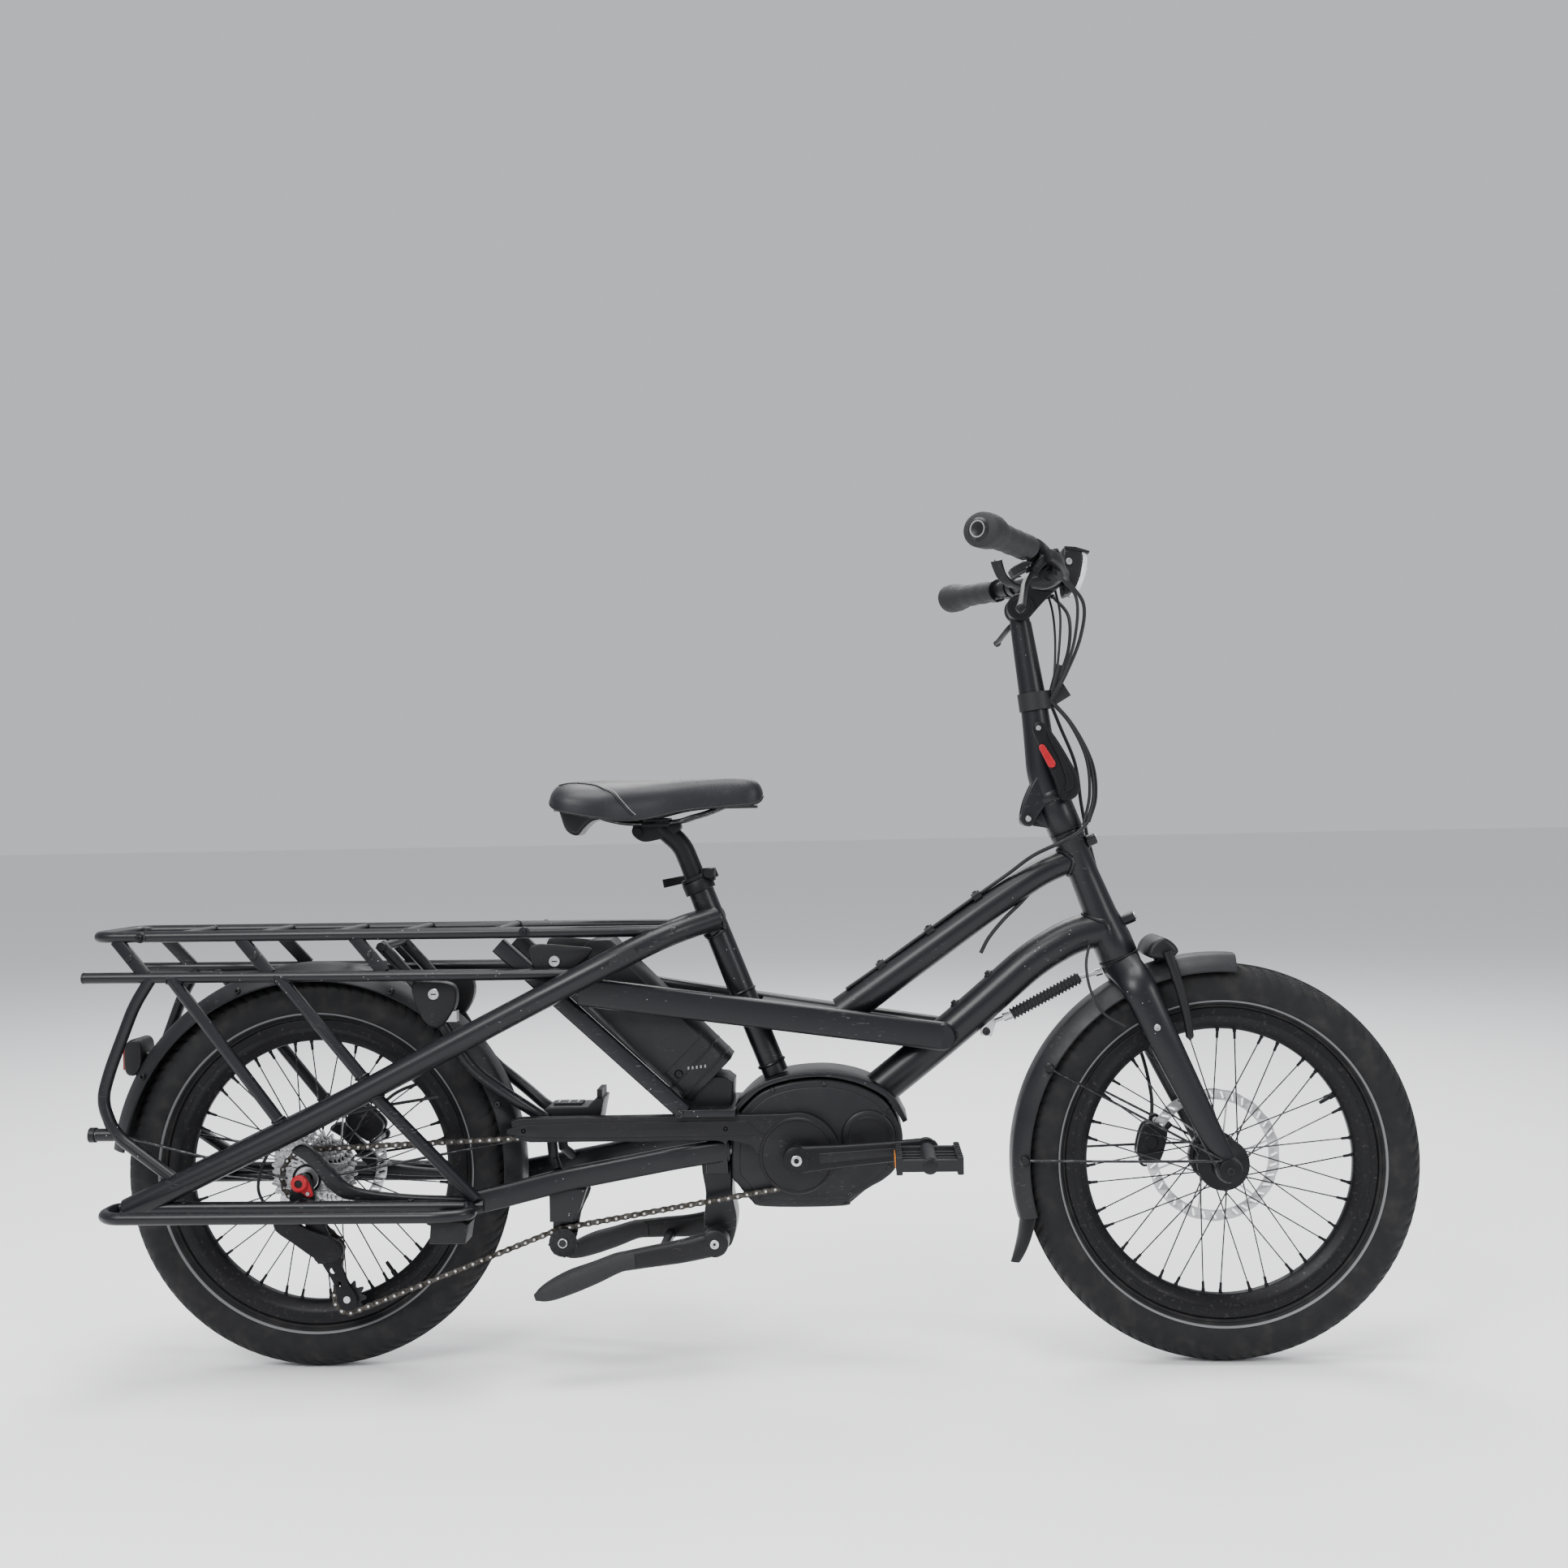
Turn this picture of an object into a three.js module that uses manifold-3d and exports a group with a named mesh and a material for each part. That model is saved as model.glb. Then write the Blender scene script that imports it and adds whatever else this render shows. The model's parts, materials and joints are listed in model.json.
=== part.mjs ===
// Long-tail cargo bicycle with a mid motor, drawn in millimetres.
// +X points forward, +Y to the rider's left, +Z up. The rear tyre touches the ground at x = 0.
// The last lines move the whole bicycle so that the origin is on the ground under the front axle.

import * as THREE from 'three';
import { mergeVertices } from 'three/addons/utils/BufferGeometryUtils.js';
import Module from 'manifold-3d';

const wasm = await Module();
wasm.setup();

// ---------------------------------------------------------------- driving dimensions

const GAP = 0.35; // clearance between neighbouring pieces
const WHEELBASE = 1215.6;
const TYRE_RADIUS = 264.5;
const RIM_RADIUS = 204.5;
const SPOKES_PER_WHEEL = 36;
const WHEEL_FACETS = 36;

const HEAD_ANGLE = THREE.MathUtils.degToRad(21.3); // steering axis, from the vertical
const HEAD_TUBE_CENTRE = [1046, 0, 647];
const HEAD_TUBE_UP = 65; // from its centre to its top rim
const HEAD_TUBE_DOWN = 115; // from its centre to its bottom rim
const STEERER_RADIUS = 14;

const SEAT_TUBE_TOP = [521, 0, 652];
const SEAT_TUBE_FOOT = [626, 0, 385];
const SEAT_TUBE_RADIUS = 17.5;
const SEATPOST_RADIUS = 14;

const CRANK_CENTRE = [654, 0, 288.5];
const CRANK_ARM_Y = 88; // centre of an arm, from the middle plane
const PEDAL_OFFSET = [168, 0, 13]; // from the crank centre to the right pedal axle
const CHAIN_LINE = 50;
const CHAINRING_PITCH = 40.4;
const CHAIN_HALF_HEIGHT = 4;

const RACK_HALF_WIDTH = 72;
const RACK_HEIGHT = 589;
const RACK_REAR = -280;
const PANNIER_HALF_WIDTH = 80;
const PANNIER_HEIGHT = 535.6;
const DECK_HEIGHT = 235;
const DECK_INNER = 98.8;
const DECK_OUTER = 158.5;
const DECK_FRONT = 246;
const DIAGONAL_RADIUS = 16;

const POST_HINGE = [970, 0, 725.6];
const STEM_PIVOT = [966, 0, 1010];
const BAR_RADIUS = 11;
const STAND_PIVOT = [544, 0, 177];
const GUIDE_PULLEY = [341.2, -CHAIN_LINE, 175.9];
const BUTTON = [497, 394]; // on the battery's right face, as [x, z]

// ---------------------------------------------------------------- colours and materials

const PAINT = { color: 0x17181b, roughness: 0.42, metalness: 0.25 };
const BLACK_METAL = { color: 0x141416, roughness: 0.38, metalness: 0.55 };
const STEEL = { color: 0xb4b6ba, roughness: 0.3, metalness: 0.95 };
const ALUMINIUM = { color: 0xc6c7ca, roughness: 0.35, metalness: 0.9 };
const CHAIN_STEEL = { color: 0x57534d, roughness: 0.5, metalness: 0.8 };
const PLASTIC = { color: 0x1d1e20, roughness: 0.6, metalness: 0.0 };
const GREY_PLASTIC = { color: 0x3b3d40, roughness: 0.65, metalness: 0.0 };
const FENDER = { color: 0x2c2e31, roughness: 0.6, metalness: 0.0 };
const RUBBER = { color: 0x1a1a1b, roughness: 0.85, metalness: 0.0 };
const LEATHER = { color: 0x141417, roughness: 0.5, metalness: 0.0 };
const RED = { color: 0xb01420, roughness: 0.35, metalness: 0.3 };
const LAMP = { color: 0x222326, roughness: 0.3, metalness: 0.0 };

// ---------------------------------------------------------------- vectors and paths

const vec = (p) => new THREE.Vector3(p[0], p[1], p[2]);
const shifted = (p, dx, dy, dz) => [p[0] + dx, p[1] + dy, p[2] + dz];
const pathOnSide = (path, side) => path.map(([x, y, z]) => [x, y * side, z]);

// A polyline whose corners are rounded, so that a swept tube gets steps only where it bends.
class BentPath extends THREE.Curve {
  constructor(corners, bendRadius, bendSteps) {
    super();
    const points = corners.map(vec);
    this.stations = [points[0]];
    for (let i = 1; i < points.length - 1; i++) {
      const corner = points[i];
      const before = points[i - 1].clone().sub(corner);
      const after = points[i + 1].clone().sub(corner);
      const reach = Math.min(bendRadius, before.length() * 0.45, after.length() * 0.45);
      const start = corner.clone().addScaledVector(before.normalize(), reach);
      const end = corner.clone().addScaledVector(after.normalize(), reach);
      const bend = new THREE.QuadraticBezierCurve3(start, corner, end);
      this.stations.push(...bend.getPoints(bendSteps));
    }
    this.stations.push(points[points.length - 1]);
  }

  get steps() {
    return this.stations.length - 1;
  }

  getPoint(t, target = new THREE.Vector3()) {
    const place = t * this.steps;
    const index = Math.min(Math.floor(place + 1e-6), this.steps - 1);
    return target.lerpVectors(this.stations[index], this.stations[index + 1], place - index);
  }

  getTangent(t, target = new THREE.Vector3()) {
    const index = Math.round(t * this.steps);
    const before = this.stations[Math.max(index - 1, 0)];
    const here = this.stations[index];
    const after = this.stations[Math.min(index + 1, this.steps)];
    const arriving = here.clone().sub(before).normalize();
    const leaving = after.clone().sub(here).normalize();
    return target.addVectors(arriving, leaving).normalize();
  }

  getUtoTmapping(u) {
    return u;
  }

  // The section's own x stays level across the bicycle, or upright where the path itself runs across.
  computeFrenetFrames(steps, closed) {
    const tangents = this.stations.map((_, i) => this.getTangent(i / steps));
    const across = [new THREE.Vector3(0, 1, 0), new THREE.Vector3(0, 0, 1)].find((axis) =>
      tangents.every((tangent) => Math.abs(tangent.dot(axis)) < 0.93),
    );
    if (!across) return super.computeFrenetFrames(steps, closed);
    const normals = tangents.map((tangent) =>
      across.clone().addScaledVector(tangent, -tangent.dot(across)).normalize(),
    );
    const binormals = tangents.map((tangent, i) => tangent.clone().cross(normals[i]));
    return { tangents, normals, binormals };
  }
}

// ---------------------------------------------------------------- sections and geometries

function ringSection(radius, sides, squash = 1) {
  const section = new THREE.Shape();
  for (let i = 0; i < sides; i++) {
    const angle = ((i + 0.5) / sides) * Math.PI * 2;
    const x = Math.cos(angle) * radius * squash;
    const y = Math.sin(angle) * radius;
    if (i === 0) section.moveTo(x, y);
    else section.lineTo(x, y);
  }
  section.closePath();
  return section;
}

function roundedSection(width, height, corner) {
  const x = width / 2;
  const y = height / 2;
  const c = Math.min(corner, x * 0.9, y * 0.9);
  const section = new THREE.Shape();
  section.moveTo(-x + c, -y);
  section.lineTo(x - c, -y);
  section.quadraticCurveTo(x, -y, x, -y + c);
  section.lineTo(x, y - c);
  section.quadraticCurveTo(x, y, x - c, y);
  section.lineTo(-x + c, y);
  section.quadraticCurveTo(-x, y, -x, y - c);
  section.lineTo(-x, -y + c);
  section.quadraticCurveTo(-x, -y, -x + c, -y);
  return section;
}

function sweep(section, corners, { bend = 20, bendSteps = 2, taper = null } = {}) {
  const path = new BentPath(corners, bend, bendSteps);
  const geometry = new THREE.ExtrudeGeometry(section, {
    steps: path.steps,
    bevelEnabled: false,
    curveSegments: 1,
    extrudePath: path,
  });
  if (taper) taperAlong(geometry, path.stations, taper);
  return geometry;
}

// Scales each cross-section about its own station, from taper[0] at the start to taper[1] at the end.
function taperAlong(geometry, stations, taper) {
  const position = geometry.attributes.position;
  const reach = stations.map(() => 0);
  for (let i = 1; i < stations.length; i++) {
    reach[i] = reach[i - 1] + stations[i].distanceTo(stations[i - 1]);
  }
  const point = new THREE.Vector3();
  for (let i = 0; i < position.count; i++) {
    point.fromBufferAttribute(position, i);
    const distances = stations.map((station) => station.distanceTo(point));
    const nearest = distances.indexOf(Math.min(...distances));
    const share = reach[nearest] / reach[stations.length - 1];
    point.sub(stations[nearest]);
    point.multiplyScalar(THREE.MathUtils.lerp(taper[0], taper[1], share));
    point.add(stations[nearest]);
    position.setXYZ(i, point.x, point.y, point.z);
  }
}

const tube = (corners, radius, sides = 10, options = {}) =>
  sweep(ringSection(radius, sides), corners, options);

const bar = (corners, width, height, options = {}) =>
  sweep(roundedSection(width, height, 4), corners, options);

// A cylinder across the bicycle, from y0 to y1, centred on (x, z).
function crossRod(x, z, y0, y1, radius, sides = 12) {
  const geometry = new THREE.CylinderGeometry(radius, radius, y1 - y0, sides);
  geometry.translate(x, (y0 + y1) / 2, z);
  return geometry;
}

function box(low, high) {
  const geometry = new THREE.BoxGeometry(high[0] - low[0], high[1] - low[1], high[2] - low[2]);
  geometry.translate((low[0] + high[0]) / 2, (low[1] + high[1]) / 2, (low[2] + high[2]) / 2);
  return geometry;
}

// An outline in side view, given as [x, z] points, made solid from y0 to y1.
function slab(outline, y0, y1, holes = []) {
  const shape = new THREE.Shape(outline.map(([x, z]) => new THREE.Vector2(x, z)));
  for (const hole of holes) {
    shape.holes.push(new THREE.Path(hole.map(([x, z]) => new THREE.Vector2(x, z))));
  }
  const geometry = new THREE.ExtrudeGeometry(shape, { depth: y1 - y0, bevelEnabled: false });
  geometry.rotateX(Math.PI / 2);
  geometry.translate(0, y1, 0);
  return geometry;
}

// Points of an arc in side view, as [x, z], with angles in degrees from +X towards +Z.
function arc(centre, radius, from, to, steps) {
  return Array.from({ length: steps + 1 }, (_, i) => {
    const angle = THREE.MathUtils.degToRad(from + ((to - from) * i) / steps);
    return [centre[0] + Math.cos(angle) * radius, centre[1] + Math.sin(angle) * radius];
  });
}

// A profile of [radius, y] points turned about the wheel axis at centre.
function turned(profile, centre, facets = 24) {
  const points = profile.map(([radius, y]) => new THREE.Vector2(radius, y));
  const geometry = new THREE.LatheGeometry(points, facets);
  geometry.translate(centre[0], centre[1], centre[2]);
  return geometry;
}

// A profile of [radius, distance] points turned about any axis.
function turnedAlong(profile, origin, direction, facets = 16) {
  const geometry = turned(profile, [0, 0, 0], facets);
  const turn = new THREE.Quaternion().setFromUnitVectors(
    new THREE.Vector3(0, 1, 0),
    vec(direction).normalize(),
  );
  geometry.applyQuaternion(turn);
  geometry.translate(origin[0], origin[1], origin[2]);
  return geometry;
}

// ---------------------------------------------------------------- solids

function solid(geometry) {
  const bare = new THREE.BufferGeometry();
  bare.setAttribute('position', geometry.attributes.position.clone());
  if (geometry.index) bare.setIndex(geometry.index.clone());
  const merged = mergeVertices(bare, 1e-3);
  const position = merged.attributes.position;
  const corners = [];
  let volume = 0;
  const a = new THREE.Vector3();
  const b = new THREE.Vector3();
  const c = new THREE.Vector3();
  for (let i = 0; i < merged.index.count; i += 3) {
    const [p, q, r] = [0, 1, 2].map((k) => merged.index.getX(i + k));
    if (p === q || q === r || r === p) continue;
    corners.push(p, q, r);
    a.fromBufferAttribute(position, p);
    b.fromBufferAttribute(position, q);
    c.fromBufferAttribute(position, r);
    volume += a.dot(b.cross(c));
  }
  if (volume < 0) {
    for (let i = 0; i < corners.length; i += 3) {
      [corners[i], corners[i + 1]] = [corners[i + 1], corners[i]];
    }
  }
  const mesh = new wasm.Mesh({
    numProp: 3,
    vertProperties: new Float32Array(position.array),
    triVerts: new Uint32Array(corners),
  });
  return new wasm.Manifold(mesh);
}

const union = (...geometries) =>
  geometries.map((g) => (g.isBufferGeometry ? solid(g) : g)).reduce((sum, g) => sum.add(g));

const cut = (body, ...tools) =>
  tools
    .map((g) => (g.isBufferGeometry ? solid(g) : g))
    .reduce((rest, g) => rest.subtract(g), body.isBufferGeometry ? solid(body) : body);

// Keeps the largest body where a cut leaves loose crumbs.
function largest(body) {
  const pieces = body.decompose();
  return pieces.reduce((best, piece) => (piece.volume() > best.volume() ? piece : best));
}

const bicycle = new THREE.Group();

function addPart(name, body, look) {
  const shape = body.isBufferGeometry ? solid(body) : body;
  const mesh = shape.getMesh();
  const geometry = new THREE.BufferGeometry();
  geometry.setAttribute('position', new THREE.BufferAttribute(new Float32Array(mesh.vertProperties), 3));
  geometry.setIndex(new THREE.BufferAttribute(new Uint32Array(mesh.triVerts), 1));
  geometry.computeVertexNormals();
  const part = new THREE.Mesh(geometry, new THREE.MeshStandardMaterial(look));
  part.name = name;
  bicycle.add(part);
}

const SIDES = { right: -1, left: 1 };

// ---------------------------------------------------------------- frame: front tubes

const steeringUp = [-Math.sin(HEAD_ANGLE), 0, Math.cos(HEAD_ANGLE)];
const onSteeringAxis = (distance) =>
  HEAD_TUBE_CENTRE.map((value, i) => value + steeringUp[i] * distance);

function headTube(grow = 0, bore = STEERER_RADIUS + 0.8) {
  const profile = [
    [bore, -HEAD_TUBE_DOWN - grow],
    [27 + grow, -HEAD_TUBE_DOWN - grow],
    [27 + grow, -HEAD_TUBE_DOWN + 24],
    [22 + grow, -HEAD_TUBE_DOWN + 60],
    [20 + grow, 0],
    [20 + grow, HEAD_TUBE_UP - 16],
    [22.5 + grow, HEAD_TUBE_UP - 10],
    [22.5 + grow, HEAD_TUBE_UP + grow],
    [bore, HEAD_TUBE_UP + grow],
  ];
  if (bore > 0) profile.push(profile[0]);
  return turnedAlong(profile, HEAD_TUBE_CENTRE, steeringUp);
}

const headTubeTool = () => headTube(GAP, 0);

// Two threaded bosses on the head tube's front carry a front rack.
function luggageBoss(distance, standOff) {
  const root = onSteeringAxis(distance);
  const ahead = [Math.cos(HEAD_ANGLE), 0, Math.sin(HEAD_ANGLE)];
  const from = root.map((value, i) => value + ahead[i] * 17);
  const to = root.map((value, i) => value + ahead[i] * standOff);
  return tube([from, to], 8, 10);
}

addPart('head_tube', union(headTube(), luggageBoss(42, 33), luggageBoss(-74, 40)), PAINT);

const TOP_TUBE_PATH = [[1040, 0, 674], [990, 0, 655], [925, 0, 614], [716, 0, 468]];
const DOWN_TUBE_PATH = [[1078, 0, 578], [1030, 0, 569], [975, 0, 538], [870, 0, 448], [745, 0, 350]];
const downTube = (grow = 0) =>
  tube(DOWN_TUBE_PATH, 24.5 + grow, 14, { bend: 60, bendSteps: 3 });

// ---------------------------------------------------------------- frame: mid beam

const BEAM_HEIGHT = 38;
const BEAM_WIDTH = 19;
const beamPath = (side) =>
  pathOnSide([[380, 78, 509], [483, 56, 492], [845, 31, 439]], side);
const beamSide = (side, grow = 0) =>
  bar(beamPath(side), BEAM_WIDTH + 2 * grow, BEAM_HEIGHT + 2 * grow, { bend: 45 });
const beamWeb = (grow = 0) =>
  slab([[575, 493 + grow], [845, 453 + grow], [845, 447 - grow], [575, 487 - grow]], -40, 40);
const beamSleeve = () =>
  tube([[866, 0, 445], [822, 0, 410]], 31, 16);

function rearDiagonal(side, grow = 0) {
  const path = [
    [-226, 98, 233],
    [14, 95, 346],
    [295, 95, 489],
    [424, 92, 553],
    [490, 68, 583],
    [548, 26, 600],
  ];
  return tube(pathOnSide(path, side), DIAGONAL_RADIUS + grow, 12, { bend: 45, bendSteps: 2 });
}

function seatTube(grow = 0) {
  return tube([SEAT_TUBE_TOP, SEAT_TUBE_FOOT], SEAT_TUBE_RADIUS + grow, 16);
}

const beams = cut(
  union(beamSide(1), beamSide(-1), beamWeb(), beamSleeve()),
  downTube(GAP),
  seatTube(GAP),
  rearDiagonal(1, GAP),
  rearDiagonal(-1, GAP),
);
addPart('mid_beam', largest(beams), PAINT);

const beamTools = () => [beamSide(1, GAP), beamSide(-1, GAP), beamWeb(GAP)];
const topTube = cut(
  tube(TOP_TUBE_PATH, 21.5, 14, { bend: 50, bendSteps: 3, taper: [0.8, 1.04] }),
  headTubeTool(),
  ...beamTools(),
  box([600, -30, 380], [800, 30, 470]),
);
addPart('top_tube', largest(topTube), PAINT);

// ---------------------------------------------------------------- frame: motor cradle

const CRADLE_OUTER = [[566, 342], [575, 355], [603, 379], [640, 391], [682, 395], [716, 392], [750, 382],
  [781, 363], [800, 330]];
const CRADLE_INNER = [[793, 326], [775, 357], [746, 375], [714, 385], [682, 388], [642, 384],
  [607, 372.5], [582, 351], [573, 338]];
const CRADLE_HALF_WIDTH = 46;
const cradleBand = () => slab([...CRADLE_OUTER, ...CRADLE_INNER], -CRADLE_HALF_WIDTH, CRADLE_HALF_WIDTH);

addPart('down_tube', largest(cut(downTube(), headTubeTool(), cradleTool())), PAINT);

function cradleTool() {
  const top = CRADLE_OUTER.map(([x, z]) => [x, z + GAP]);
  return slab([...top, [800, 200], [566, 200]], -60, 60);
}

const seatTubeBore = tube(
  [[SEAT_TUBE_TOP[0] - 4, 0, SEAT_TUBE_TOP[2] + 10], [598, 0, 456.2]],
  SEATPOST_RADIUS + 0.8,
  16,
);
addPart('seat_tube', largest(cut(seatTube(), seatTubeBore, cradleTool())), PAINT);

// ---------------------------------------------------------------- frame: foot decks

function deckRails(side, grow = 0) {
  const radius = 8 + grow;
  const outer = [
    [DECK_FRONT - 20, DECK_INNER, DECK_HEIGHT],
    [DECK_FRONT - 6, DECK_OUTER - 14, DECK_HEIGHT],
    [DECK_FRONT - 40, DECK_OUTER, DECK_HEIGHT],
    [-222, DECK_OUTER, DECK_HEIGHT + 1],
    [-240, DECK_OUTER - 18, DECK_HEIGHT + 1],
    [-240, DECK_INNER + 6, DECK_HEIGHT + 1],
    [-222, DECK_INNER, DECK_HEIGHT + 1],
  ];
  const inner = [[-226, DECK_INNER, DECK_HEIGHT + 1], [DECK_FRONT, DECK_INNER, DECK_HEIGHT]];
  return union(
    tube(pathOnSide(outer, side), radius, 8, { bend: 16, bendSteps: 2 }),
    tube(pathOnSide(inner, side), radius, 8),
  );
}

function deckStay(side, grow = 0) {
  return tube(pathOnSide([[90, 95, 392], [236, 100, 243]], side), 8.5 + grow, 8);
}

// The range from y0 to y1 outwards on one side of the bicycle, lower value first.
const spread = (y0, y1, side) => (side > 0 ? [y0, y1] : [-y1, -y0]);

// A box given by two [x, z] corners in side view, from y0 to y1 outwards on one side.
function sideBox([x0, z0], [x1, z1], y0, y1, side) {
  const [low, high] = spread(y0, y1, side);
  return box([x0, low, z0], [x1, high, z1]);
}

function dropout(side) {
  const plate = [[-26, 230], [34, 230], [30, 250], [20, 280], [8, 316], [-8, 316], [-22, 280]];
  return union(
    slab(plate, ...spread(73, 79, side)),
    sideBox([-22, 231], [30, 241], 76, 97, side),
  );
}

for (const [name, side] of Object.entries(SIDES)) {
  const parts = [deckRails(side), dropout(side), cut(deckStay(side), rearDiagonal(side, GAP))];
  if (side < 0) {
    parts.push(crossRod(0, TYRE_RADIUS, -78, -24, 6));
    parts.push(crossRod(0, TYRE_RADIUS, -86, -78, 9));
  } else {
    parts.push(crossRod(0, TYRE_RADIUS, 52, 84, 8));
  }
  addPart(`foot_deck_${name}`, largest(union(...parts)), PAINT);
  const diagonal = cut(
    rearDiagonal(side),
    deckRails(side, GAP),
    seatTube(GAP),
    rearDiagonalMiddle(side),
  );
  addPart(`rear_diagonal_${name}`, largest(diagonal), PAINT);
}

// The two diagonals meet on the middle plane behind and in front of the seat tube.
function rearDiagonalMiddle(side) {
  return sideBox([400, 500], [620, 700], -60, GAP / 2, side);
}

// ---------------------------------------------------------------- frame: cradle node

function chainstay(side) {
  const path = [
    [560, 36, 292], [536, 46, 291], [498, 66, 289], [351, 66, 262], [262, 84, 243], [228, 92, 237],
  ];
  return bar(pathOnSide(path, side), 17, 30, { bend: 16, bendSteps: 2 });
}

function batteryStrut(side) {
  return bar(pathOnSide([[262, 62, 571], [506, 62, 347]], side), 17, 22);
}

function pulleyBracket() {
  const [x, y, z] = GUIDE_PULLEY;
  return union(
    slab([[326, 250], [376, 250], [366, 222], [356, 204], [326, 204]], -70, -39),
    slab([[326, 212], [356, 212], [352, z], [x, z - 10], [330, z]], -44, -39),
    crossRod(x, z, y - 11, -40, 5),
  );
}

const standKnuckle = () =>
  cut(
    union(
      slab([[532, 268], [562, 268], [558, STAND_PIVOT[2]], [530, STAND_PIVOT[2]]], -28, 28),
      crossRod(STAND_PIVOT[0], STAND_PIVOT[2], -28, 28, 17),
    ),
    crossRod(STAND_PIVOT[0], STAND_PIVOT[2], -40, 40, 10.6, 16),
  );

function rackRail(side, grow = 0) {
  const path = [[470, RACK_HALF_WIDTH, RACK_HEIGHT], [RACK_REAR + 20, RACK_HALF_WIDTH, RACK_HEIGHT]];
  return tube(pathOnSide(path, side), 7.5 + grow, 8);
}

const cradle = cut(
  union(
    cradleBand(),
    slab(
      [[534, 345], [578, 345], [571, 330], [560, 300], [562, 262], [532, 262]],
      -CRADLE_HALF_WIDTH,
      CRADLE_HALF_WIDTH,
    ),
    box([494, -71, 341], [574, 71, 351.5]),
    batteryStrut(1),
    batteryStrut(-1),
    chainstay(1),
    chainstay(-1),
    standKnuckle(),
    pulleyBracket(),
  ),
  ...Object.values(SIDES).flatMap((side) => [
    deckRails(side, GAP),
    deckStay(side, GAP),
    rackRail(side, GAP),
  ]),
  box([262, -64, 308.6], [604, -43.9, 343.6]),
);
addPart('motor_cradle', largest(cradle), PAINT);

// ---------------------------------------------------------------- racks

const DOCK_PATH = [[100, 52, 574], [150, 52, 520], [222, 52, 405], [270, 46, 369], [303, 34, 344],
  [317, 34, 336]];

const RACK_BARS = [-171, -60, 46, 139, 262]; // where the crossbars sit along X
const RACK_STAYS = [-250, -82, 71];

function topRack() {
  const loop = [
    [500, -RACK_HALF_WIDTH, RACK_HEIGHT - 2],
    [RACK_REAR, -RACK_HALF_WIDTH, RACK_HEIGHT + 1],
    [RACK_REAR, RACK_HALF_WIDTH, RACK_HEIGHT + 1],
    [500, RACK_HALF_WIDTH, RACK_HEIGHT - 2],
  ];
  const bars = RACK_BARS.map((x) =>
    crossRod(x, RACK_HEIGHT + 1, -RACK_HALF_WIDTH, RACK_HALF_WIDTH, 5.5, 6),
  );
  const stays = [];
  for (const side of Object.values(SIDES)) {
    for (const x of RACK_STAYS) {
      const stay = [[x, RACK_HALF_WIDTH, RACK_HEIGHT - 3], [x + 42, 79, PANNIER_HEIGHT + 3]];
      stays.push(sweep(roundedSection(8, 17, 2), pathOnSide(stay, side)));
    }
  }
  return union(tube(loop, 7.5, 8, { bend: 24, bendSteps: 2 }), ...bars, ...stays);
}

function pannierRail(side, grow = 0) {
  const path = [
    [-292, PANNIER_HALF_WIDTH, PANNIER_HEIGHT + 1],
    [375, PANNIER_HALF_WIDTH, PANNIER_HEIGHT - 3],
  ];
  return tube(pathOnSide(path, side), 7.4 + grow, 8);
}

addPart(
  'top_rack',
  largest(
    cut(
      topRack(),
      rearDiagonal(1, GAP),
      rearDiagonal(-1, GAP),
      pannierRail(1, GAP),
      pannierRail(-1, GAP),
    ),
  ),
  PAINT,
);

for (const [name, side] of Object.entries(SIDES)) {
  const place = (path) => pathOnSide(path, side);
  const tail = [[-200, 80, 535], [-222, 82, 500], [-255, 84, 414], [-265, 86, 375], [-247, 89, 331],
    [-158, 96, 268]];
  const rail = union(
    pannierRail(side),
    tube(place(tail), 8, 8, { bend: 25, bendSteps: 2 }),
    tube(place([[-245, 88, 330.5], [-280, 88, 330.5]]), 10, 8),
    tube(place([[-171, 81, 533], [-18, 93, 338]]), 8, 8),
    tube(place([[-26, 81, 533], [92, 93, 396]]), 8, 8),
  );
  addPart(`pannier_rail_${name}`, largest(cut(rail, rearDiagonal(side, GAP))), PAINT);
}

const DOCK_LEG_PATH = [[322, 35, 334], [327, 37, 284], [336, 60, 266]];
const dockTubes = Object.values(SIDES).flatMap((side) => [
  tube(pathOnSide(DOCK_PATH, side), 8, 8, { bend: 30, bendSteps: 2 }),
  tube(pathOnSide(DOCK_LEG_PATH, side), 7, 8),
]);
const dock = cut(
  union(
    ...dockTubes,
    crossRod(104, 571, -63, 63, 6, 8),
    crossRod(316, 335, -42, 42, 8, 8),
    slab([[308, 342], [318, 350], [372, 350], [384, 362], [394, 360], [388, 330], [308, 326]], -30, 30),
  ),
  chainstayTool(1),
  chainstayTool(-1),
  ...RACK_BARS.map((x) => crossRod(x, RACK_HEIGHT + 1, -80, 80, 6, 8)),
);
addPart('dock_frame', largest(dock), PAINT);

function chainstayTool(side) {
  const path = [[498, 66, 289], [351, 66, 262], [262, 84, 243]];
  return bar(pathOnSide(path, side), 18, 31, { bend: 16, bendSteps: 2 });
}

// ---------------------------------------------------------------- fenders

function fenderSection(radius, halfWidth) {
  const wall = 2.2;
  const crown = radius - 4;
  const skirt = radius - 22;
  return [
    [skirt, -halfWidth], [crown, -22], [radius, 0], [crown, 22], [skirt, halfWidth],
    [skirt, halfWidth - wall], [crown - wall, 22 - wall], [radius - wall, 0],
    [crown - wall, wall - 22], [skirt, wall - halfWidth],
  ];
}

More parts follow.
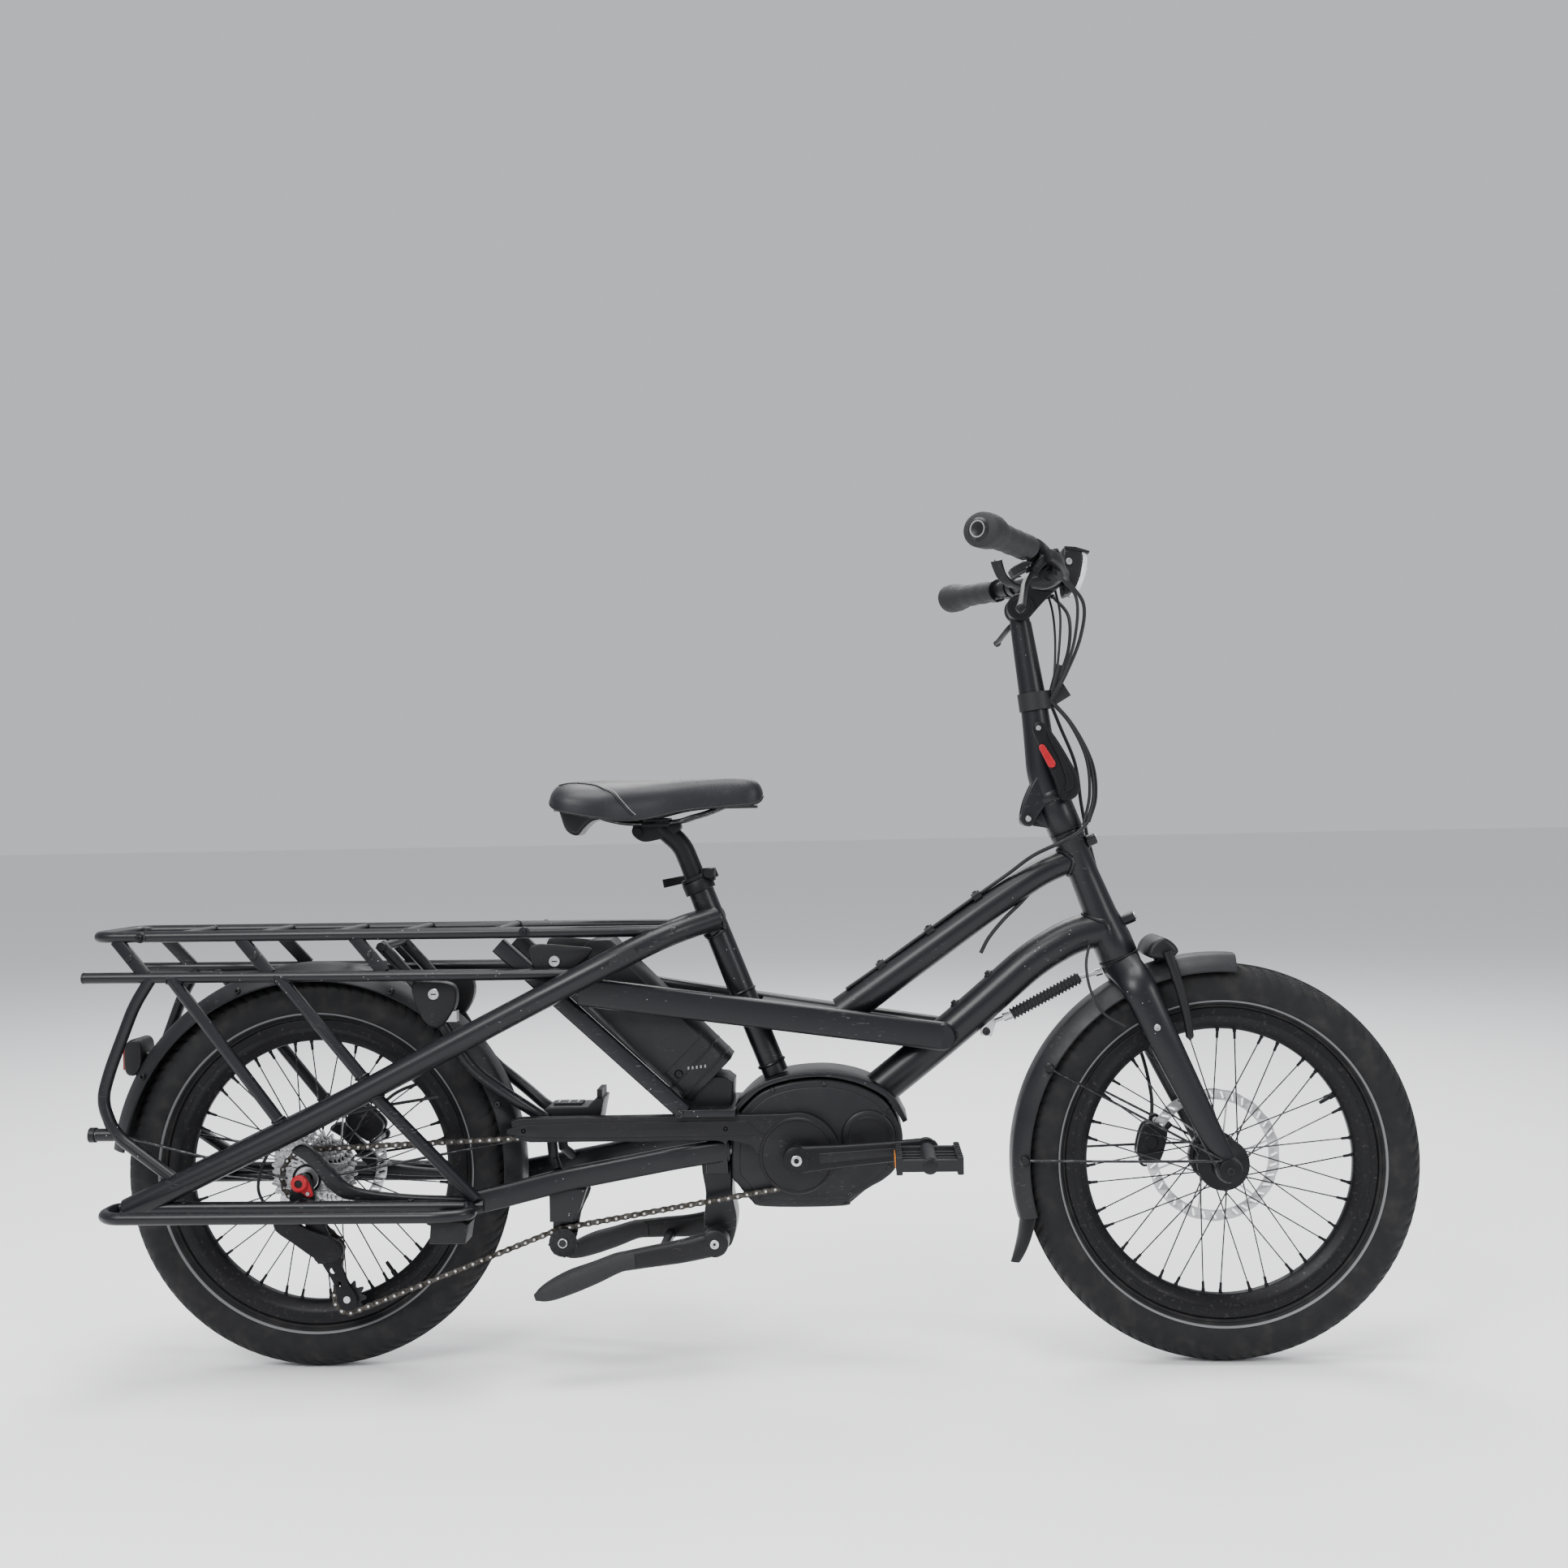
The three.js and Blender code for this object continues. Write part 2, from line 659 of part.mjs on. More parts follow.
// A fender is a section of [radius, y] points turned about the wheel through part of a circle.
function fender(radius, halfWidth, centre, from, to, facets) {
  const profile = fenderSection(radius, halfWidth);
  const count = profile.length;
  const corners = [];
  const faces = [];
  for (let i = 0; i <= facets; i++) {
    const angle = THREE.MathUtils.degToRad(from + ((to - from) * i) / facets);
    for (const [r, y] of profile) {
      corners.push(centre[0] + Math.cos(angle) * r, y, centre[2] + Math.sin(angle) * r);
    }
  }
  for (let i = 0; i < facets; i++) {
    for (let k = 0; k < count; k++) {
      const a = i * count + k;
      const b = i * count + ((k + 1) % count);
      faces.push(a, b, a + count, b, b + count, a + count);
    }
  }
  const outline = profile.map(([r, y]) => new THREE.Vector2(r, y));
  for (const [p, q, r] of THREE.ShapeUtils.triangulateShape(outline, [])) {
    const last = facets * count;
    faces.push(p, r, q, last + p, last + q, last + r);
  }
  const geometry = new THREE.BufferGeometry();
  geometry.setAttribute('position', new THREE.Float32BufferAttribute(corners, 3));
  geometry.setIndex(faces);
  return geometry;
}

const REAR_AXLE = [0, 0, TYRE_RADIUS];
const FRONT_AXLE = [WHEELBASE, 0, TYRE_RADIUS];
addPart('rear_fender', fender(284, 37, REAR_AXLE, -9, 173, 20), FENDER);
const frontFender = union(
  fender(279, 37, FRONT_AXLE, 85, 195, 12),
  slab([[944, 196], [950, 196], [956, 122], [948, 118]], -26, 26),
);
addPart('front_fender', frontFender, FENDER);

// ---------------------------------------------------------------- wheels

const TYRE_PROFILE = [
  [205, -12], [216, -25], [236, -30.5], [255, -20], [TYRE_RADIUS, 0],
  [255, 20], [236, 30.5], [216, 25], [205, 12], [205, -12],
];
const RIM_PROFILE = [
  [RIM_RADIUS, -16], [RIM_RADIUS, 16], [191, 17], [176, 5], [176, -5], [191, -17], [RIM_RADIUS, -16],
];
const FLANGE_TO_SPOKE = 1.6; // from the middle of a hub flange to its inner and outer spokes
const RIM_TO_SPOKE = 2.5; // from the middle of the rim to each side's spokes
const SPOKE_SLANT = 0.55; // in radians, between a spoke's two ends
const SPOKE_REACH = 175.1;

function spokes(centre, flangeRadius, flanges, turn) {
  const rods = [];
  const pairs = SPOKES_PER_WHEEL / 4;
  flanges.forEach((flange, side) => {
    for (let i = 0; i < pairs; i++) {
      for (const lean of [-1, 1]) {
        const root = ((i + side * 0.5 + lean * 0.12) / pairs) * Math.PI * 2 + turn;
        const tip = root + lean * SPOKE_SLANT;
        const flangeY = flange + lean * FLANGE_TO_SPOKE;
        const rimY = side === 0 ? -RIM_TO_SPOKE : RIM_TO_SPOKE;
        const from = [Math.cos(root) * flangeRadius, flangeY, Math.sin(root) * flangeRadius];
        const to = [Math.cos(tip) * SPOKE_REACH, rimY, Math.sin(tip) * SPOKE_REACH];
        rods.push(tube([shifted(from, ...centre), shifted(to, ...centre)], 1.3, 3));
      }
    }
  });
  return rods;
}

const FRONT_HUB_PROFILE = [
  [0, -47], [16, -47], [18, -36], [34, -30], [34, -25], [29, -22], [29, 20], [34, 23], [34, 27],
  [20, 34], [20, 40], [14, 47], [0, 47],
];
const REAR_HUB_PROFILE = [
  [0, -23.2], [28, -23.2], [29, -17], [18, -13], [18, 20], [28, 24], [28, 28], [20, 32], [20, 40],
  [15, 50], [0, 50],
];
const frontHub = union(
  turned(FRONT_HUB_PROFILE, FRONT_AXLE, 16),
  ...spokes(FRONT_AXLE, 31, [-27.5, 25], 0.1),
);
const rearHub = union(
  turned(REAR_HUB_PROFILE, REAR_AXLE, 16),
  turned([[0, 40.5], [80, 40.5], [80, 42.3], [0, 42.3]], REAR_AXLE, 28),
  ...spokes(REAR_AXLE, 26, [-19, 26], 0.3),
);
addPart('front_hub', frontHub, BLACK_METAL);
addPart('rear_hub', rearHub, BLACK_METAL);
for (const [name, centre] of Object.entries({ front: FRONT_AXLE, rear: REAR_AXLE })) {
  addPart(`${name}_rim`, turned(RIM_PROFILE, centre, WHEEL_FACETS), BLACK_METAL);
  addPart(`${name}_tyre`, turned(TYRE_PROFILE, centre, WHEEL_FACETS), RUBBER);
}

function rotor(centre, y0, y1) {
  const windows = Array.from({ length: 6 }, (_, i) => {
    const start = i * 60 + 8;
    const outer = arc([centre[0], centre[2]], 74, start + 12, start + 56, 4);
    const inner = arc([centre[0], centre[2]], 34, start + 36, start, 2);
    return [...outer, ...inner];
  });
  const rim = arc([centre[0], centre[2]], 90, 0, 352.5, 47);
  const bore = arc([centre[0], centre[2]], 20.6, 0, 342, 19);
  return slab(rim, y0, y1, [bore, ...windows]);
}

addPart('front_rotor', rotor(FRONT_AXLE, 36.6, 38.4), STEEL);

const CASSETTE_PROFILE = [
  [8, -62], [20, -62], [20, -59.5], [30, -58], [31, -46.4], [43, -45], [55, -32], [57, -26],
  [40, -24.2], [8, -24.2], [8, -62],
];
addPart('cassette', turned(CASSETTE_PROFILE, REAR_AXLE, 24), STEEL);

// ---------------------------------------------------------------- brakes

function caliper(x, z, y, angle) {
  const body = union(
    box([-24, -16, -17], [24, 13, 17]),
    box([-34, 4, -9], [34, 13, 9]),
  );
  const rotorSlot = box([-60, -2.2, -60], [60, 2.2, 9]);
  return moved(cut(body, rotorSlot), x, y, z, angle);
}

// Turns a body about +Y, then moves it.
function moved(body, x, y, z, degrees) {
  const turn = new THREE.Matrix4().makeRotationY(THREE.MathUtils.degToRad(degrees));
  turn.setPosition(x, y, z);
  return body.transform(turn.elements);
}

addPart('front_caliper', caliper(1132, 284, 37.5, -75), BLACK_METAL);
addPart('rear_caliper', caliper(52, 322, 41.4, 42), BLACK_METAL);

// ---------------------------------------------------------------- fork

const CROWN = onSteeringAxis(-HEAD_TUBE_DOWN - 14);
const FORK_DROP = shifted(FRONT_AXLE, 0, 57, 0);

function forkLeg(side) {
  const path = [
    [CROWN[0] - 2, 20, CROWN[2] + 2],
    [CROWN[0] + 12, 52, CROWN[2] - 22],
    [CROWN[0] + 40, 57, CROWN[2] - 86],
    FORK_DROP,
  ];
  const leg = pathOnSide(path, side);
  return sweep(ringSection(23, 12, 0.5), leg, { bend: 26, bendSteps: 2, taper: [1.05, 0.62] });
}

const steererEnds = [onSteeringAxis(-HEAD_TUBE_DOWN - 20), onSteeringAxis(HEAD_TUBE_UP + 24)];
const fork = union(
  tube(steererEnds, STEERER_RADIUS, 16),
  turnedAlong([[0, -12], [24, -12], [26, -6], [26, 13.5], [0, 13.5]], CROWN, steeringUp),
  forkLeg(1),
  forkLeg(-1),
  ...Object.values(SIDES).map((side) => crossRod(WHEELBASE, TYRE_RADIUS, ...spread(49, 66, side), 17)),
  crossRod(WHEELBASE, TYRE_RADIUS, -74, -66, 12, 6),
);
addPart('fork', cut(fork, fenderTool()), PAINT);

function fenderTool() {
  const profile = [
    [200, -38], [258.5, -38], [277, -22.6], [281, 0], [277, 22.6], [258.5, 38], [200, 38], [200, -38],
  ];
  return turned(profile, FRONT_AXLE, 40);
}

// ---------------------------------------------------------------- handlepost

const POST_SPLIT = HEAD_TUBE_UP + 45; // distance of the fold plane along the steering axis

function knuckle(centre, outer, bore, halfWidth) {
  return cut(
    crossRod(centre[0], centre[2], -halfWidth, halfWidth, outer),
    crossRod(centre[0], centre[2], -halfWidth - 1, halfWidth + 1, bore),
  );
}

const lowerPost = cut(
  union(
    turnedAlong(
      [[0, HEAD_TUBE_UP + 0.6], [23.5, HEAD_TUBE_UP + 0.6], [23.5, POST_SPLIT], [0, POST_SPLIT]],
      HEAD_TUBE_CENTRE,
      steeringUp,
    ),
    slab([[966, 718], [1000, 712], [1000, 736], [972, 735]], -10, 10),
    crossRod(POST_HINGE[0], POST_HINGE[2], -10, 10, 10),
  ),
  tube([onSteeringAxis(0), onSteeringAxis(HEAD_TUBE_UP + 26)], STEERER_RADIUS + 0.6, 16),
  crossRod(POST_HINGE[0], POST_HINGE[2], -12, 12, 4.8),
);
addPart('handlepost_lower', lowerPost, PAINT);

const postFoot = onSteeringAxis(POST_SPLIT + 0.6);
const postEars = Object.values(SIDES).map((side) =>
  slab(
    [[962, 722], [968, 717], [976, 719], [992, 744.5], [1006, 757], [990, 790], [976, 770], [964, 740]],
    ...spread(10.8, 17, side),
  ),
);
const postTube = sweep(
  ringSection(22.5, 16),
  [postFoot, onSteeringAxis(POST_SPLIT + 38), [985, 0, 865], [967.3, 0, 990]],
  { bend: 24, taper: [1, 0.64] },
);
const lowerPostTool = turnedAlong(
  [[0, 0], [24, 0], [24, POST_SPLIT + 0.3], [0, POST_SPLIT + 0.3]],
  HEAD_TUBE_CENTRE,
  steeringUp,
);
const splitPlaneTool = turnedAlong([[0, -60], [90, -60], [90, 0], [0, 0]], postFoot, steeringUp, 8);
const upperPost = union(
  cut(postTube, splitPlaneTool),
  ...postEars.map((ear) => cut(ear, lowerPostTool)),
  box([955, -12, 978], [979, 12, 1004]),
  crossRod(POST_HINGE[0], POST_HINGE[2], -17, 17, 4.2),
  knuckle(STEM_PIVOT, 17, 5.8, 12),
);
const headRecess = crossRod(STEM_PIVOT[0], STEM_PIVOT[2], -12.5, 12.5, 5.8);
addPart('handlepost_upper', largest(cut(upperPost, headRecess)), PAINT);

const LEVER_PIVOT = [1017, 0, 755];
const lever = slab(
  [[1010, 748], [1024, 746], [1034, 760], [1036, 776], [1024, 812], [1006, 842], [990, 852], [985, 846],
    [996, 834], [1006, 806], [1012, 776]],
  -38,
  -24,
);
addPart('fold_lever', lever, BLACK_METAL);
addPart('fold_latch', slab([[1003, 790], [1010, 793], [992, 822], [986, 818]], -43, -38.4), RED);

// ---------------------------------------------------------------- handlebar and controls

const BAR_CENTRE = [1008, 0, 1056];
const barPath = [
  [898, -305, 1066],
  [964, -182, 1062],
  [1004, -62, 1057],
  BAR_CENTRE,
  [1004, 62, 1057],
  [964, 182, 1062],
  [898, 305, 1066],
];
const barTube = (grow = 0) => tube(barPath, BAR_RADIUS + grow, 10, { bend: 50 });
const stemArm = cut(
  union(
    slab(
      [[958, 996], [974, 994], [1022, 1044], [1024, 1062], [1010, 1072], [994, 1066], [950, 1014]],
      -19,
      19,
    ),
    crossRod(STEM_PIVOT[0], STEM_PIVOT[2], -24, 24, 17),
  ),
  box([930, -12.4, 970], [986, 12.4, 1030]),
);
const stem = union(stemArm, crossRod(STEM_PIVOT[0], STEM_PIVOT[2], -20, 20, 5.2), barTube());
addPart('handlebar', largest(stem), BLACK_METAL);

for (const [name, side] of Object.entries(SIDES)) {
  const sleeve = sweep(
    ringSection(17, 12),
    pathOnSide([[888, 312, 1066], [902, 292, 1066], [956, 194, 1062]], side),
    { bend: 10, bendSteps: 1, taper: [1.25, 0.92] },
  );
  addPart(`grip_${name}`, largest(cut(sleeve, barTube(GAP))), RUBBER);

  const control = cut(
    union(
      tube(pathOnSide([[968, 172, 1061.6], [976, 146, 1060.8]], side), 16, 12),
      bar(pathOnSide([[988, 178, 1047], [1012, 92, 1041]], side), 20, 18),
      bar(pathOnSide([[975, 150, 1044], [958, 140, 1032]], side), 34, 22),
      bar(pathOnSide([[974, 158, 1060], [992, 164, 1046]], side), 14, 12),
    ),
    barTube(GAP),
  );
  addPart(`control_${name}`, largest(control), PLASTIC);

  const blade = bar(
    pathOnSide([[992, 186, 1026], [968, 206, 1008], [944, 246, 988], [928, 278, 976]], side),
    10,
    7,
    { bend: 14, bendSteps: 2 },
  );
  addPart(`brake_lever_${name}`, blade, BLACK_METAL);
}

addPart('shift_lever', bar([[944, -132, 1018], [930, -146, 1030], [922, -158, 1042]], 14, 5), PLASTIC);

const HEADLIGHT_PROFILE = [[0, 0], [16, 0], [22, 8], [22, 30], [20, 34], [0, 34]];
const headlight = turnedAlong(HEADLIGHT_PROFILE, [1026, 0, 1076], [1, 0, -0.12], 20);
addPart('headlight', largest(cut(headlight, barTube(GAP))), LAMP);

// ---------------------------------------------------------------- drive

const MOTOR_OUTLINE = [[571, 330], [582, 348], [607, 370], [642, 381.5], [682, 385.5], [713, 382.5],
  [744, 373], [772, 355], [790, 324], [793, 300], [784, 268], [768, 252], [750, 242], [724, 226],
  [712, 217], [610, 217], [590, 226], [574, 246], [566, 258], [566, 296]];
const motor = cut(
  union(
    slab(MOTOR_OUTLINE, -43, 44),
    crossRod(748, 308.7, -50, -42, 36, 20),
  ),
  crossRod(CRANK_CENTRE[0], CRANK_CENTRE[2], -60, 60, 10.4, 16),
);
addPart('motor', motor, GREY_PLASTIC);

const chainringTeeth = Array.from({ length: 40 }, (_, i) => {
  const angle = (i / 40) * Math.PI * 2;
  const radius = i % 2 ? 32.8 : 35.6;
  return [CRANK_CENTRE[0] + Math.cos(angle) * radius, CRANK_CENTRE[2] + Math.sin(angle) * radius];
});
const chainring = slab(chainringTeeth, -CHAIN_LINE - 1.2, -CHAIN_LINE + 1.2, [
  arc([CRANK_CENTRE[0], CRANK_CENTRE[2]], 10.4, 0, 342, 19),
]);
addPart('chainring', chainring, STEEL);

for (const [name, side] of Object.entries(SIDES)) {
  const pedal = shifted(CRANK_CENTRE, -PEDAL_OFFSET[0] * side, 0, -PEDAL_OFFSET[2] * side);
  const arm = [shifted(CRANK_CENTRE, 0, side * CRANK_ARM_Y, 0), shifted(pedal, 0, side * CRANK_ARM_Y, 0)];
  const shape = union(
    sweep(roundedSection(13, 29, 5), arm, { taper: [1, 0.86] }),
    crossRod(CRANK_CENTRE[0], CRANK_CENTRE[2], ...spread(81.5, 96, side), 18),
    crossRod(pedal[0], pedal[2], ...spread(82, 94, side), 14),
    crossRod(CRANK_CENTRE[0], CRANK_CENTRE[2], ...spread(0.3, 84, side), 9),
    crossRod(pedal[0], pedal[2], ...spread(90, 196, side), 5, 12),
  );
  addPart(`crank_${name}`, shape, BLACK_METAL);

  const [x, , z] = pedal;
  const platform = cut(
    sideBox([x - 42, z - 12], [x + 42, z + 12], 104, 200, side),
    sideBox([x - 33, z - 20], [x - 12, z + 20], 116, 190, side),
    sideBox([x + 12, z - 20], [x + 33, z + 20], 116, 190, side),
    crossRod(x, z, ...spread(60, 197, side), 5.6, 12),
  );
  addPart(`pedal_${name}`, platform, GREY_PLASTIC);
}

const guardCentre = [CRANK_CENTRE[0], CRANK_CENTRE[2]];
const guardFace = [
  [275, 338], [288, 341], [640, 343],
  ...arc(guardCentre, 56, 90, -20, 9),
  ...arc(guardCentre, 50, -40, -180, 9),
  [590, 300], [560, 309.5], [300, 309.5], [279, 316],
];
const guardWall = [
  [275, 338], [288, 341], [640, 343], ...arc(guardCentre, 56, 90, 12, 6),
  ...arc(guardCentre, 53.4, 12, 90, 6), [640, 340.4], [288, 338.4], [279, 335],
];
const guard = union(
  slab(guardFace, -63, -60, [arc(guardCentre, 14, 0, 342, 19)]),
  slab(guardWall, -61, -44.4),
);
addPart('chain_guard', guard, PLASTIC);

// The chain runs round these wheels in order. turn is 1 where it turns from +X towards +Z.
const JOCKEY_UPPER = [24, 168];
const JOCKEY_LOWER = [52, 104];
const chainWheels = [
  { centre: [CRANK_CENTRE[0], CRANK_CENTRE[2]], radius: CHAINRING_PITCH, turn: 1, steps: 9 },
  { centre: [0, TYRE_RADIUS], radius: 36.5, turn: 1, steps: 7 },
  { centre: JOCKEY_UPPER, radius: 20, turn: -1, steps: 4 },
  { centre: JOCKEY_LOWER, radius: 20, turn: 1, steps: 5 },
  { centre: [GUIDE_PULLEY[0], GUIDE_PULLEY[2]], radius: 17.6, turn: -1, steps: 3 },
];

// The angle on its wheel of every point of a band that runs round the wheels.
function beltPoints(wheels) {
  const count = wheels.length;
  const leave = [];
  const arrive = [];
  wheels.forEach((wheel, i) => {
    const next = wheels[(i + 1) % count];
    const dx = next.centre[0] - wheel.centre[0];
    const dz = next.centre[1] - wheel.centre[1];
    const distance = Math.hypot(dx, dz);
    const along = Math.atan2(dz, dx);
    const lean = Math.asin((next.radius * next.turn - wheel.radius * wheel.turn) / distance);
    const heading = along - lean;
    leave[i] = heading - (Math.PI / 2) * wheel.turn;
    arrive[(i + 1) % count] = heading - (Math.PI / 2) * next.turn;
  });
  const points = [];
  wheels.forEach((wheel, i) => {
    const swept = THREE.MathUtils.euclideanModulo((leave[i] - arrive[i]) * wheel.turn, 2 * Math.PI);
    for (let k = 0; k <= wheel.steps; k++) {
      const angle = arrive[i] + (swept * wheel.turn * k) / wheel.steps;
      points.push({ angle, wheel });
    }
  });
  return points;
}

function beltOutline(wheels, offset) {
  return beltPoints(wheels).map(({ angle, wheel }) => {
    const radius = wheel.radius + offset * wheel.turn;
    return [wheel.centre[0] + Math.cos(angle) * radius, wheel.centre[1] + Math.sin(angle) * radius];
  });
}

const chain = slab(
  beltOutline(chainWheels, CHAIN_HALF_HEIGHT),
  -CHAIN_LINE - 3.2,
  -CHAIN_LINE + 3.2,
  [beltOutline(chainWheels, -CHAIN_HALF_HEIGHT)],
);
addPart('chain', chain, CHAIN_STEEL);

const derailleurOutline = [
  [-14, 246], [2, 248], [14, 222], [30, 190], [36, 172], [26, 158], [12, 160], [2, 196], [-14, 226],
];
const derailleur = union(
  slab(derailleurOutline, -72, -63),
  crossRod(JOCKEY_UPPER[0], JOCKEY_UPPER[1], -74, -62, 15, 14),
);
addPart('derailleur_body', derailleur, BLACK_METAL);

const cagePlate = slab(
  [[12, 172], [24, 181], [36, 172], [50, 130], [64, 104], [56, 92], [44, 94], [38, 106]],
  -59.6,
  -57,
);
const cage = union(
  cagePlate,
  crossRod(JOCKEY_UPPER[0], JOCKEY_UPPER[1], -61.5, -48.6, 4, 8),
  crossRod(JOCKEY_LOWER[0], JOCKEY_LOWER[1], -58, -48.6, 4, 8),
  crossRod(JOCKEY_UPPER[0], JOCKEY_UPPER[1], -51.4, -48.6, 15.2, 16),
  crossRod(JOCKEY_LOWER[0], JOCKEY_LOWER[1], -51.4, -48.6, 15.2, 16),
);
addPart('derailleur_cage', cage, BLACK_METAL);

const pulley = union(
  crossRod(GUIDE_PULLEY[0], GUIDE_PULLEY[2], -53.2, -45.2, 12.8, 16),
  crossRod(GUIDE_PULLEY[0], GUIDE_PULLEY[2], -57.5, -53.6, 19, 20),
  crossRod(GUIDE_PULLEY[0], GUIDE_PULLEY[2], -57, -50, 12, 16),
);
const pulleyBore = crossRod(GUIDE_PULLEY[0], GUIDE_PULLEY[2], -70, -30, 5.8);
addPart('guide_pulley', cut(pulley, pulleyBore), PLASTIC);

// ---------------------------------------------------------------- battery

const BATTERY_TOP = [363, 0, 557];
const BATTERY_FOOT = [537, 0, 383];
const batteryPack = sweep(roundedSection(82, 86, 10), [BATTERY_TOP, BATTERY_FOOT]);
const underRack = box([300, -60, 574], [460, 60, 640]);
addPart('battery', largest(cut(batteryPack, underRack, buttonRecess())), PLASTIC);

function buttonRecess() {
  return crossRod(BUTTON[0], BUTTON[1], -44, -38.6, 5.4, 14);
}

addPart('power_button', crossRod(BUTTON[0], BUTTON[1], -42.2, -40.4, 4.8, 14), GREY_PLASTIC);

// ---------------------------------------------------------------- stand

const STAND_LEG_PATH = [[548, 58, 176], [500, 62, 164], [430, 84, 148], [394, 92, 140], [322, 106, 128]];
const standLegs = Object.values(SIDES).flatMap((side) => [
  crossRod(STAND_PIVOT[0], STAND_PIVOT[2], ...spread(46, 76, side), 18),
  tube(pathOnSide(STAND_LEG_PATH, side), 13, 10, { bend: 20, bendSteps: 2, taper: [1, 0.9] }),
]);
const stand = union(
  crossRod(STAND_PIVOT[0], STAND_PIVOT[2], -74, 74, 9.8, 16),
  ...standLegs,
  bar([[470, -72, 156], [470, 72, 156]], 12, 12),
);
addPart('stand_legs', stand, PLASTIC);

// ---------------------------------------------------------------- seat

const seatDirection = vec(SEAT_TUBE_TOP).sub(vec(SEAT_TUBE_FOOT)).normalize().toArray();
const onSeatAxis = (distance) =>
  SEAT_TUBE_TOP.map((value, i) => value + seatDirection[i] * distance);

const RAIL_PATH = [
  [540, 18, 741], [520, 22, 738], [494, 22, 730], [440, 22, 729], [404, 20, 736], [380, 16, 742],
];
const seatpost = union(
  tube([onSeatAxis(-160), onSeatAxis(40), [489, 0, 708]], SEATPOST_RADIUS, 16, { bend: 12 }),
  slab([[458, 704], [504, 712], [506, 722], [494, 733], [448, 733], [444, 722]], -13, 13),
  box([450, -27, 722], [490, 27, 734]),
  ...Object.values(SIDES).map((side) => tube(pathOnSide(RAIL_PATH, side), 3.6, 6, { bend: 16 })),
);
addPart('seatpost', seatpost, BLACK_METAL);

// The saddle is its plan view cut by its side view.
const SADDLE_SIDE = [[330, 764], [342, 784], [372, 787], [440, 784], [520, 786], [585, 791], [606, 786],
  [618, 772], [616, 758], [600, 748], [560, 746.5], [500, 747], [430, 747], [380, 747], [344, 750]];
const saddlePlan = new THREE.Shape();
saddlePlan.moveTo(619, 0);
saddlePlan.bezierCurveTo(619, 26, 560, 20, 520, 26);
saddlePlan.bezierCurveTo(470, 38, 440, 84, 380, 86);
saddlePlan.bezierCurveTo(340, 84, 329, 60, 332, 0);
saddlePlan.bezierCurveTo(329, -60, 340, -84, 380, -86);
saddlePlan.bezierCurveTo(440, -84, 470, -38, 520, -26);
saddlePlan.bezierCurveTo(560, -20, 619, -26, 619, 0);
const saddleBlank = new THREE.ExtrudeGeometry(saddlePlan, {
  depth: 80,
  bevelEnabled: false,
  curveSegments: 6,
});
saddleBlank.translate(0, 0, 730);
addPart('saddle', solid(saddleBlank).intersect(solid(slab(SADDLE_SIDE, -100, 100))), LEATHER);

const collar = cut(
  union(
    turnedAlong([[0, -18], [21.5, -18], [21.5, 5], [0, 5]], SEAT_TUBE_TOP, seatDirection, 16),
    bar([shifted(SEAT_TUBE_TOP, 14, -12, 6), shifted(SEAT_TUBE_TOP, 14, 12, 6)], 18, 16),
    crossRod(SEAT_TUBE_TOP[0] + 18, SEAT_TUBE_TOP[2] + 8, -18, -10, 7, 10),
  ),
  tube([onSeatAxis(-40), onSeatAxis(0.2)], SEAT_TUBE_RADIUS + 0.5, 16),
  tube([onSeatAxis(-10), onSeatAxis(30)], SEATPOST_RADIUS + 0.8, 16),
);
addPart('seat_collar', largest(collar), BLACK_METAL);

const quickLever = bar(
  [[541, 20.5, 659], [528, 30, 656], [498, 33, 650], [472, 25, 645]],
  8,
  10,
  { bend: 14, bendSteps: 2 },
);
addPart('seat_lever', quickLever, BLACK_METAL);

// ---------------------------------------------------------------- hoses and cables

const frontHose = tube(
  [[1000, 92, 1028], [1034, 70, 1006], [1046, 40, 960], [1038, 24, 900], [1044, 32, 820], [1052, 42, 740],
    [1066, 44, 660], [1076, 46, 600], [1078, 68, 540], [1100, 74, 470], [1130, 74, 400], [1140, 66, 340],
    [1136, 55, 311]],
  2.5,
  5,
  { bend: 30 },
);
addPart('front_brake_hose', frontHose, RUBBER);

const rearHose = tube(
  [[1000, -92, 1028], [1034, -70, 1006], [1044, -40, 960], [1048, -32, 890], [1052, -34, 810],
    [1044, -38, 742], [1010, -36, 702], [960, -27, 668], [920, -10, 636], [820, -6, 568], [756, -4, 526],
    [724, -6, 508], [700, -20, 490]],
  2.5,
  6,
  { bend: 24, bendSteps: 2 },
);
addPart('rear_cables', rearHose, RUBBER);

// ---------------------------------------------------------------- place the bicycle

bicycle.position.x = -WHEELBASE;
export default bicycle;
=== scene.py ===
"""Looks of the long-tail cargo bicycle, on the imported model's frame. Metres, +X forward, +Y left, +Z up."""

import json
import math
import bmesh
import bpy
from mathutils import Matrix, Vector


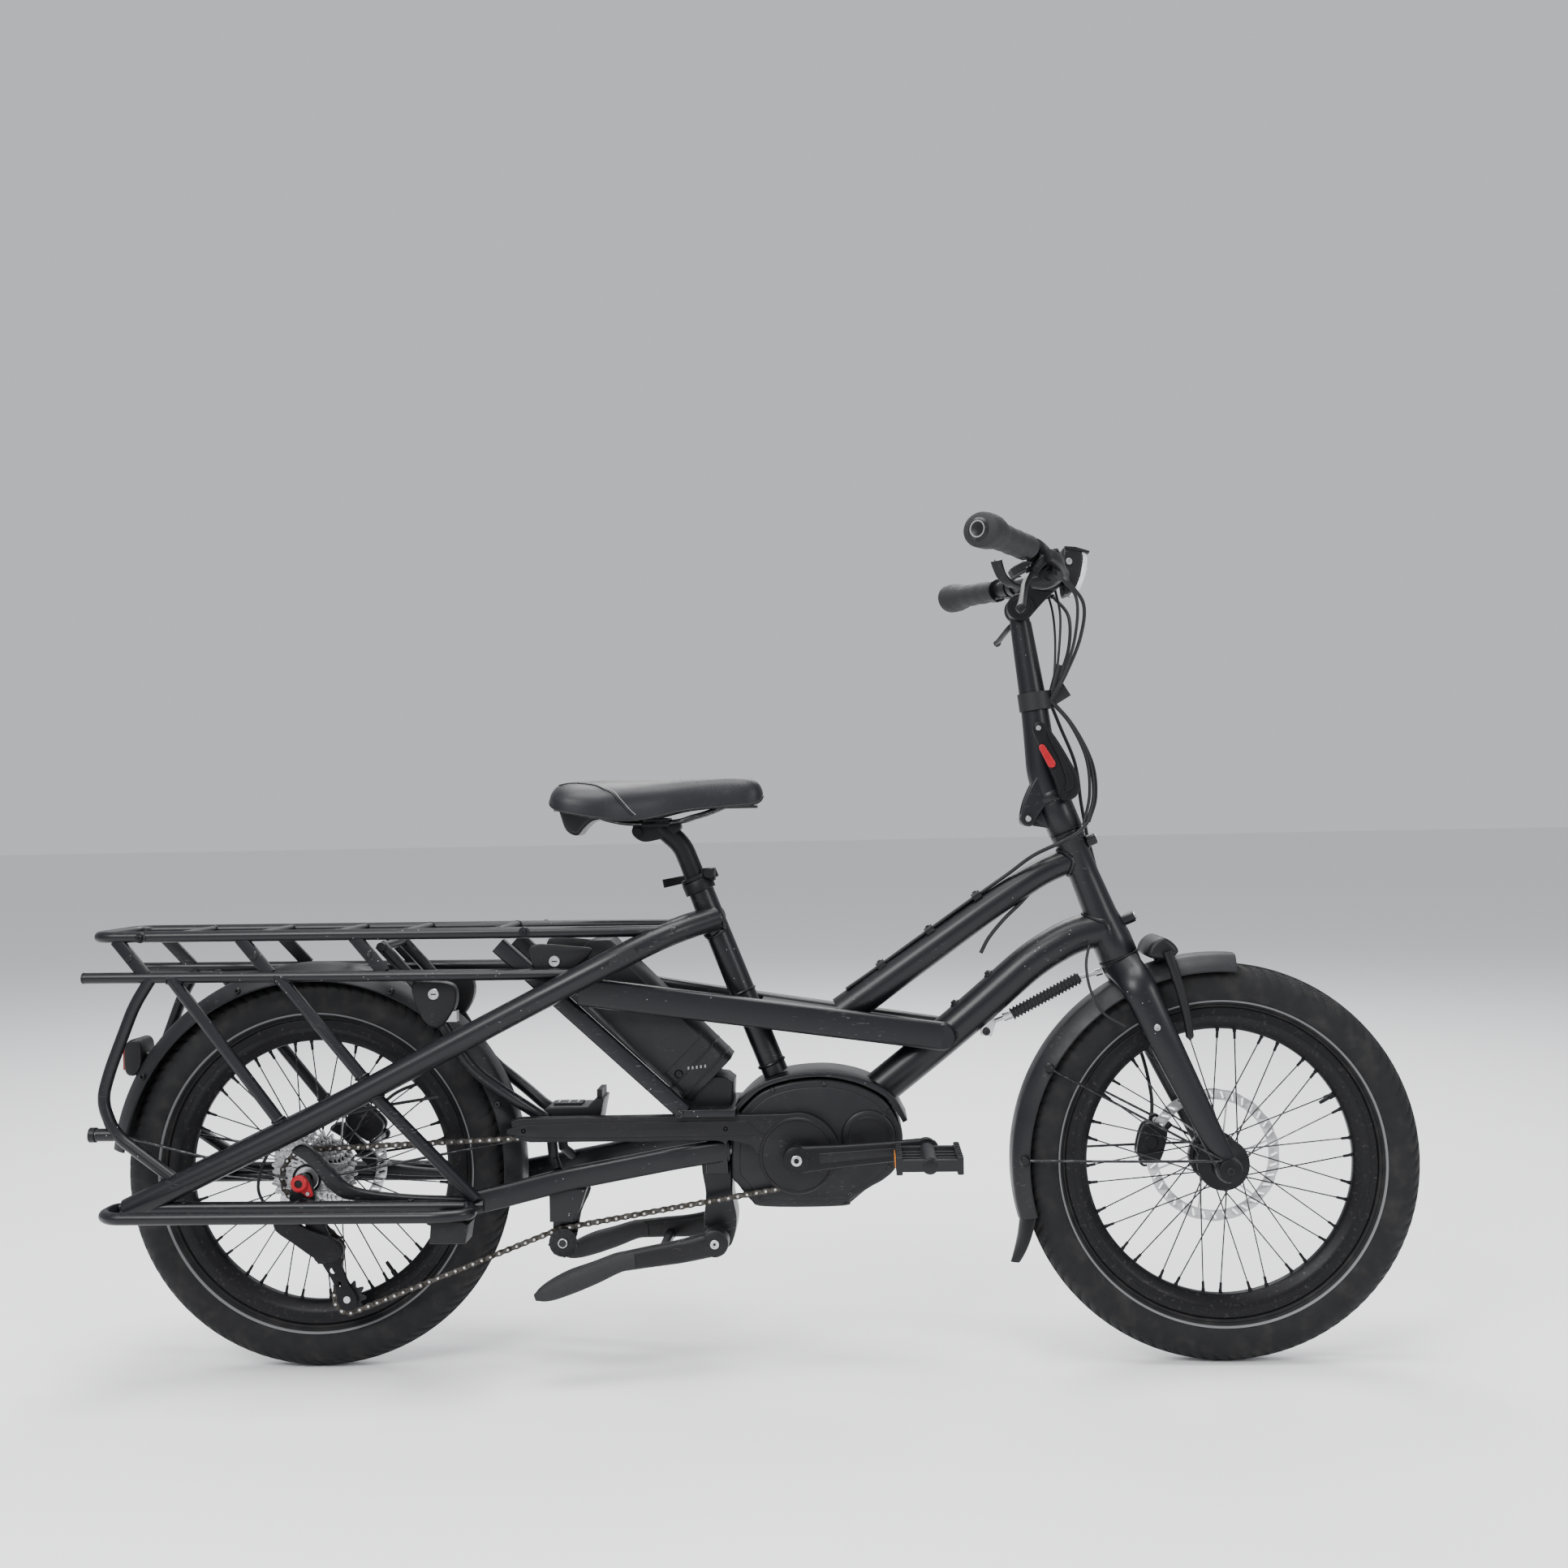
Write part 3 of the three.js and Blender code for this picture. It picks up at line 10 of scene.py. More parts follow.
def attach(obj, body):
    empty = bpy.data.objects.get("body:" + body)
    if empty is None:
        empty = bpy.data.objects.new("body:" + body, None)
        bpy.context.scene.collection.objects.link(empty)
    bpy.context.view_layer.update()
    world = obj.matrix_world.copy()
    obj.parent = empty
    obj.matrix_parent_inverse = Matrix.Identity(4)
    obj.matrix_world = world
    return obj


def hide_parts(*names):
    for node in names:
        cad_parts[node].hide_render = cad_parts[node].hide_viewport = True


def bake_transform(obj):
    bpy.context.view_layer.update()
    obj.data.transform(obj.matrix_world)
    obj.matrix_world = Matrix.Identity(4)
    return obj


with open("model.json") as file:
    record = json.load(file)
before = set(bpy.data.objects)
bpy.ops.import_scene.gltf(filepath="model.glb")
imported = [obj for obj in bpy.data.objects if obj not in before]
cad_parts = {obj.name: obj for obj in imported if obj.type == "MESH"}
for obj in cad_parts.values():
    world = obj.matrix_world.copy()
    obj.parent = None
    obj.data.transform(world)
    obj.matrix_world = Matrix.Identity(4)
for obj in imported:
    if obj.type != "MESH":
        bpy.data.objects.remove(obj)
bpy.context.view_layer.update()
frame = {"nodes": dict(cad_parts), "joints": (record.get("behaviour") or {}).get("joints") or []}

SCENE = bpy.context.scene
JOINT = {joint["name"]: joint for joint in frame["joints"]}
TAU = 2 * math.pi


def pivot(name):
    """Where a joint's axis is."""
    return Vector(JOINT[name]["pos_m"])


FRONT_AXLE = pivot("front_wheel_spin")
REAR_AXLE = pivot("rear_wheel_spin")
STEM = pivot("stem_swivel")
STEERING_UP = Vector(JOINT["steering"]["axis"])
WHEELBASE = FRONT_AXLE.x - REAR_AXLE.x


def mm(x, y, z):
    """A point given in millimetres from the ground under the rear axle."""
    return Vector((x / 1000 - WHEELBASE, y / 1000, z / 1000))


def mms(points):
    """The same for a list of points."""
    return [mm(*p) for p in points]


# ---------------------------------------------------------------- camera


def make_camera():
    """The photograph's viewpoint: from the right, a little above the rack, with a very small roll."""
    yaw, pitch, roll = (math.radians(a) for a in (2.336, 1.302, -1.059))
    forward = Vector((-math.sin(yaw) * math.cos(pitch), math.cos(yaw) * math.cos(pitch), math.sin(pitch)))
    right = Vector((math.cos(yaw), math.sin(yaw), 0))
    up = right.cross(forward)
    tilted_right = right * math.cos(roll) + up * math.sin(roll)
    tilted_up = up * math.cos(roll) - right * math.sin(roll)
    data = bpy.data.cameras.new("camera")
    data.lens = 38.24
    data.sensor_width = 36
    camera = bpy.data.objects.new("camera", data)
    turn = Matrix((tilted_right, tilted_up, -forward)).transposed().to_4x4()
    camera.matrix_world = Matrix.Translation(mm(735.1, -2260.8, 727.6)) @ turn
    SCENE.collection.objects.link(camera)
    SCENE.camera = camera


make_camera()

# ---------------------------------------------------------------- materials


class Look:
    """A procedural material: a Principled shader fed by noise, in object coordinates in metres."""

    def __init__(self, name, slot, color, roughness, metallic=0.0):
        self.slot = slot
        self.material = bpy.data.materials.new(name)
        self.material.use_nodes = True
        self.nodes = self.material.node_tree.nodes
        self.links = self.material.node_tree.links
        self.shader = self.nodes["Principled BSDF"]
        self.shader.inputs["Metallic"].default_value = metallic
        self.shader.inputs["Specular IOR Level"].default_value = 0.26
        self.place = self.nodes.new("ShaderNodeTexCoord").outputs["Object"]
        self.color = (*color, 1)
        self.rough = roughness
        self.normal = None

    def feed(self, value, socket):
        """Links a socket's value, or sets it where it is a constant."""
        if isinstance(value, (int, float, tuple)):
            socket.default_value = value
        else:
            self.links.new(value, socket)

    def stretched(self, scale):
        node = self.nodes.new("ShaderNodeMapping")
        node.inputs["Scale"].default_value = scale
        self.links.new(self.place, node.inputs["Vector"])
        return node.outputs[0]

    def noise(self, scale, detail=3, stretch=(1, 1, 1), sharp=None):
        """Noise of that many features a metre. sharp=(low, high) turns it into a mask."""
        node = self.nodes.new("ShaderNodeTexNoise")
        node.inputs["Scale"].default_value = scale
        node.inputs["Detail"].default_value = detail
        self.links.new(self.stretched(stretch), node.inputs["Vector"])
        return self.mask(node.outputs["Fac"], *sharp) if sharp else node.outputs["Fac"]

    def cells(self, scale, low, high):
        """A mask that is 1 in the middle of scattered cells."""
        node = self.nodes.new("ShaderNodeTexVoronoi")
        node.inputs["Scale"].default_value = scale
        self.links.new(self.place, node.inputs["Vector"])
        return self.mask(node.outputs["Distance"], high, low)

    def bands(self, scale, direction):
        """Even parallel bands that follow each other in the given direction."""
        node = self.nodes.new("ShaderNodeTexWave")
        node.bands_direction = direction
        node.inputs["Scale"].default_value = scale
        self.links.new(self.place, node.inputs["Vector"])
        return node.outputs["Fac"]

    def mask(self, value, low, high):
        node = self.nodes.new("ShaderNodeMapRange")
        node.inputs["From Min"].default_value = low
        node.inputs["From Max"].default_value = high
        self.links.new(value, node.inputs["Value"])
        return node.outputs[0]

    def math(self, operation, a, b):
        node = self.nodes.new("ShaderNodeMath")
        node.operation = operation
        node.use_clamp = True
        for socket, value in zip(node.inputs, (a, b)):
            self.feed(value, socket)
        return node.outputs[0]

    def facing_up(self):
        """1 on level surfaces that face the sky, where dust settles."""
        normal = self.nodes.new("ShaderNodeNewGeometry").outputs["Normal"]
        split = self.nodes.new("ShaderNodeSeparateXYZ")
        self.links.new(normal, split.inputs[0])
        return self.mask(split.outputs["Z"], 0.55, 1.0)

    def tint(self, color, by):
        """Mixes another colour in where the mask by is 1."""
        node = self.nodes.new("ShaderNodeMix")
        node.data_type = "RGBA"
        self.links.new(by, node.inputs["Factor"])
        self.feed(self.color, node.inputs[6])
        node.inputs[7].default_value = (*color, 1)
        self.color = node.outputs[2]
        return self

    def roughen(self, roughness, by):
        node = self.nodes.new("ShaderNodeMix")
        self.links.new(by, node.inputs["Factor"])
        self.feed(self.rough, node.inputs[2])
        node.inputs[3].default_value = roughness
        self.rough = node.outputs[0]
        return self

    def bump(self, height, depth_mm, strength=1.0):
        node = self.nodes.new("ShaderNodeBump")
        node.inputs["Strength"].default_value = strength
        node.inputs["Distance"].default_value = depth_mm / 1000
        self.links.new(height, node.inputs["Height"])
        if self.normal:
            self.links.new(self.normal, node.inputs["Normal"])
        self.normal = node.outputs[0]
        return self

    def set(self, **sockets):
        for name, value in sockets.items():
            self.shader.inputs[name.replace("_", " ")].default_value = value
        return self

    def done(self):
        self.feed(self.color, self.shader.inputs["Base Color"])
        self.feed(self.rough, self.shader.inputs["Roughness"])
        if self.normal:
            self.links.new(self.normal, self.shader.inputs["Normal"])
        return self


def frame_paint():
    """Satin powder coat with orange peel, small stone chips, rub marks and a little dust."""
    look = Look("satin_black_paint", "paint", (0.0028, 0.0032, 0.0048), 0.3)
    look.roughen(0.5, look.noise(14, 4))
    look.bump(look.noise(620, 2), 0.06)
    scuffs = look.math(
        "MULTIPLY", look.noise(90, 5, (1, 1, 5), (0.62, 0.72)), look.noise(9, 2, sharp=(0.5, 0.62))
    )
    look.tint((0.045, 0.046, 0.05), scuffs).roughen(0.62, scuffs)
    chips = look.math("MULTIPLY", look.cells(120, 0.05, 0.075), look.noise(7, 3, sharp=(0.56, 0.6)))
    look.tint((0.42, 0.42, 0.43), chips)
    look.tint(
        (0.03, 0.029, 0.028), look.math("MULTIPLY", look.facing_up(), look.noise(160, 5, sharp=(0.5, 0.9)))
    )
    return look.set(Coat_Weight=0.1, Coat_Roughness=0.2).done()


def black_alloy():
    """Bead-blasted and anodised aluminium."""
    look = Look("black_anodised_alloy", "black_metal", (0.009, 0.009, 0.01), 0.38, 0.55)
    look.roughen(0.55, look.noise(40, 4))
    look.bump(look.noise(2600, 2), 0.02)
    scratches = look.math(
        "MULTIPLY", look.noise(350, 4, (1, 1, 9), (0.66, 0.7)), look.noise(30, 2, sharp=(0.5, 0.6))
    )
    return look.tint((0.09, 0.09, 0.095), scratches).done()


def rim_alloy():
    """Rim metal with a little brake dust."""
    look = Look("black_rim_alloy", "rim_metal", (0.009, 0.009, 0.01), 0.34, 0.55)
    look.roughen(0.5, look.noise(60, 4))
    return look.tint((0.05, 0.048, 0.045), look.noise(220, 5, sharp=(0.6, 0.82))).done()


def bright_steel():
    """Turned and brushed steel."""
    look = Look("brushed_steel", "steel", (0.46, 0.46, 0.47), 0.28, 1.0)
    look.roughen(0.42, look.noise(700, 3, (1, 0.05, 1)))
    look.bump(look.noise(1500, 2, (1, 0.06, 1)), 0.02)
    return look.tint((0.2, 0.17, 0.14), look.noise(90, 5, sharp=(0.6, 0.8))).done()


def chain_steel():
    """Steel under dark oil."""
    look = Look("oiled_chain_steel", "chain_steel", (0.075, 0.07, 0.065), 0.42, 0.95)
    look.tint((0.03, 0.026, 0.02), look.noise(240, 5, sharp=(0.42, 0.62)))
    return look.roughen(0.6, look.noise(120, 3)).done()


def dark_steel():
    """Blackened steel for spokes, stays and rails."""
    look = Look("dark_spoke_steel", "steel", (0.03, 0.03, 0.032), 0.3, 0.9)
    return look.tint((0.08, 0.08, 0.08), look.noise(180, 3, sharp=(0.5, 0.7))).done()


def black_alloy_bolt():
    """Bolts whose blackening is worn in places."""
    look = Look("blackened_bolt", "steel", (0.03, 0.03, 0.031), 0.32, 0.9)
    look.roughen(0.45, look.noise(300, 3))
    return look.tint((0.16, 0.155, 0.15), look.noise(420, 4, sharp=(0.6, 0.75))).done()


def plastic(name, slot, color, roughness, grain, depth):
    """Moulded plastic with a spark-eroded grain and faint rub marks."""
    look = Look(name, slot, color, roughness)
    look.bump(look.noise(grain, 3), depth)
    look.roughen(roughness + 0.16, look.noise(28, 4, sharp=(0.4, 0.7)))
    rubbed = look.math(
        "MULTIPLY", look.noise(140, 5, (1, 1, 4), (0.62, 0.7)), look.noise(16, 2, sharp=(0.5, 0.6))
    )
    look.tint(tuple(min(1, c * 2.2 + 0.02) for c in color), rubbed)
    return look.done()


def tyre_rubber():
    """Dull rubber with dust in its grain."""
    look = Look("tyre_rubber", "tyre", (0.0062, 0.0063, 0.007), 0.62)
    look.bump(look.noise(900, 4), 0.12)
    look.roughen(0.88, look.noise(55, 4))
    dusty = look.noise(34, 6, sharp=(0.5, 0.85))
    return look.tint((0.022, 0.021, 0.02), dusty).done()


def grip_rubber():
    """Soft rubber with a raised cell pattern."""
    look = Look("ribbed_grip_rubber", "rubber", (0.018, 0.018, 0.019), 0.62)
    look.bump(look.cells(420, 0.1, 0.5), 0.35)
    return look.roughen(0.78, look.noise(60, 4)).done()


def hose_skin():
    """The smooth skin of hoses and cable housings."""
    look = Look("hose_skin", "rubber", (0.011, 0.011, 0.012), 0.42)
    look.bump(look.noise(1800, 2), 0.03)
    return look.roughen(0.55, look.noise(50, 3)).done()


def saddle_leather():
    """Synthetic leather: fine pebbled grain with stretched, shinier patches."""
    look = Look("saddle_leather", "saddle_cover", (0.006, 0.006, 0.0085), 0.36)
    look.bump(look.cells(900, 0.15, 0.7), 0.12, 0.8)
    look.bump(look.noise(260, 5), 0.12, 0.6)
    look.roughen(0.56, look.noise(18, 4))
    look.tint((0.012, 0.012, 0.015), look.noise(70, 5, sharp=(0.55, 0.8)))
    return look.set(Coat_Weight=0.08, Coat_Roughness=0.3).done()


def even_color(name, slot, color, roughness):
    """One colour with a fine grain, for small parts."""
    look = Look(name, slot, color, roughness)
    look.bump(look.noise(500, 2), 0.03)
    look.roughen(roughness + 0.1, look.noise(60, 3))
    return look.done()


def lens_glass():
    """Ribbed, slightly clear lamp glass."""
    look = Look("lamp_lens", "lamp", (0.75, 0.8, 0.84), 0.08)
    look.bump(look.bands(130, "Z"), 0.35)
    return look.set(Coat_Weight=1.0, Coat_Roughness=0.05, Transmission_Weight=0.35).done()


PAINT = frame_paint()
ALLOY = black_alloy()
RIM = rim_alloy()
STEEL = bright_steel()
SPOKE = dark_steel()
CHAIN = chain_steel()
BOLT = black_alloy_bolt()
BLACK_PLASTIC = plastic("black_moulded_plastic", "black_plastic", (0.0045, 0.0045, 0.0052), 0.4, 1500, 0.06)
MOTOR_PLASTIC = plastic("charcoal_plastic", "motor_plastic", (0.0085, 0.0088, 0.0102), 0.42, 1100, 0.09)
FENDER_PLASTIC = plastic("fender_plastic", "fender_plastic", (0.01, 0.0103, 0.012), 0.42, 800, 0.08)
TYRE = tyre_rubber()
GRIP = grip_rubber()
HOSE = hose_skin()
LEATHER = saddle_leather()
RED = even_color("red_anodised", "red", (0.3, 0.006, 0.012), 0.3)
RED_LENS = even_color("red_lens", "red", (0.16, 0.004, 0.006), 0.22)
REFLECTIVE = even_color("reflective_band", "tyre", (0.13, 0.133, 0.135), 0.45)
THREAD = even_color("light_thread", "saddle_cover", (0.34, 0.34, 0.34), 0.7)
AMBER = even_color("amber_reflector", "motor_plastic", (0.5, 0.16, 0.02), 0.2)
SCREEN = even_color("display_glass", "black_plastic", (0.01, 0.012, 0.014), 0.1)
MARK = even_color("grey_print", "black_plastic", (0.2, 0.2, 0.21), 0.5)
LENS = lens_glass()

# ---------------------------------------------------------------- mesh tools


class Shape:
    """Collects vertices and faces of several solids, each with its own material."""

    def __init__(self):
        self.points = []
        self.faces = []
        self.looks = []
        self.face_looks = []

    def add(self, made, look):
        points, faces = made
        if look not in self.looks:
            self.looks.append(look)
        start = len(self.points)
        self.points.extend(points)
        self.faces.extend([tuple(start + i for i in face) for face in faces])
        self.face_looks.extend([self.looks.index(look)] * len(faces))
        return self

    def piece(self, name, body, replaces=(), smooth=38, bevel_mm=0.0):
        mesh = bpy.data.meshes.new(name)
        mesh.from_pydata([tuple(p) for p in self.points], [], self.faces)
        for look in self.looks:
            mesh.materials.append(look.material)
        mesh.polygons.foreach_set("material_index", self.face_looks)
        clean(mesh)
        mesh.shade_smooth()
        mesh.set_sharp_from_angle(angle=math.radians(smooth))
        made = bpy.data.objects.new(name, mesh)
        SCENE.collection.objects.link(made)
        if bevel_mm:
            add_bevel(made, bevel_mm)
        if body:
            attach(made, body)
        if replaces:
            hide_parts(*replaces)
        return made


def clean(mesh):
    """Joins vertices that coincide and turns every face outwards."""
    work = bmesh.new()
    work.from_mesh(mesh)
    bmesh.ops.remove_doubles(work, verts=work.verts, dist=1e-6)
    bmesh.ops.recalc_face_normals(work, faces=work.faces)
    work.to_mesh(mesh)
    work.free()


def add_bevel(made, width_mm):
    """Rounds the edges that fold by more than 52 degrees."""
    bevel = made.modifiers.new("rounded_edges", "BEVEL")
    bevel.width = width_mm / 1000
    bevel.segments = 2
    bevel.limit_method = "ANGLE"
    bevel.angle_limit = math.radians(52)
    bevel.harden_normals = True
    bevel.use_clamp_overlap = True


def rounded(corners, bend_mm=20, steps=6):
    """The corners of a path, each replaced by a short bend."""
    path = [corners[0]]
    for before, corner, after in zip(corners, corners[1:], corners[2:]):
        inward, outward = before - corner, after - corner
        reach = min(bend_mm / 1000, inward.length * 0.45, outward.length * 0.45)
        start = corner + inward.normalized() * reach
        end = corner + outward.normalized() * reach
        for i in range(steps + 1):
            t = i / steps
            path.append(start * (1 - t) ** 2 + corner * 2 * t * (1 - t) + end * t * t)
    return [*path, corners[-1]]


def curved(points, steps=8):
    """A smooth curve through every point."""
    padded = [points[0] * 2 - points[1], *points, points[-1] * 2 - points[-2]]
    path = []
    for a, b, c, d in zip(padded, padded[1:], padded[2:], padded[3:]):
        for i in range(steps):
            t = i / steps
            path.append(
                (
                    b * 2 + (c - a) * t + (a * 2 - b * 5 + c * 4 - d) * t * t + (
                        b * 3 - a - c * 3 + d
                    ) * t**3
                ) / 2
            )
    return [*path, points[-1]]


def shares(path):
    """How far along the path each point is, from 0 to 1."""
    reached = [0.0]
    for a, b in zip(path, path[1:]):
        reached.append(reached[-1] + (b - a).length)
    return [r / reached[-1] for r in reached]


def tube(path, radius_mm, sides=16, closed=False, across=None, width=1.0):
    """A tube along a path. radius_mm may be a function of the share of the way along it."""
    count = len(path)
    rings, faces = [], []
    normal = None
    along = shares(path)
    for i, point in enumerate(path):
        before = path[i - 1] if i or closed else point
        after = path[(i + 1) % count] if i < count - 1 or closed else point
        tangent = (after - before).normalized()
        if across is not None:
            normal = (across - tangent * across.dot(tangent)).normalized()
        elif normal is None:
            normal = tangent.orthogonal().normalized()
        else:
            normal = (normal - tangent * normal.dot(tangent)).normalized()
        side = tangent.cross(normal)
        r = (radius_mm(along[i]) if callable(radius_mm) else radius_mm) / 1000
        for k in range(sides):
            angle = TAU * (k + 0.5) / sides
            rings.append(point + normal * math.cos(angle) * r * width + side * math.sin(angle) * r)
    for i in range(count if closed else count - 1):
        for k in range(sides):
            a, b = i * sides + k, i * sides + (k + 1) % sides
            c, d = ((i + 1) % count) * sides + (k + 1) % sides, ((i + 1) % count) * sides + k
            faces.append((a, b, c, d))
    if not closed:
        faces.append(tuple(reversed(range(sides))))
        faces.append(tuple(range((count - 1) * sides, count * sides)))
    return rings, faces


def rounded_section(width, height, corner, steps=4):
    """A rounded rectangle as (across, up) points."""
    points = []
    for x, y, start in ((1, 1, 0), (-1, 1, 90), (-1, -1, 180), (1, -1, 270)):
        for i in range(steps + 1):
            angle = math.radians(start + 90 * i / steps)
            points.append(
                (
                    x * (width / 2 - corner) + math.cos(angle) * corner,
                    y * (height / 2 - corner) + math.sin(angle) * corner,
                ),
            )
    return points


def sweep(path, section_mm, across=(0, 1, 0), taper=None):
    """A section of (across, up) points carried along a path, kept level in the direction across."""
    across = Vector(across)
    rings = []
    last = len(path) - 1
    along = shares(path)
    for i, point in enumerate(path):
        tangent = (path[min(i + 1, last)] - path[max(i - 1, 0)]).normalized()
        first = (across - tangent * across.dot(tangent)).normalized()
        second = tangent.cross(first)
        grow = taper(along[i]) if taper else (1, 1)
        wide, tall = grow
        rings.append([point + first * (a * wide / 1000) + second * (b * tall / 1000) for a, b in section_mm])
    return skin(rings)


def skin(rings, closed=False):
    """Joins rings of equally many points: round a closed loop of them, or along a run with two end caps."""
    count, sides = len(rings), len(rings[0])
    faces = []
    for i in range(count if closed else count - 1):
        here, there = i * sides, (i + 1) % count * sides
        for k in range(sides):
            following = (k + 1) % sides
            faces.append((here + k, here + following, there + following, there + k))
    if not closed:
        faces.append(tuple(range(sides)))
        faces.append(tuple(range((count - 1) * sides, count * sides)))
    return [point for ring in rings for point in ring], faces


def prism(low, high):
    """The solid between two matching outlines."""
    n = len(low)
    sides = [(k, (k + 1) % n, (k + 1) % n + n, k + n) for k in range(n)]
    return [*low, *high], [tuple(range(n)), tuple(range(n, 2 * n)), *sides]


def block(low, high):
    """A box between two corners in millimetres."""
    xs, ys, zs = zip(low, high)
    points = [mm(x, y, z) for x in xs for y in ys for z in zs]
    return points, [(0, 1, 3, 2), (4, 6, 7, 5), (0, 4, 5, 1), (2, 3, 7, 6), (0, 2, 6, 4), (1, 5, 7, 3)]


def lathe(profile_mm, origin, axis=(0, 1, 0), segments=64, closed=False):
    """A profile of (radius, distance) points turned about an axis through origin."""
    axis = Vector(axis).normalized()
    first = Vector((0, 1, 0)).rotation_difference(axis) @ Vector((1, 0, 0))
    second = axis.cross(first)
    points, faces, rings = [], [], []
    for radius, distance in profile_mm:
        middle = origin + axis * (distance / 1000)
        if radius == 0:
            rings.append([len(points)])
            points.append(middle)
            continue
        rings.append([len(points) + k for k in range(segments)])
        for k in range(segments):
            angle = TAU * k / segments
            points.append(middle + (first * math.cos(angle) + second * math.sin(angle)) * (radius / 1000))
    pairs = list(zip(rings, rings[1:]))
    if closed:
        pairs.append((rings[-1], rings[0]))
    for low, high in pairs:
        for k in range(segments):
            n = (k + 1) % segments
            face = [low[k % len(low)], low[n % len(low)], high[n % len(high)], high[k % len(high)]]
            face = list(dict.fromkeys(face))
            if len(face) > 2:
                faces.append(tuple(face))
    return points, faces


def plate(loops, y0, y1, edge_mm=0.5, steps=1):
    """Side-view outlines in millimetres, the outer one first and then its holes, made solid from y0 to y1."""
    curve = bpy.data.curves.new("outline", "CURVE")
    curve.dimensions = "2D"
    curve.fill_mode = "BOTH"
    curve.extrude = (y1 - y0) / 2 - edge_mm
    curve.bevel_depth = edge_mm
    curve.bevel_resolution = steps
    curve.offset = -edge_mm
    for loop in loops:
        spline = curve.splines.new("POLY")
        spline.points.add(len(loop) - 1)
        for point, (x, z) in zip(spline.points, loop):
            point.co = (x, z, 0, 1)
        spline.use_cyclic_u = True
    made = bpy.data.objects.new("outline", curve)
    SCENE.collection.objects.link(made)
    mesh = bpy.data.meshes.new_from_object(made.evaluated_get(bpy.context.evaluated_depsgraph_get()))
    middle = (y0 + y1) / 2
    points = [mm(v.co.x, middle - v.co.z, v.co.y) for v in mesh.vertices]
    faces = [tuple(p.vertices) for p in mesh.polygons]
    bpy.data.objects.remove(made)
    bpy.data.curves.remove(curve)
    bpy.data.meshes.remove(mesh)
    return points, faces


def arc(centre, radius, start, end, steps):
    """Points of an arc in side view, in millimetres, with angles in degrees."""
    angles = [math.radians(start + (end - start) * i / steps) for i in range(steps + 1)]
    return [(centre[0] + math.cos(a) * radius, centre[1] + math.sin(a) * radius) for a in angles]


def circle(centre, radius, steps=32):
    """A closed side-view circle, in millimetres."""
    return arc(centre, radius, 0, 360 * (steps - 1) / steps, steps - 1)


def stadium(a, b, radius_a, radius_b, steps=14):
    """The outline round two circles of different size."""
    dx, dz = b[0] - a[0], b[1] - a[1]
    along = math.degrees(math.atan2(dz, dx))
    lean = math.degrees(math.acos((radius_a - radius_b) / math.hypot(dx, dz)))
    return arc(a, radius_a, along + lean, along + 360 - lean, steps) + arc(
        b, radius_b, along - lean, along + lean, steps
    )


def spline_outline(points, steps=6):
    """A closed smooth outline through side-view points."""
    count = len(points)
    made = []
    for i in range(count):
        a, b, c, d = (Vector(points[(i + k) % count]) for k in (-1, 0, 1, 2))
        for s in range(steps):
            t = s / steps
            p = (
                b * 2 + (c - a) * t + (a * 2 - b * 5 + c * 4 - d) * t * t + (b * 3 - a - c * 3 + d) * t**3
            ) / 2
            made.append((p.x, p.y))
    return made


def side_xz(point):
    """A row-frame point as side-view millimetres from under the rear axle."""
    return ((point.x + WHEELBASE) * 1000, point.z * 1000)


def bolt(at, axis, radius=4.0, height=3.5):
    """A socket-head bolt: its head stands on the surface at the point, with a hexagon hole."""
    head = [(0, 0), (radius * 0.96, 0), (radius, 0.3), (radius, height - 0.6), (radius * 0.88, height)]
    socket = [(radius * 0.5, height), (radius * 0.48, height * 0.35), (0, height * 0.3)]
    return lathe(head + socket, at, axis, 18)


def washer_stack(at, axis, radius, height):
    """A plain round cap with a rim."""
    profile = [(0, 0), (radius, 0), (radius, height * 0.75), (radius * 0.92, height), (radius * 0.72, height),
               (radius * 0.68, height * 0.8), (0, height * 0.8)]
    return lathe(profile, at, axis, 36)


def rippled(ring, bead, ripples):
    """A closed bead along a ring of points, thicker and thinner in turn."""
    return tube(ring, lambda t: bead * (1 + 0.16 * math.sin(t * TAU * ripples)), 8, closed=True)


def weld(small_point, small_dir, small_r, big_point, big_dir, big_r, bead=2.3):
    """A rippled bead where a thin tube, coming from small_point, meets a thick one. Radii in millimetres."""
    direction, spine = small_dir.normalized(), big_dir.normalized()
    first = direction.orthogonal().normalized()
    second = direction.cross(first)
    ring = []
    steps = 56
    for i in range(steps):
        angle = TAU * i / steps
        start = small_point + (first * math.cos(angle) + second * math.sin(angle)) * (small_r / 1000)
        offset = (start - big_point) - spine * (start - big_point).dot(spine)
        slope = direction - spine * direction.dot(spine)
        a, b, c = slope.dot(slope), 2 * offset.dot(slope), offset.dot(offset) - (big_r / 1000) ** 2
        inside = max(0, b * b - 4 * a * c)
        ring.append(start + direction * ((-b - math.sqrt(inside)) / (2 * a)))
    return rippled(ring, bead, 26)


def smooth_nodes():
    """A modifier group that shades a CAD node smooth without touching its mesh."""
    group = bpy.data.node_groups.new("smooth_shading", "GeometryNodeTree")
    group.interface.new_socket("Geometry", in_out="INPUT", socket_type="NodeSocketGeometry")
    group.interface.new_socket("Geometry", in_out="OUTPUT", socket_type="NodeSocketGeometry")
    start = group.nodes.new("NodeGroupInput")
    smooth = group.nodes.new("GeometryNodeSetShadeSmooth")
    end = group.nodes.new("NodeGroupOutput")
    group.links.new(start.outputs[0], smooth.inputs["Geometry"])
    group.links.new(smooth.outputs["Geometry"], end.inputs[0])
    return group


SMOOTH = smooth_nodes()


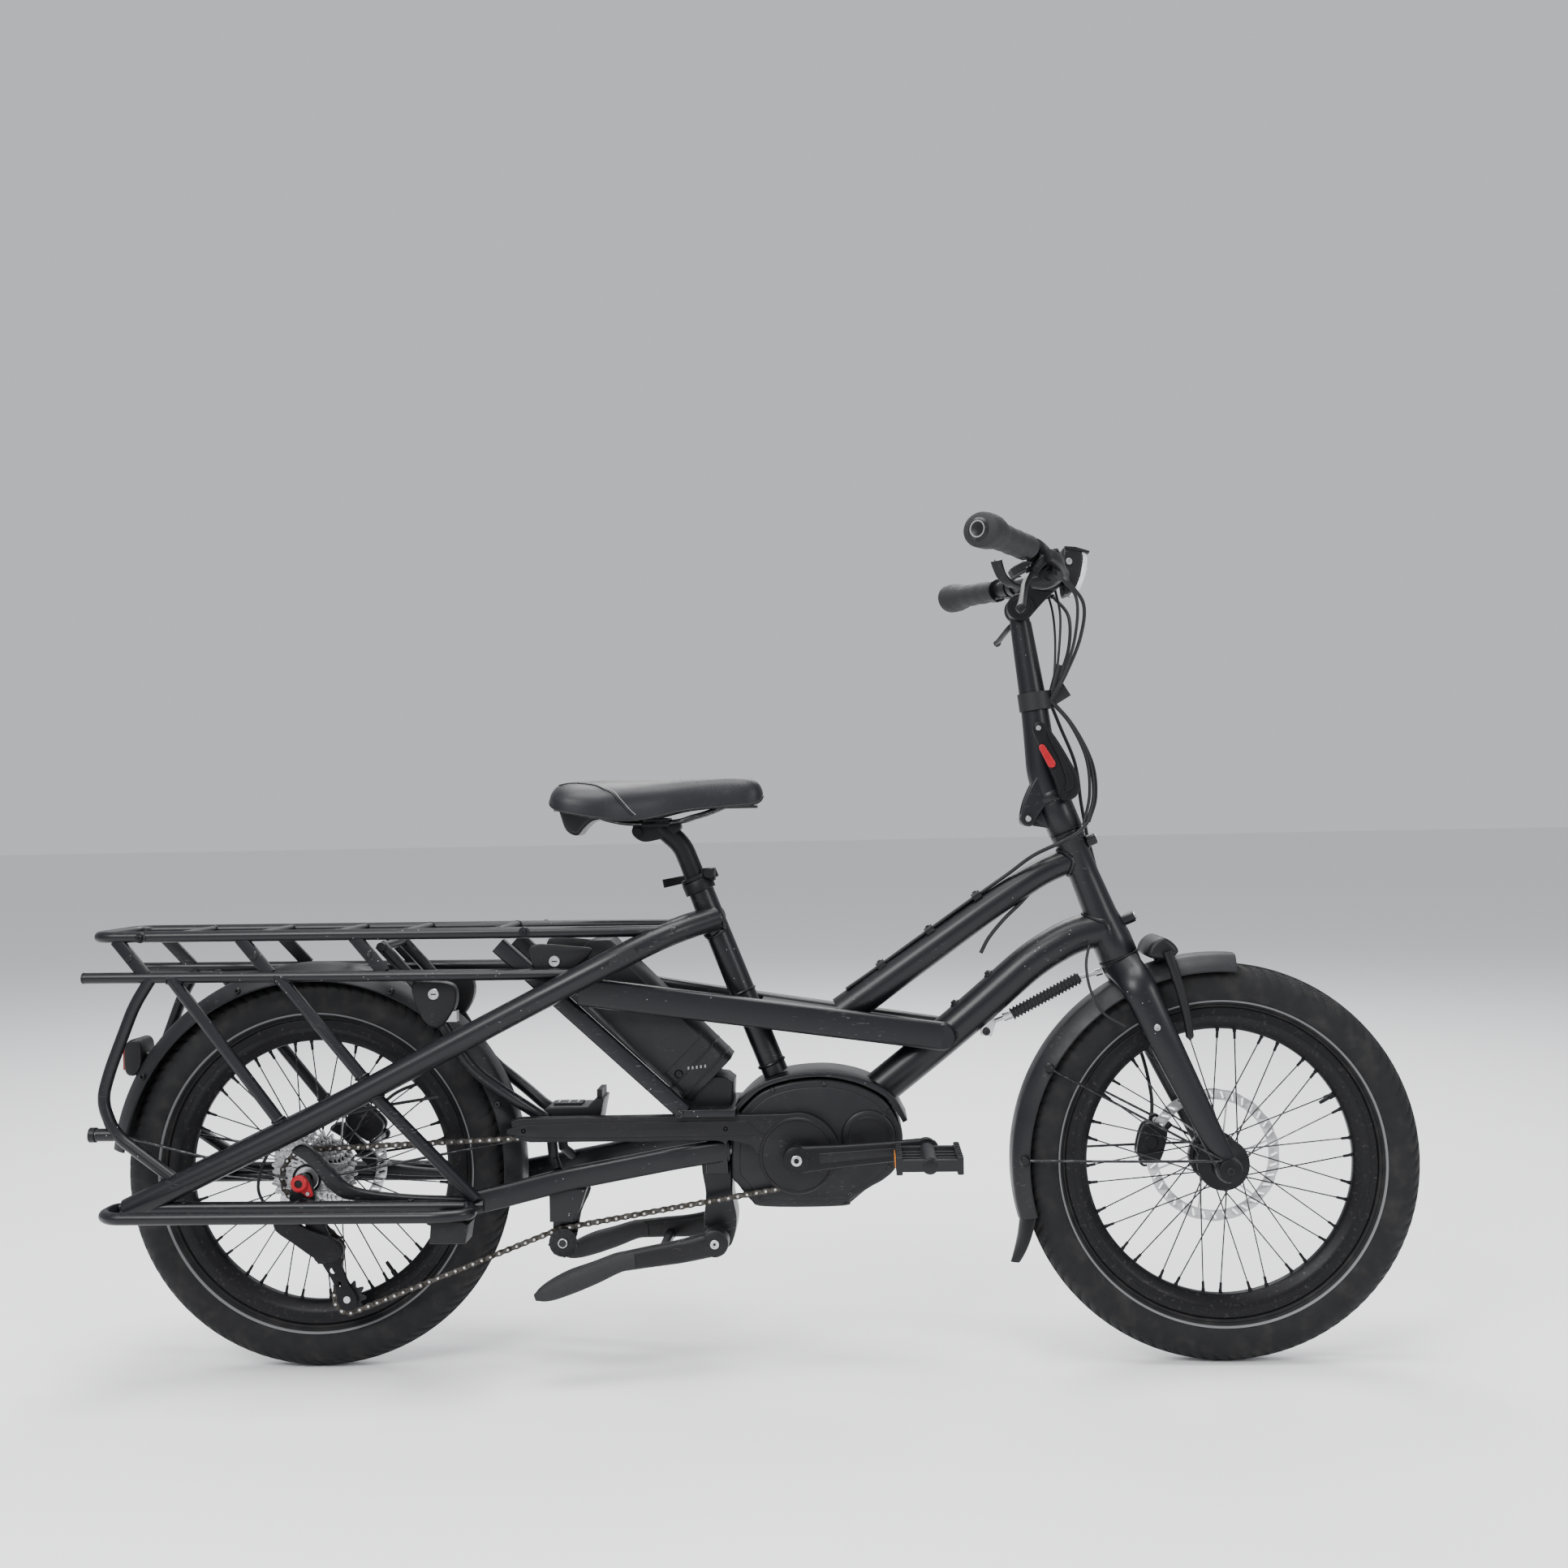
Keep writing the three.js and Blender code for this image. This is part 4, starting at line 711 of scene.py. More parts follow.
def dress(node, look, bevel_mm):
    """Gives a CAD node that stays its material, rounded edges and smooth shading."""
    made = frame["nodes"][node]
    for slot in made.material_slots:
        slot.material = look.material
    made.modifiers.new("joined_corners", "WELD").merge_threshold = 1e-5
    bevel = made.modifiers.new("rounded_edges", "BEVEL")
    bevel.width = bevel_mm / 1000
    bevel.segments = 2
    bevel.angle_limit = math.radians(50)
    made.modifiers.new("smooth_shading", "NODES").node_group = SMOOTH
    split = made.modifiers.new("crisp_edges", "EDGE_SPLIT")
    split.split_angle = math.radians(48)


SIDES = {"right": -1, "left": 1}
Y = Vector((0, 1, 0))
HEAD = mm(1046, 0, 647)
AHEAD = Y.cross(STEERING_UP)


def steered(up, ahead=0):
    """A point given in millimetres along the steering axis and ahead of it."""
    return HEAD + (STEERING_UP * up + AHEAD * ahead) / 1000


def polar(centre, radius, angle, y):
    """A point at a radius in millimetres and an angle in radians round an axle, y to its left."""
    return centre + Vector((math.cos(angle) * radius, y, math.sin(angle) * radius)) / 1000


def mirrored(points, side):
    """A path given for the left side in millimetres, on the side asked for."""
    return mms([(x, y * side, z) for x, y, z in points])


# ---------------------------------------------------------------- frame tubes

DIAGONAL = [(-226, 98, 233), (14, 95, 346), (295, 95, 489), (424, 92, 553), (490, 68, 583), (548, 26, 600)]
TAIL = [(-200, 80, 535), (-222, 82, 500), (-255, 84, 414), (-265, 86, 375), (-247, 89, 331), (-158, 96, 268)]
SEAT_TOP, SEAT_FOOT = mm(521, 0, 652), mm(626, 0, 385)
SEAT_UP = (SEAT_TOP - SEAT_FOOT).normalized()
TOP_TUBE = mms([(1040, 0, 674), (990, 0, 655), (925, 0, 614), (716, 0, 468)])
DOWN_TUBE = mms([(1078, 0, 578), (1030, 0, 569), (975, 0, 538), (870, 0, 448), (745, 0, 350)])


def front_triangle():
    """The top tube and the down tube, each with its weld at the head tube."""
    top = rounded(TOP_TUBE, 60, 10)
    shape = Shape().add(tube(top, lambda t: 21.5 * (0.8 + 0.24 * t), 32), PAINT)
    shape.add(weld(TOP_TUBE[1], TOP_TUBE[0] - TOP_TUBE[1], 18.4, HEAD, STEERING_UP, 20.2, 2.6), PAINT)
    shape.piece("top_tube_smooth", "frame", ["top_tube"])
    down = rounded(DOWN_TUBE, 70, 12)
    shape = Shape().add(tube(down, 24.5, 36), PAINT)
    shape.add(weld(DOWN_TUBE[1], DOWN_TUBE[0] - DOWN_TUBE[1], 24.5, HEAD, STEERING_UP, 22, 2.8), PAINT)
    for x, z in ((914, 517), (868, 478)):
        for made in boss(mm(x, 0, z), (-0.66, 0, 0.75)):
            shape.add(made, BOLT)
    shape.piece("down_tube_smooth", "frame", ["down_tube"])


def mid_beam():
    """The twin beams, their welds on the down tube and the plate between them."""
    shape = Shape()
    for side in (-1, 1):
        path = rounded(mirrored([(372, 79, 510.4), (483, 56, 492), (848, 31, 438.6)], side), 60, 8)
        shape.add(sweep(path, rounded_section(19, 38, 6, 5)), PAINT)
        end = path[-1]
        shape.add(
            lathe([(0, -9.4), (16, -9.4), (18.6, -6.4), (18.8, 6.4), (16, 9.4), (0, 9.4)], end, Y, 44),
            PAINT,
        )
        spine = DOWN_TUBE[4] - DOWN_TUBE[3]
        for offset in (-8, 8):
            foot = end + Vector((offset, 0, -offset * 0.2)) / 1000
            shape.add(weld(foot, Vector((0.1, -side, 0)), 12, DOWN_TUBE[3], spine, 24.6, 1.8), PAINT)
    shape.add(plate([[(608, 488), (842, 453), (842, 447.5), (608, 483)]], -40, 40, 1.2, 2), PAINT)
    shape.piece("mid_beam_smooth", "frame", ["mid_beam"], smooth=36)


def smooth_line(points, steps=6):
    """A smooth side-view line through the points."""
    return [(p.x, p.z) for p in curved([Vector((x, 0, z)) for x, z in points], steps)]


def motor_cradle():
    """The band over the motor, the stays down to it, the stand's knuckle and the chain guide's bracket."""
    outer = smooth_line(
        [
            (566, 342), (575, 355), (603, 379), (640, 391), (682, 395), (716, 392), (750, 382), (781, 363),
            (800, 330),
        ],
    )
    inner = smooth_line(
        [
            (794, 327), (775, 357), (746, 375), (714, 385), (682, 388.4), (642, 384.4), (607, 372.5),
            (582, 351), (573, 338),
        ],
    )
    shape = Shape().add(plate([outer + inner], -46, 46, 1.8, 3), PAINT)
    rear = [(534, 345), (578, 345), (571, 330), (560, 300), (562, 262), (532, 262)]
    shape.add(plate([rear], -46, 46, 2, 2), PAINT)
    shape.add(plate([[(494, 341.4), (574, 341.4), (574, 351.4), (494, 351.4)]], -71, 71, 1.6, 2), PAINT)
    for side in (-1, 1):
        shape.add(sweep(mirrored([(262, 62, 571), (506, 62, 347)], side), rounded_section(17, 22, 4)), PAINT)
        stay = [
            (560, 36, 292), (536, 46, 291), (498, 66, 289), (351, 66, 262), (262, 84, 243), (228, 92, 237)
        ]
        shape.add(sweep(rounded(mirrored(stay, side), 26, 6), rounded_section(17, 30, 6)), PAINT)
        shape.add(bolt(mm(500, side * 71, 346), (0, side, 0), 5.5, 3), BOLT)
        shape.add(bolt(mm(554, side * 46, 322), (0, side, 0), 5.5, 3), BOLT)
    knuckle = spline_outline(
        [
            (526, 276), (562, 276), (565, 228), (570, 196), (562, 164), (544, 158), (528, 166), (526, 196),
            (529, 232),
        ],
        5,
    )
    shape.add(plate([knuckle, circle((544, 177), 10.4, 32)], -28, 28, 3, 3), PAINT)
    arm = spline_outline(
        [(326, 250), (376, 250), (364, 214), (356, 178), (341, 166), (327, 176), (326, 212)], 4
    )
    shape.add(plate([arm], -44, -39, 1, 2), PAINT)
    shape.add(plate([[(326, 250), (376, 250), (366, 222), (356, 206), (326, 206)]], -70, -39, 2, 2), PAINT)
    shape.add(tube([mm(341.2, -61, 175.9), mm(341.2, -40, 175.9)], 5, 20), BOLT)
    shape.piece("motor_cradle_smooth", "frame", ["motor_cradle"], smooth=36)


def seat_tube():
    """The seat tube with its weld beads."""
    shape = Shape().add(tube([SEAT_TOP, SEAT_FOOT + SEAT_UP * 0.004], 17.5, 36), PAINT)
    shape.add(collar_bead(mm(619, 0, 402), SEAT_UP, 17.6, 2.2), PAINT)
    shape.add(collar_bead(mm(581, 0, 499), SEAT_UP, 17.4, 1.9), PAINT)
    shape.piece("seat_tube_smooth", "frame", ["seat_tube"])


def diagonals():
    """The two long tubes from the dropouts up to the seat tube."""
    for name, side in SIDES.items():
        path = rounded(mirrored(DIAGONAL, side), 60, 8)
        shape = Shape().add(tube(path, 16, 28), PAINT)
        shape.add(
            weld(mirrored([(424, 92, 553)], side)[0], path[-1] - path[-6], 16, SEAT_TOP, SEAT_UP, 18.2),
            PAINT,
        )
        shape.piece(f"rear_diagonal_{name}_smooth", "frame", [f"rear_diagonal_{name}"])


def collar_bead(place, direction, radius, bead=1.8):
    """A rippled weld ring round a tube, where it runs square into something."""
    direction = direction.normalized()
    first = direction.orthogonal().normalized()
    second = direction.cross(first)
    ring = []
    for i in range(48):
        angle = TAU * i / 48
        ring.append(place + (first * math.cos(angle) + second * math.sin(angle)) * (radius / 1000))
    return rippled(ring, bead, 22)


def boss(place, axis=(0, 0, 1)):
    """A threaded boss with its bolt."""
    shape = [lathe([(0, -3), (7, -3), (7, 1.5), (5.6, 2.6), (0, 2.6)], place, axis, 24)]
    shape.append(bolt(place + Vector(axis).normalized() * 0.0026, axis, 3.6, 2.6))
    return shape


def top_rack():
    """The rack's rail loop, its crossbars and its slanted stays."""
    loop = rounded(mms([(500, -72, 587), (-280, -72, 590), (-280, 72, 590), (500, 72, 587)]), 26, 8)
    shape = Shape().add(tube(loop, 7.5, 20), PAINT)
    for x in (-171, -60, 46, 139, 262):
        shape.add(tube(mms([(x, -72, 590), (x, 72, 590)]), 5.5, 16), PAINT)
        for side in (-1, 1):
            shape.add(collar_bead(mm(x, side * 65.2, 590), Y, 5.5, 1.2), PAINT)
    for side in (-1, 1):
        for x in (-250, -82, 71):
            stay = mirrored([(x, 72, 586), (x + 42, 79, 538.6)], side)
            shape.add(sweep(stay, rounded_section(8, 17, 2.4)), PAINT)
            middle = (stay[0] + stay[1]) / 2
            shape.add(bolt(middle + Y * side * 0.004, (0, side, 0), 4.6, 1.6), BOLT)
        for x in (-214, 300):
            for made in boss(mm(x, side * 72, 589) + Vector((0, side * 0.0068, 0)), (0, side, 0)):
                shape.add(made, PAINT)
    shape.piece("top_rack_smooth", "frame", ["top_rack"])


def pannier_rails():
    """The side rails with their tail loops, uprights and end plugs."""
    for name, side in SIDES.items():
        shape = Shape()
        shape.add(tube(mirrored([(-292, 80, 536.6), (375, 80, 532.6)], side), 7.4, 20), PAINT)
        for path, radius in (
            (rounded(mirrored(TAIL, side), 28, 8), 8),
            (mirrored([(-171, 81, 533), (-18, 93, 338)], side), 8),
            (mirrored([(-26, 81, 533), (92, 93, 396)], side), 8),
            (mirrored([(-245, 88, 330.5), (-279, 88, 330.5)], side), 8.6),
        ):
            shape.add(tube(path, radius, 20), PAINT)
        for foot, top in (((-18, 93, 338), (-171, 81, 533)), ((92, 93, 396), (-26, 81, 533))):
            ends = mirrored([top, foot], side)
            diagonal = mirrored([DIAGONAL[0], DIAGONAL[2]], side)
            spine = diagonal[1] - diagonal[0]
            shape.add(weld(ends[0], ends[1] - ends[0], 8, diagonal[0], spine, 16.2, 1.8), PAINT)
            rail = mirrored([(-292, 80, 536), (375, 80, 534)], side)
            shape.add(weld(ends[1], ends[0] - ends[1], 8, rail[0], rail[1] - rail[0], 7.6, 1.5), PAINT)
        for x, z, out in ((-290.5, 536.6, -1), (373.5, 532.6, 1)):
            end = mm(x, 80 * side, z)
            shape.add(
                lathe([(0, -1), (7.6, -1), (7.6, 0.6), (6, 1.3), (0, 1.4)], end, (out, 0, 0), 24),
                BLACK_PLASTIC,
            )
        tip = mirrored([(-272, 88, 330.5)], side)[0]
        shape.add(tube([tip, tip + Vector((-0.008, 0, 0))], 10, 22), BLACK_PLASTIC)
        shape.piece(f"pannier_rail_{name}_smooth", "frame", [f"pannier_rail_{name}"])


def foot_decks():
    """Running-board rails with their dropouts, front stays and axle stubs."""
    for name, side in SIDES.items():
        outer = [
            (226, 98.8, 235), (240, 144.5, 235), (206, 158.5, 235), (-222, 158.5, 236), (-240, 140.5, 236),
            (-240, 104.8, 236), (-222, 98.8, 236),
        ]
        shape = Shape()
        shape.add(tube(rounded(mirrored(outer, side), 18, 7), 8, 20), PAINT)
        shape.add(tube(mirrored([(-226, 98.8, 236), (246, 98.8, 235)], side), 8, 20), PAINT)
        stay = mirrored([(84, 95, 398), (236, 100, 243)], side)
        shape.add(tube(stay, 8.5, 20), PAINT)
        diagonal = mirrored([DIAGONAL[1], DIAGONAL[2]], side)
        shape.add(
            weld(stay[1], stay[0] - stay[1], 8.5, diagonal[0], diagonal[1] - diagonal[0], 16.2, 1.8), PAINT
        )
        forging = [
            (-12, 305), (-2, 314), (12, 311), (28, 294), (42, 280), (62, 261), (92, 252), (150, 246),
            (212, 243), (214, 236), (150, 237), (92, 239), (56, 243), (34, 260), (20, 278), (4, 294),
        ]
        shape.add(
            plate([spline_outline(forging, 3)], *sorted((side * 74, side * 87)), edge_mm=3, steps=3), PAINT
        )
        lug = spline_outline([(-14, 238), (-13, 258), (-6, 274), (8, 274), (14, 258), (18, 238)], 3)
        shape.add(plate([lug], *sorted((side * 76, side * 86)), edge_mm=2, steps=2), PAINT)
        axle = mm(0, 0, 264.5)
        if side < 0:
            shape.add(tube([axle - Y * 0.078, axle - Y * 0.024], 6, 20), ALLOY)
            shape.add(lathe([(9, 78), (9, 84), (7.5, 86), (0, 86)], axle, (0, -1, 0), 24), ALLOY)
        else:
            shape.add(tube([axle + Y * 0.052, axle + Y * 0.084], 8, 20), ALLOY)
        for x in (-150, 0, 150):
            shape.add(bolt(mirrored([(x, 98.8, 242.6)], side)[0], (0, 0, 1), 4.2, 1.8), BOLT)
        low, high = sorted((side * 106, side * 150))
        shape.add(
            plate([[(186, 198), (232, 198), (236, 222), (228, 228), (188, 228)]], low, high, 3, 2),
            BLACK_PLASTIC,
        )
        shape.piece(f"foot_deck_{name}_smooth", "frame", [f"foot_deck_{name}"], bevel_mm=0.6)


def dock():
    """The second battery's empty dock with its struts and cover plates."""
    path = [(100, 52, 574), (150, 52, 520), (222, 52, 405), (270, 46, 369), (303, 34, 344), (317, 34, 336)]
    shape = Shape()
    for side in (-1, 1):
        shape.add(tube(rounded(mirrored(path, side), 34, 7), 8, 20), PAINT)
        shape.add(tube(mirrored([(322, 35, 334), (327, 37, 284), (336, 55, 270)], side), 7, 18), PAINT)
    shape.add(tube(mms([(104, -63, 571), (104, 63, 571)]), 6, 18), PAINT)
    shape.add(tube(mms([(316, -42, 335), (316, 42, 335)]), 8, 18), PAINT)
    cradle = [(308, 342), (318, 350), (372, 350), (384, 362), (394, 360), (388, 330), (308, 326)]
    shape.add(plate([cradle], -30, 30, 1.5, 2), BLACK_PLASTIC)
    shape.add(block((324, -14, 349), (362, 14, 353)), MOTOR_PLASTIC)
    shape.add(block((384, -22, 360), (391, 22, 372)), BLACK_PLASTIC)
    for x in (330, 344, 356):
        shape.add(block((x - 1.5, -9, 352), (x + 1.5, 9, 354)), STEEL)
    for side in (-1, 1):
        mount = spline_outline([(306, 570), (364, 568), (388, 563), (366, 541), (324, 520), (312, 536)], 4)
        shape.add(plate([mount], *sorted((side * 63, side * 70.4)), edge_mm=2, steps=2), BLACK_PLASTIC)
        upper = spline_outline([(144, 520), (172, 524), (200, 518), (202, 490), (181, 462), (158, 474)], 4)
        shape.add(plate([upper], *sorted((side * 42, side * 62)), edge_mm=3, steps=2), BLACK_PLASTIC)
    for x, z, y in ((338, 549, -70), (174, 507, -61.6)):
        core = [(7.6, -4), (7.6, 1.4), (6.8, 2.4), (4.8, 2.4), (4.4, 1.6), (0, 1.6)]
        shape.add(lathe(core, mm(x, y, z), (0, -1, 0), 30), STEEL)
        shape.add(block((x - 3.4, y - 2.2, z - 0.8), (x + 3.4, y - 1, z + 0.8)), BLACK_PLASTIC)
    shape.add(block((190, -60, 470), (204, -46, 484)), STEEL)
    shape.piece("dock_frame_smooth", "frame", ["dock_frame"], smooth=36)


def carried_over_frame():
    """The head tube's finish, its headset rings and its luggage bosses."""
    dress("head_tube", PAINT, 0.8)
    shape = Shape()
    for up, radius, height in ((-119, 27.6, 4), (65.4, 23.6, 2.6)):
        profile = [
            (14, 0), (radius - 1, 0), (radius, 0.9), (radius, height - 1.2), (radius - 1.4, height),
            (14, height),
        ]
        shape.add(lathe(profile, steered(up), STEERING_UP, 64), ALLOY)
    for up, ahead in ((42, 33), (-74, 40)):
        shape.add(collar_bead(steered(up, 20.5), AHEAD, 8.2, 1.6), PAINT)
        shape.add(bolt(steered(up, ahead), AHEAD, 5, 2.4), STEEL)
    shape.piece("frame_fittings", "frame")


# ---------------------------------------------------------------- wheels

TYRE_PROFILE = [
    (205, -11), (209, -17), (216, -24.6), (226, -29.4), (236, -30.5), (245, -28.6), (251.5, -24.6),
    (256, -20), (259.6, -14.6), (262, -9.6), (263.8, -4.4), (264.4, 0),
]
GROOVE_MM = 2.2


def tread_depth(share, y):
    """The tread's depth at a share of the turn and y millimetres from the middle: rings and chevrons."""
    on_ring = abs(abs(y) - 6) < 1.1
    on_chevron = (share * 96 + abs(y) * 0.055) % 1 < 0.3 and 7 < abs(y) < 29
    return GROOVE_MM if on_ring or on_chevron else 0


def tyre(name, body, centre):
    """A slick-sided city tyre with a shallow tread and a thin reflective band on each side."""
    crown = [(r, y) for r, y in TYRE_PROFILE if r > 248]
    wall = [p for p in TYRE_PROFILE if p not in crown]
    fine = []
    for (r0, y0), (r1, y1) in zip(crown, crown[1:]):
        steps = max(1, round((y1 - y0) / 1.1))
        fine.extend((r0 + (r1 - r0) * i / steps, y0 + (y1 - y0) * i / steps) for i in range(steps))
    fine.append(crown[-1])
    line = wall + fine
    line += [(r, -y) for r, y in reversed(line[:-1])]
    steps = 576
    rings = []
    for k in range(steps):
        angle = TAU * k / steps
        out = Vector((math.cos(angle), 0, math.sin(angle)))
        ring = []
        for r, y in line:
            cut = tread_depth(k / steps, y) if r > 242 else 0
            ring.append(centre + out * ((r - cut) / 1000) + Y * (y / 1000))
        rings.append(ring)
    shape = Shape().add(skin(rings, closed=True), TYRE)
    for side in (-1, 1):
        band = [(213.6, 22.6), (214.2, 24), (215.8, 25.2), (216.2, 25.4), (216, 24.2), (214.4, 22.4)]
        shape.add(lathe([(r, y * side) for r, y in band], centre, Y, 180, closed=True), REFLECTIVE)
        rib = [(206.6, 15.4), (207.4, 17.4), (209.6, 19), (209.8, 17), (207.6, 14.8)]
        shape.add(lathe([(r, y * side) for r, y in rib], centre, Y, 180, closed=True), TYRE)
    shape.piece(f"{name}_tyre_tread", body, [f"{name}_tyre"], smooth=32)


def rim(name, body, centre, valve_deg):
    """A hollow-section rim with a wear groove and its valve."""
    profile = [
        (204.5, -16), (206, -15.2), (206.2, -13.8), (204.2, -13), (199, -12.4), (197, -8), (195, 0),
        (197, 8), (199, 12.4), (204.2, 13), (206.2, 13.8), (206, 15.2), (204.5, 16.2), (196, 16.9),
        (191, 16.8), (186, 14), (180.4, 9), (177, 6), (176, 3.6), (176, -3.6), (177, -6), (180.4, -9),
        (186, -14), (191, -16.8), (196, -16.9), (204.5, -16.2),
    ]
    shape = Shape().add(lathe(profile, centre, Y, 180, closed=True), RIM)
    for side in (-1, 1):
        groove = [(195.4, side * 16.5), (196, side * 17.1), (196.8, side * 16.5)]
        shape.add(lathe(groove, centre, Y, 180, closed=True), RIM)
    out = Vector((math.cos(math.radians(valve_deg)), 0, math.sin(math.radians(valve_deg))))
    stem = [(0, 20), (2.2, 20), (2.6, 16), (2.6, 6), (3.6, 5), (3.6, -2), (0, -2)]
    shape.add(lathe(stem, centre + out * 0.174, -out, 20), ALLOY)
    shape.piece(f"{name}_rim_smooth", body, [f"{name}_rim"], smooth=30)


def spokes(shape, centre, flange_radius, flanges, turn):
    """Thirty-six laced spokes with their elbows and nipples."""
    for index, flange in enumerate(flanges):
        for i in range(9):
            for lean in (-1, 1):
                root = ((i + index * 0.5 + lean * 0.12) / 9) * TAU + turn
                tip = root + lean * 0.55
                rim_y = -2.5 if index == 0 else 2.5
                start = polar(centre, flange_radius, root, flange + lean * 2.0)
                end = polar(centre, 175.6, tip, rim_y)
                head = polar(centre, flange_radius, root, flange - lean * 1.6)
                shape.add(tube([head, start, start.lerp(end, 0.03), end], 0.95, 8), SPOKE)
                along = (end - start).normalized()
                nipple = [(0, 0), (1.9, 0.4), (2, 9), (2.6, 10.5), (2.6, 13), (0, 13)]
                shape.add(lathe(nipple, end - along * 0.0125, along, 10), ALLOY)


def laced_hub(centre, profile, flange_radius, flanges, turn):
    """A turned hub with its spokes."""
    shape = Shape().add(lathe(profile, centre, Y, 72), ALLOY)
    spokes(shape, centre, flange_radius, flanges, turn)
    return shape


DISC_BAND = 15
DISC_ARMS = 6


def rotor_plate(centre, radius, y0, y1, bore):
    """A brake disc: a drilled band, swept arms and a bored spider."""
    middle = side_xz(centre)
    scallop = []
    for k in range(180):
        r = radius - 1.1 * (0.5 + 0.5 * math.cos(k * TAU / 180 * 18)) ** 2
        a = TAU * k / 180
        scallop.append((middle[0] + math.cos(a) * r, middle[1] + math.sin(a) * r))
    holes = []
    step = 360 / DISC_ARMS
    for i in range(DISC_ARMS):
        start = step * i
        outer_arc = arc(middle, radius - DISC_BAND, start + 15, start + 13 + step, 10)
        hub_arc = arc(middle, bore + 14, start + 2 + step, start + 6, 4)
        holes.append(outer_arc + hub_arc)
    for k in range(36):
        ends = []
        for r, lean in ((radius - DISC_BAND * 0.74, -0.022), (radius - DISC_BAND * 0.28, 0.022)):
            a = TAU * k / 36 + lean
            ends.append((middle[0] + math.cos(a) * r, middle[1] + math.sin(a) * r))
        holes.append(stadium(*ends, 1.35, 1.35, 6))
    holes.append(circle(middle, bore, 40))
    return plate([scallop, *holes], y0, y1, 0.25)


def wheels():
    """Tyres, rims, laced hubs and brake discs."""
    tyre("front", "front_wheel", FRONT_AXLE)
    tyre("rear", "rear_wheel", REAR_AXLE)
    rim("front", "front_wheel", FRONT_AXLE, 29)
    rim("rear", "rear_wheel", REAR_AXLE, -55)
    front = [
        (0, -46.8), (12, -46.8), (16, -45), (17.4, -37), (30, -31.4), (34, -30), (34.6, -28.6),
        (34.6, -26.2), (34, -25), (30, -23), (28.6, -20), (27.6, -10), (27.4, 0), (27.6, 10), (28.6, 18),
        (30, 21.4), (34, 22.6), (34.6, 24), (34.6, 26), (34, 27.2), (22, 32), (20, 35), (20, 40), (15, 45),
        (13, 46.8), (0, 46.8),
    ]
    hub = laced_hub(FRONT_AXLE, front, 31, (-27.5, 25), 0.1)
    hub.piece("front_hub_laced", "front_wheel", ["front_hub"], smooth=34)
    rear = [
        (0, -23.2), (26, -23.2), (28.6, -22), (29.2, -19), (28, -16.4), (21, -13.6), (18.4, -8), (17.6, 0),
        (18.4, 14), (21, 21), (28, 24), (28.8, 26), (28, 28), (22, 31), (20, 34), (20, 40.4), (26, 41),
        (26, 43.4), (18, 44), (15, 49), (0, 49.8),
    ]
    hub = laced_hub(REAR_AXLE, rear, 26, (-19, 26), 0.3)
    hub.add(rotor_plate(REAR_AXLE, 80, 40.5, 42.3, 20), STEEL)
    hub.piece("rear_hub_laced", "rear_wheel", ["rear_hub"], smooth=34)
    shape = Shape().add(rotor_plate(FRONT_AXLE, 90, 36.6, 38.4, 20.6), STEEL)
    for k in range(6):
        shape.add(bolt(polar(FRONT_AXLE, 26, TAU * k / 6 + 0.5, 38.3), Y, 3.4, 1.5), ALLOY)
    shape.piece("front_rotor_drilled", "front_wheel", ["front_rotor"], smooth=30)


# ---------------------------------------------------------------- chain drive

JOCKEY_UPPER, JOCKEY_LOWER = (24, 168), (52, 104)
BELT = [((654, 288.5), 40.4, 1), ((0, 264.5), 36.5, 1), (JOCKEY_UPPER, 20, -1), (JOCKEY_LOWER, 20, 1),
        ((341.2, 175.9), 17.6, -1)]
CHAIN_Y = -50
PITCH = 12.7


def belt_path():
    """Closely spaced side-view points of the chain's run round its wheels."""
    leave, arrive = {}, {}
    count = len(BELT)
    for i, (centre, radius, turn) in enumerate(BELT):
        following, next_radius, next_turn = BELT[(i + 1) % count]
        dx, dz = following[0] - centre[0], following[1] - centre[1]
        lean = math.asin((next_radius * next_turn - radius * turn) / math.hypot(dx, dz))
        heading = math.atan2(dz, dx) - lean
        leave[i] = heading - math.pi / 2 * turn
        arrive[(i + 1) % count] = heading - math.pi / 2 * next_turn
    points = []
    for i, (centre, radius, turn) in enumerate(BELT):
        swept = ((leave[i] - arrive[i]) * turn) % TAU
        steps = max(4, round(swept * radius / 1.5))
        for k in range(steps + 1):
            a = arrive[i] + swept * turn * k / steps
            points.append(Vector((centre[0] + math.cos(a) * radius, centre[1] + math.sin(a) * radius)))
    return points


def even_points(path, spacing):
    """Points at an equal distance, close to the spacing, round a closed side-view path."""
    closed = path + [path[0]]
    lengths = [(b - a).length for a, b in zip(closed, closed[1:])]
    total = sum(lengths)
    count = 2 * round(total / spacing / 2)
    step = total / count
    points, index, walked = [], 0, 0.0
    for k in range(count):
        target = k * step
        while walked + lengths[index] < target:
            walked += lengths[index]
            index += 1
        share = (target - walked) / lengths[index]
        points.append(closed[index].lerp(closed[index + 1], share))
    return points


def link_plate(a, b, y0, y1, height, waist):
    """One side plate of a link: two round ends and a waist."""
    along = (b - a).normalized()
    up = Vector((-along.y, along.x))
    length = (b - a).length
    outline = []
    for k in range(7):
        t = math.pi / 2 + math.pi * k / 6
        outline.append(a + along * math.cos(t) * height + up * math.sin(t) * height)
    outline.append(a + along * length / 2 - up * waist)
    for k in range(7):
        t = -math.pi / 2 + math.pi * k / 6
        outline.append(b + along * math.cos(t) * height + up * math.sin(t) * height)
    outline.append(a + along * length / 2 + up * waist)
    return prism(*([mm(p.x, y, p.y) for p in outline] for y in (y0, y1)))


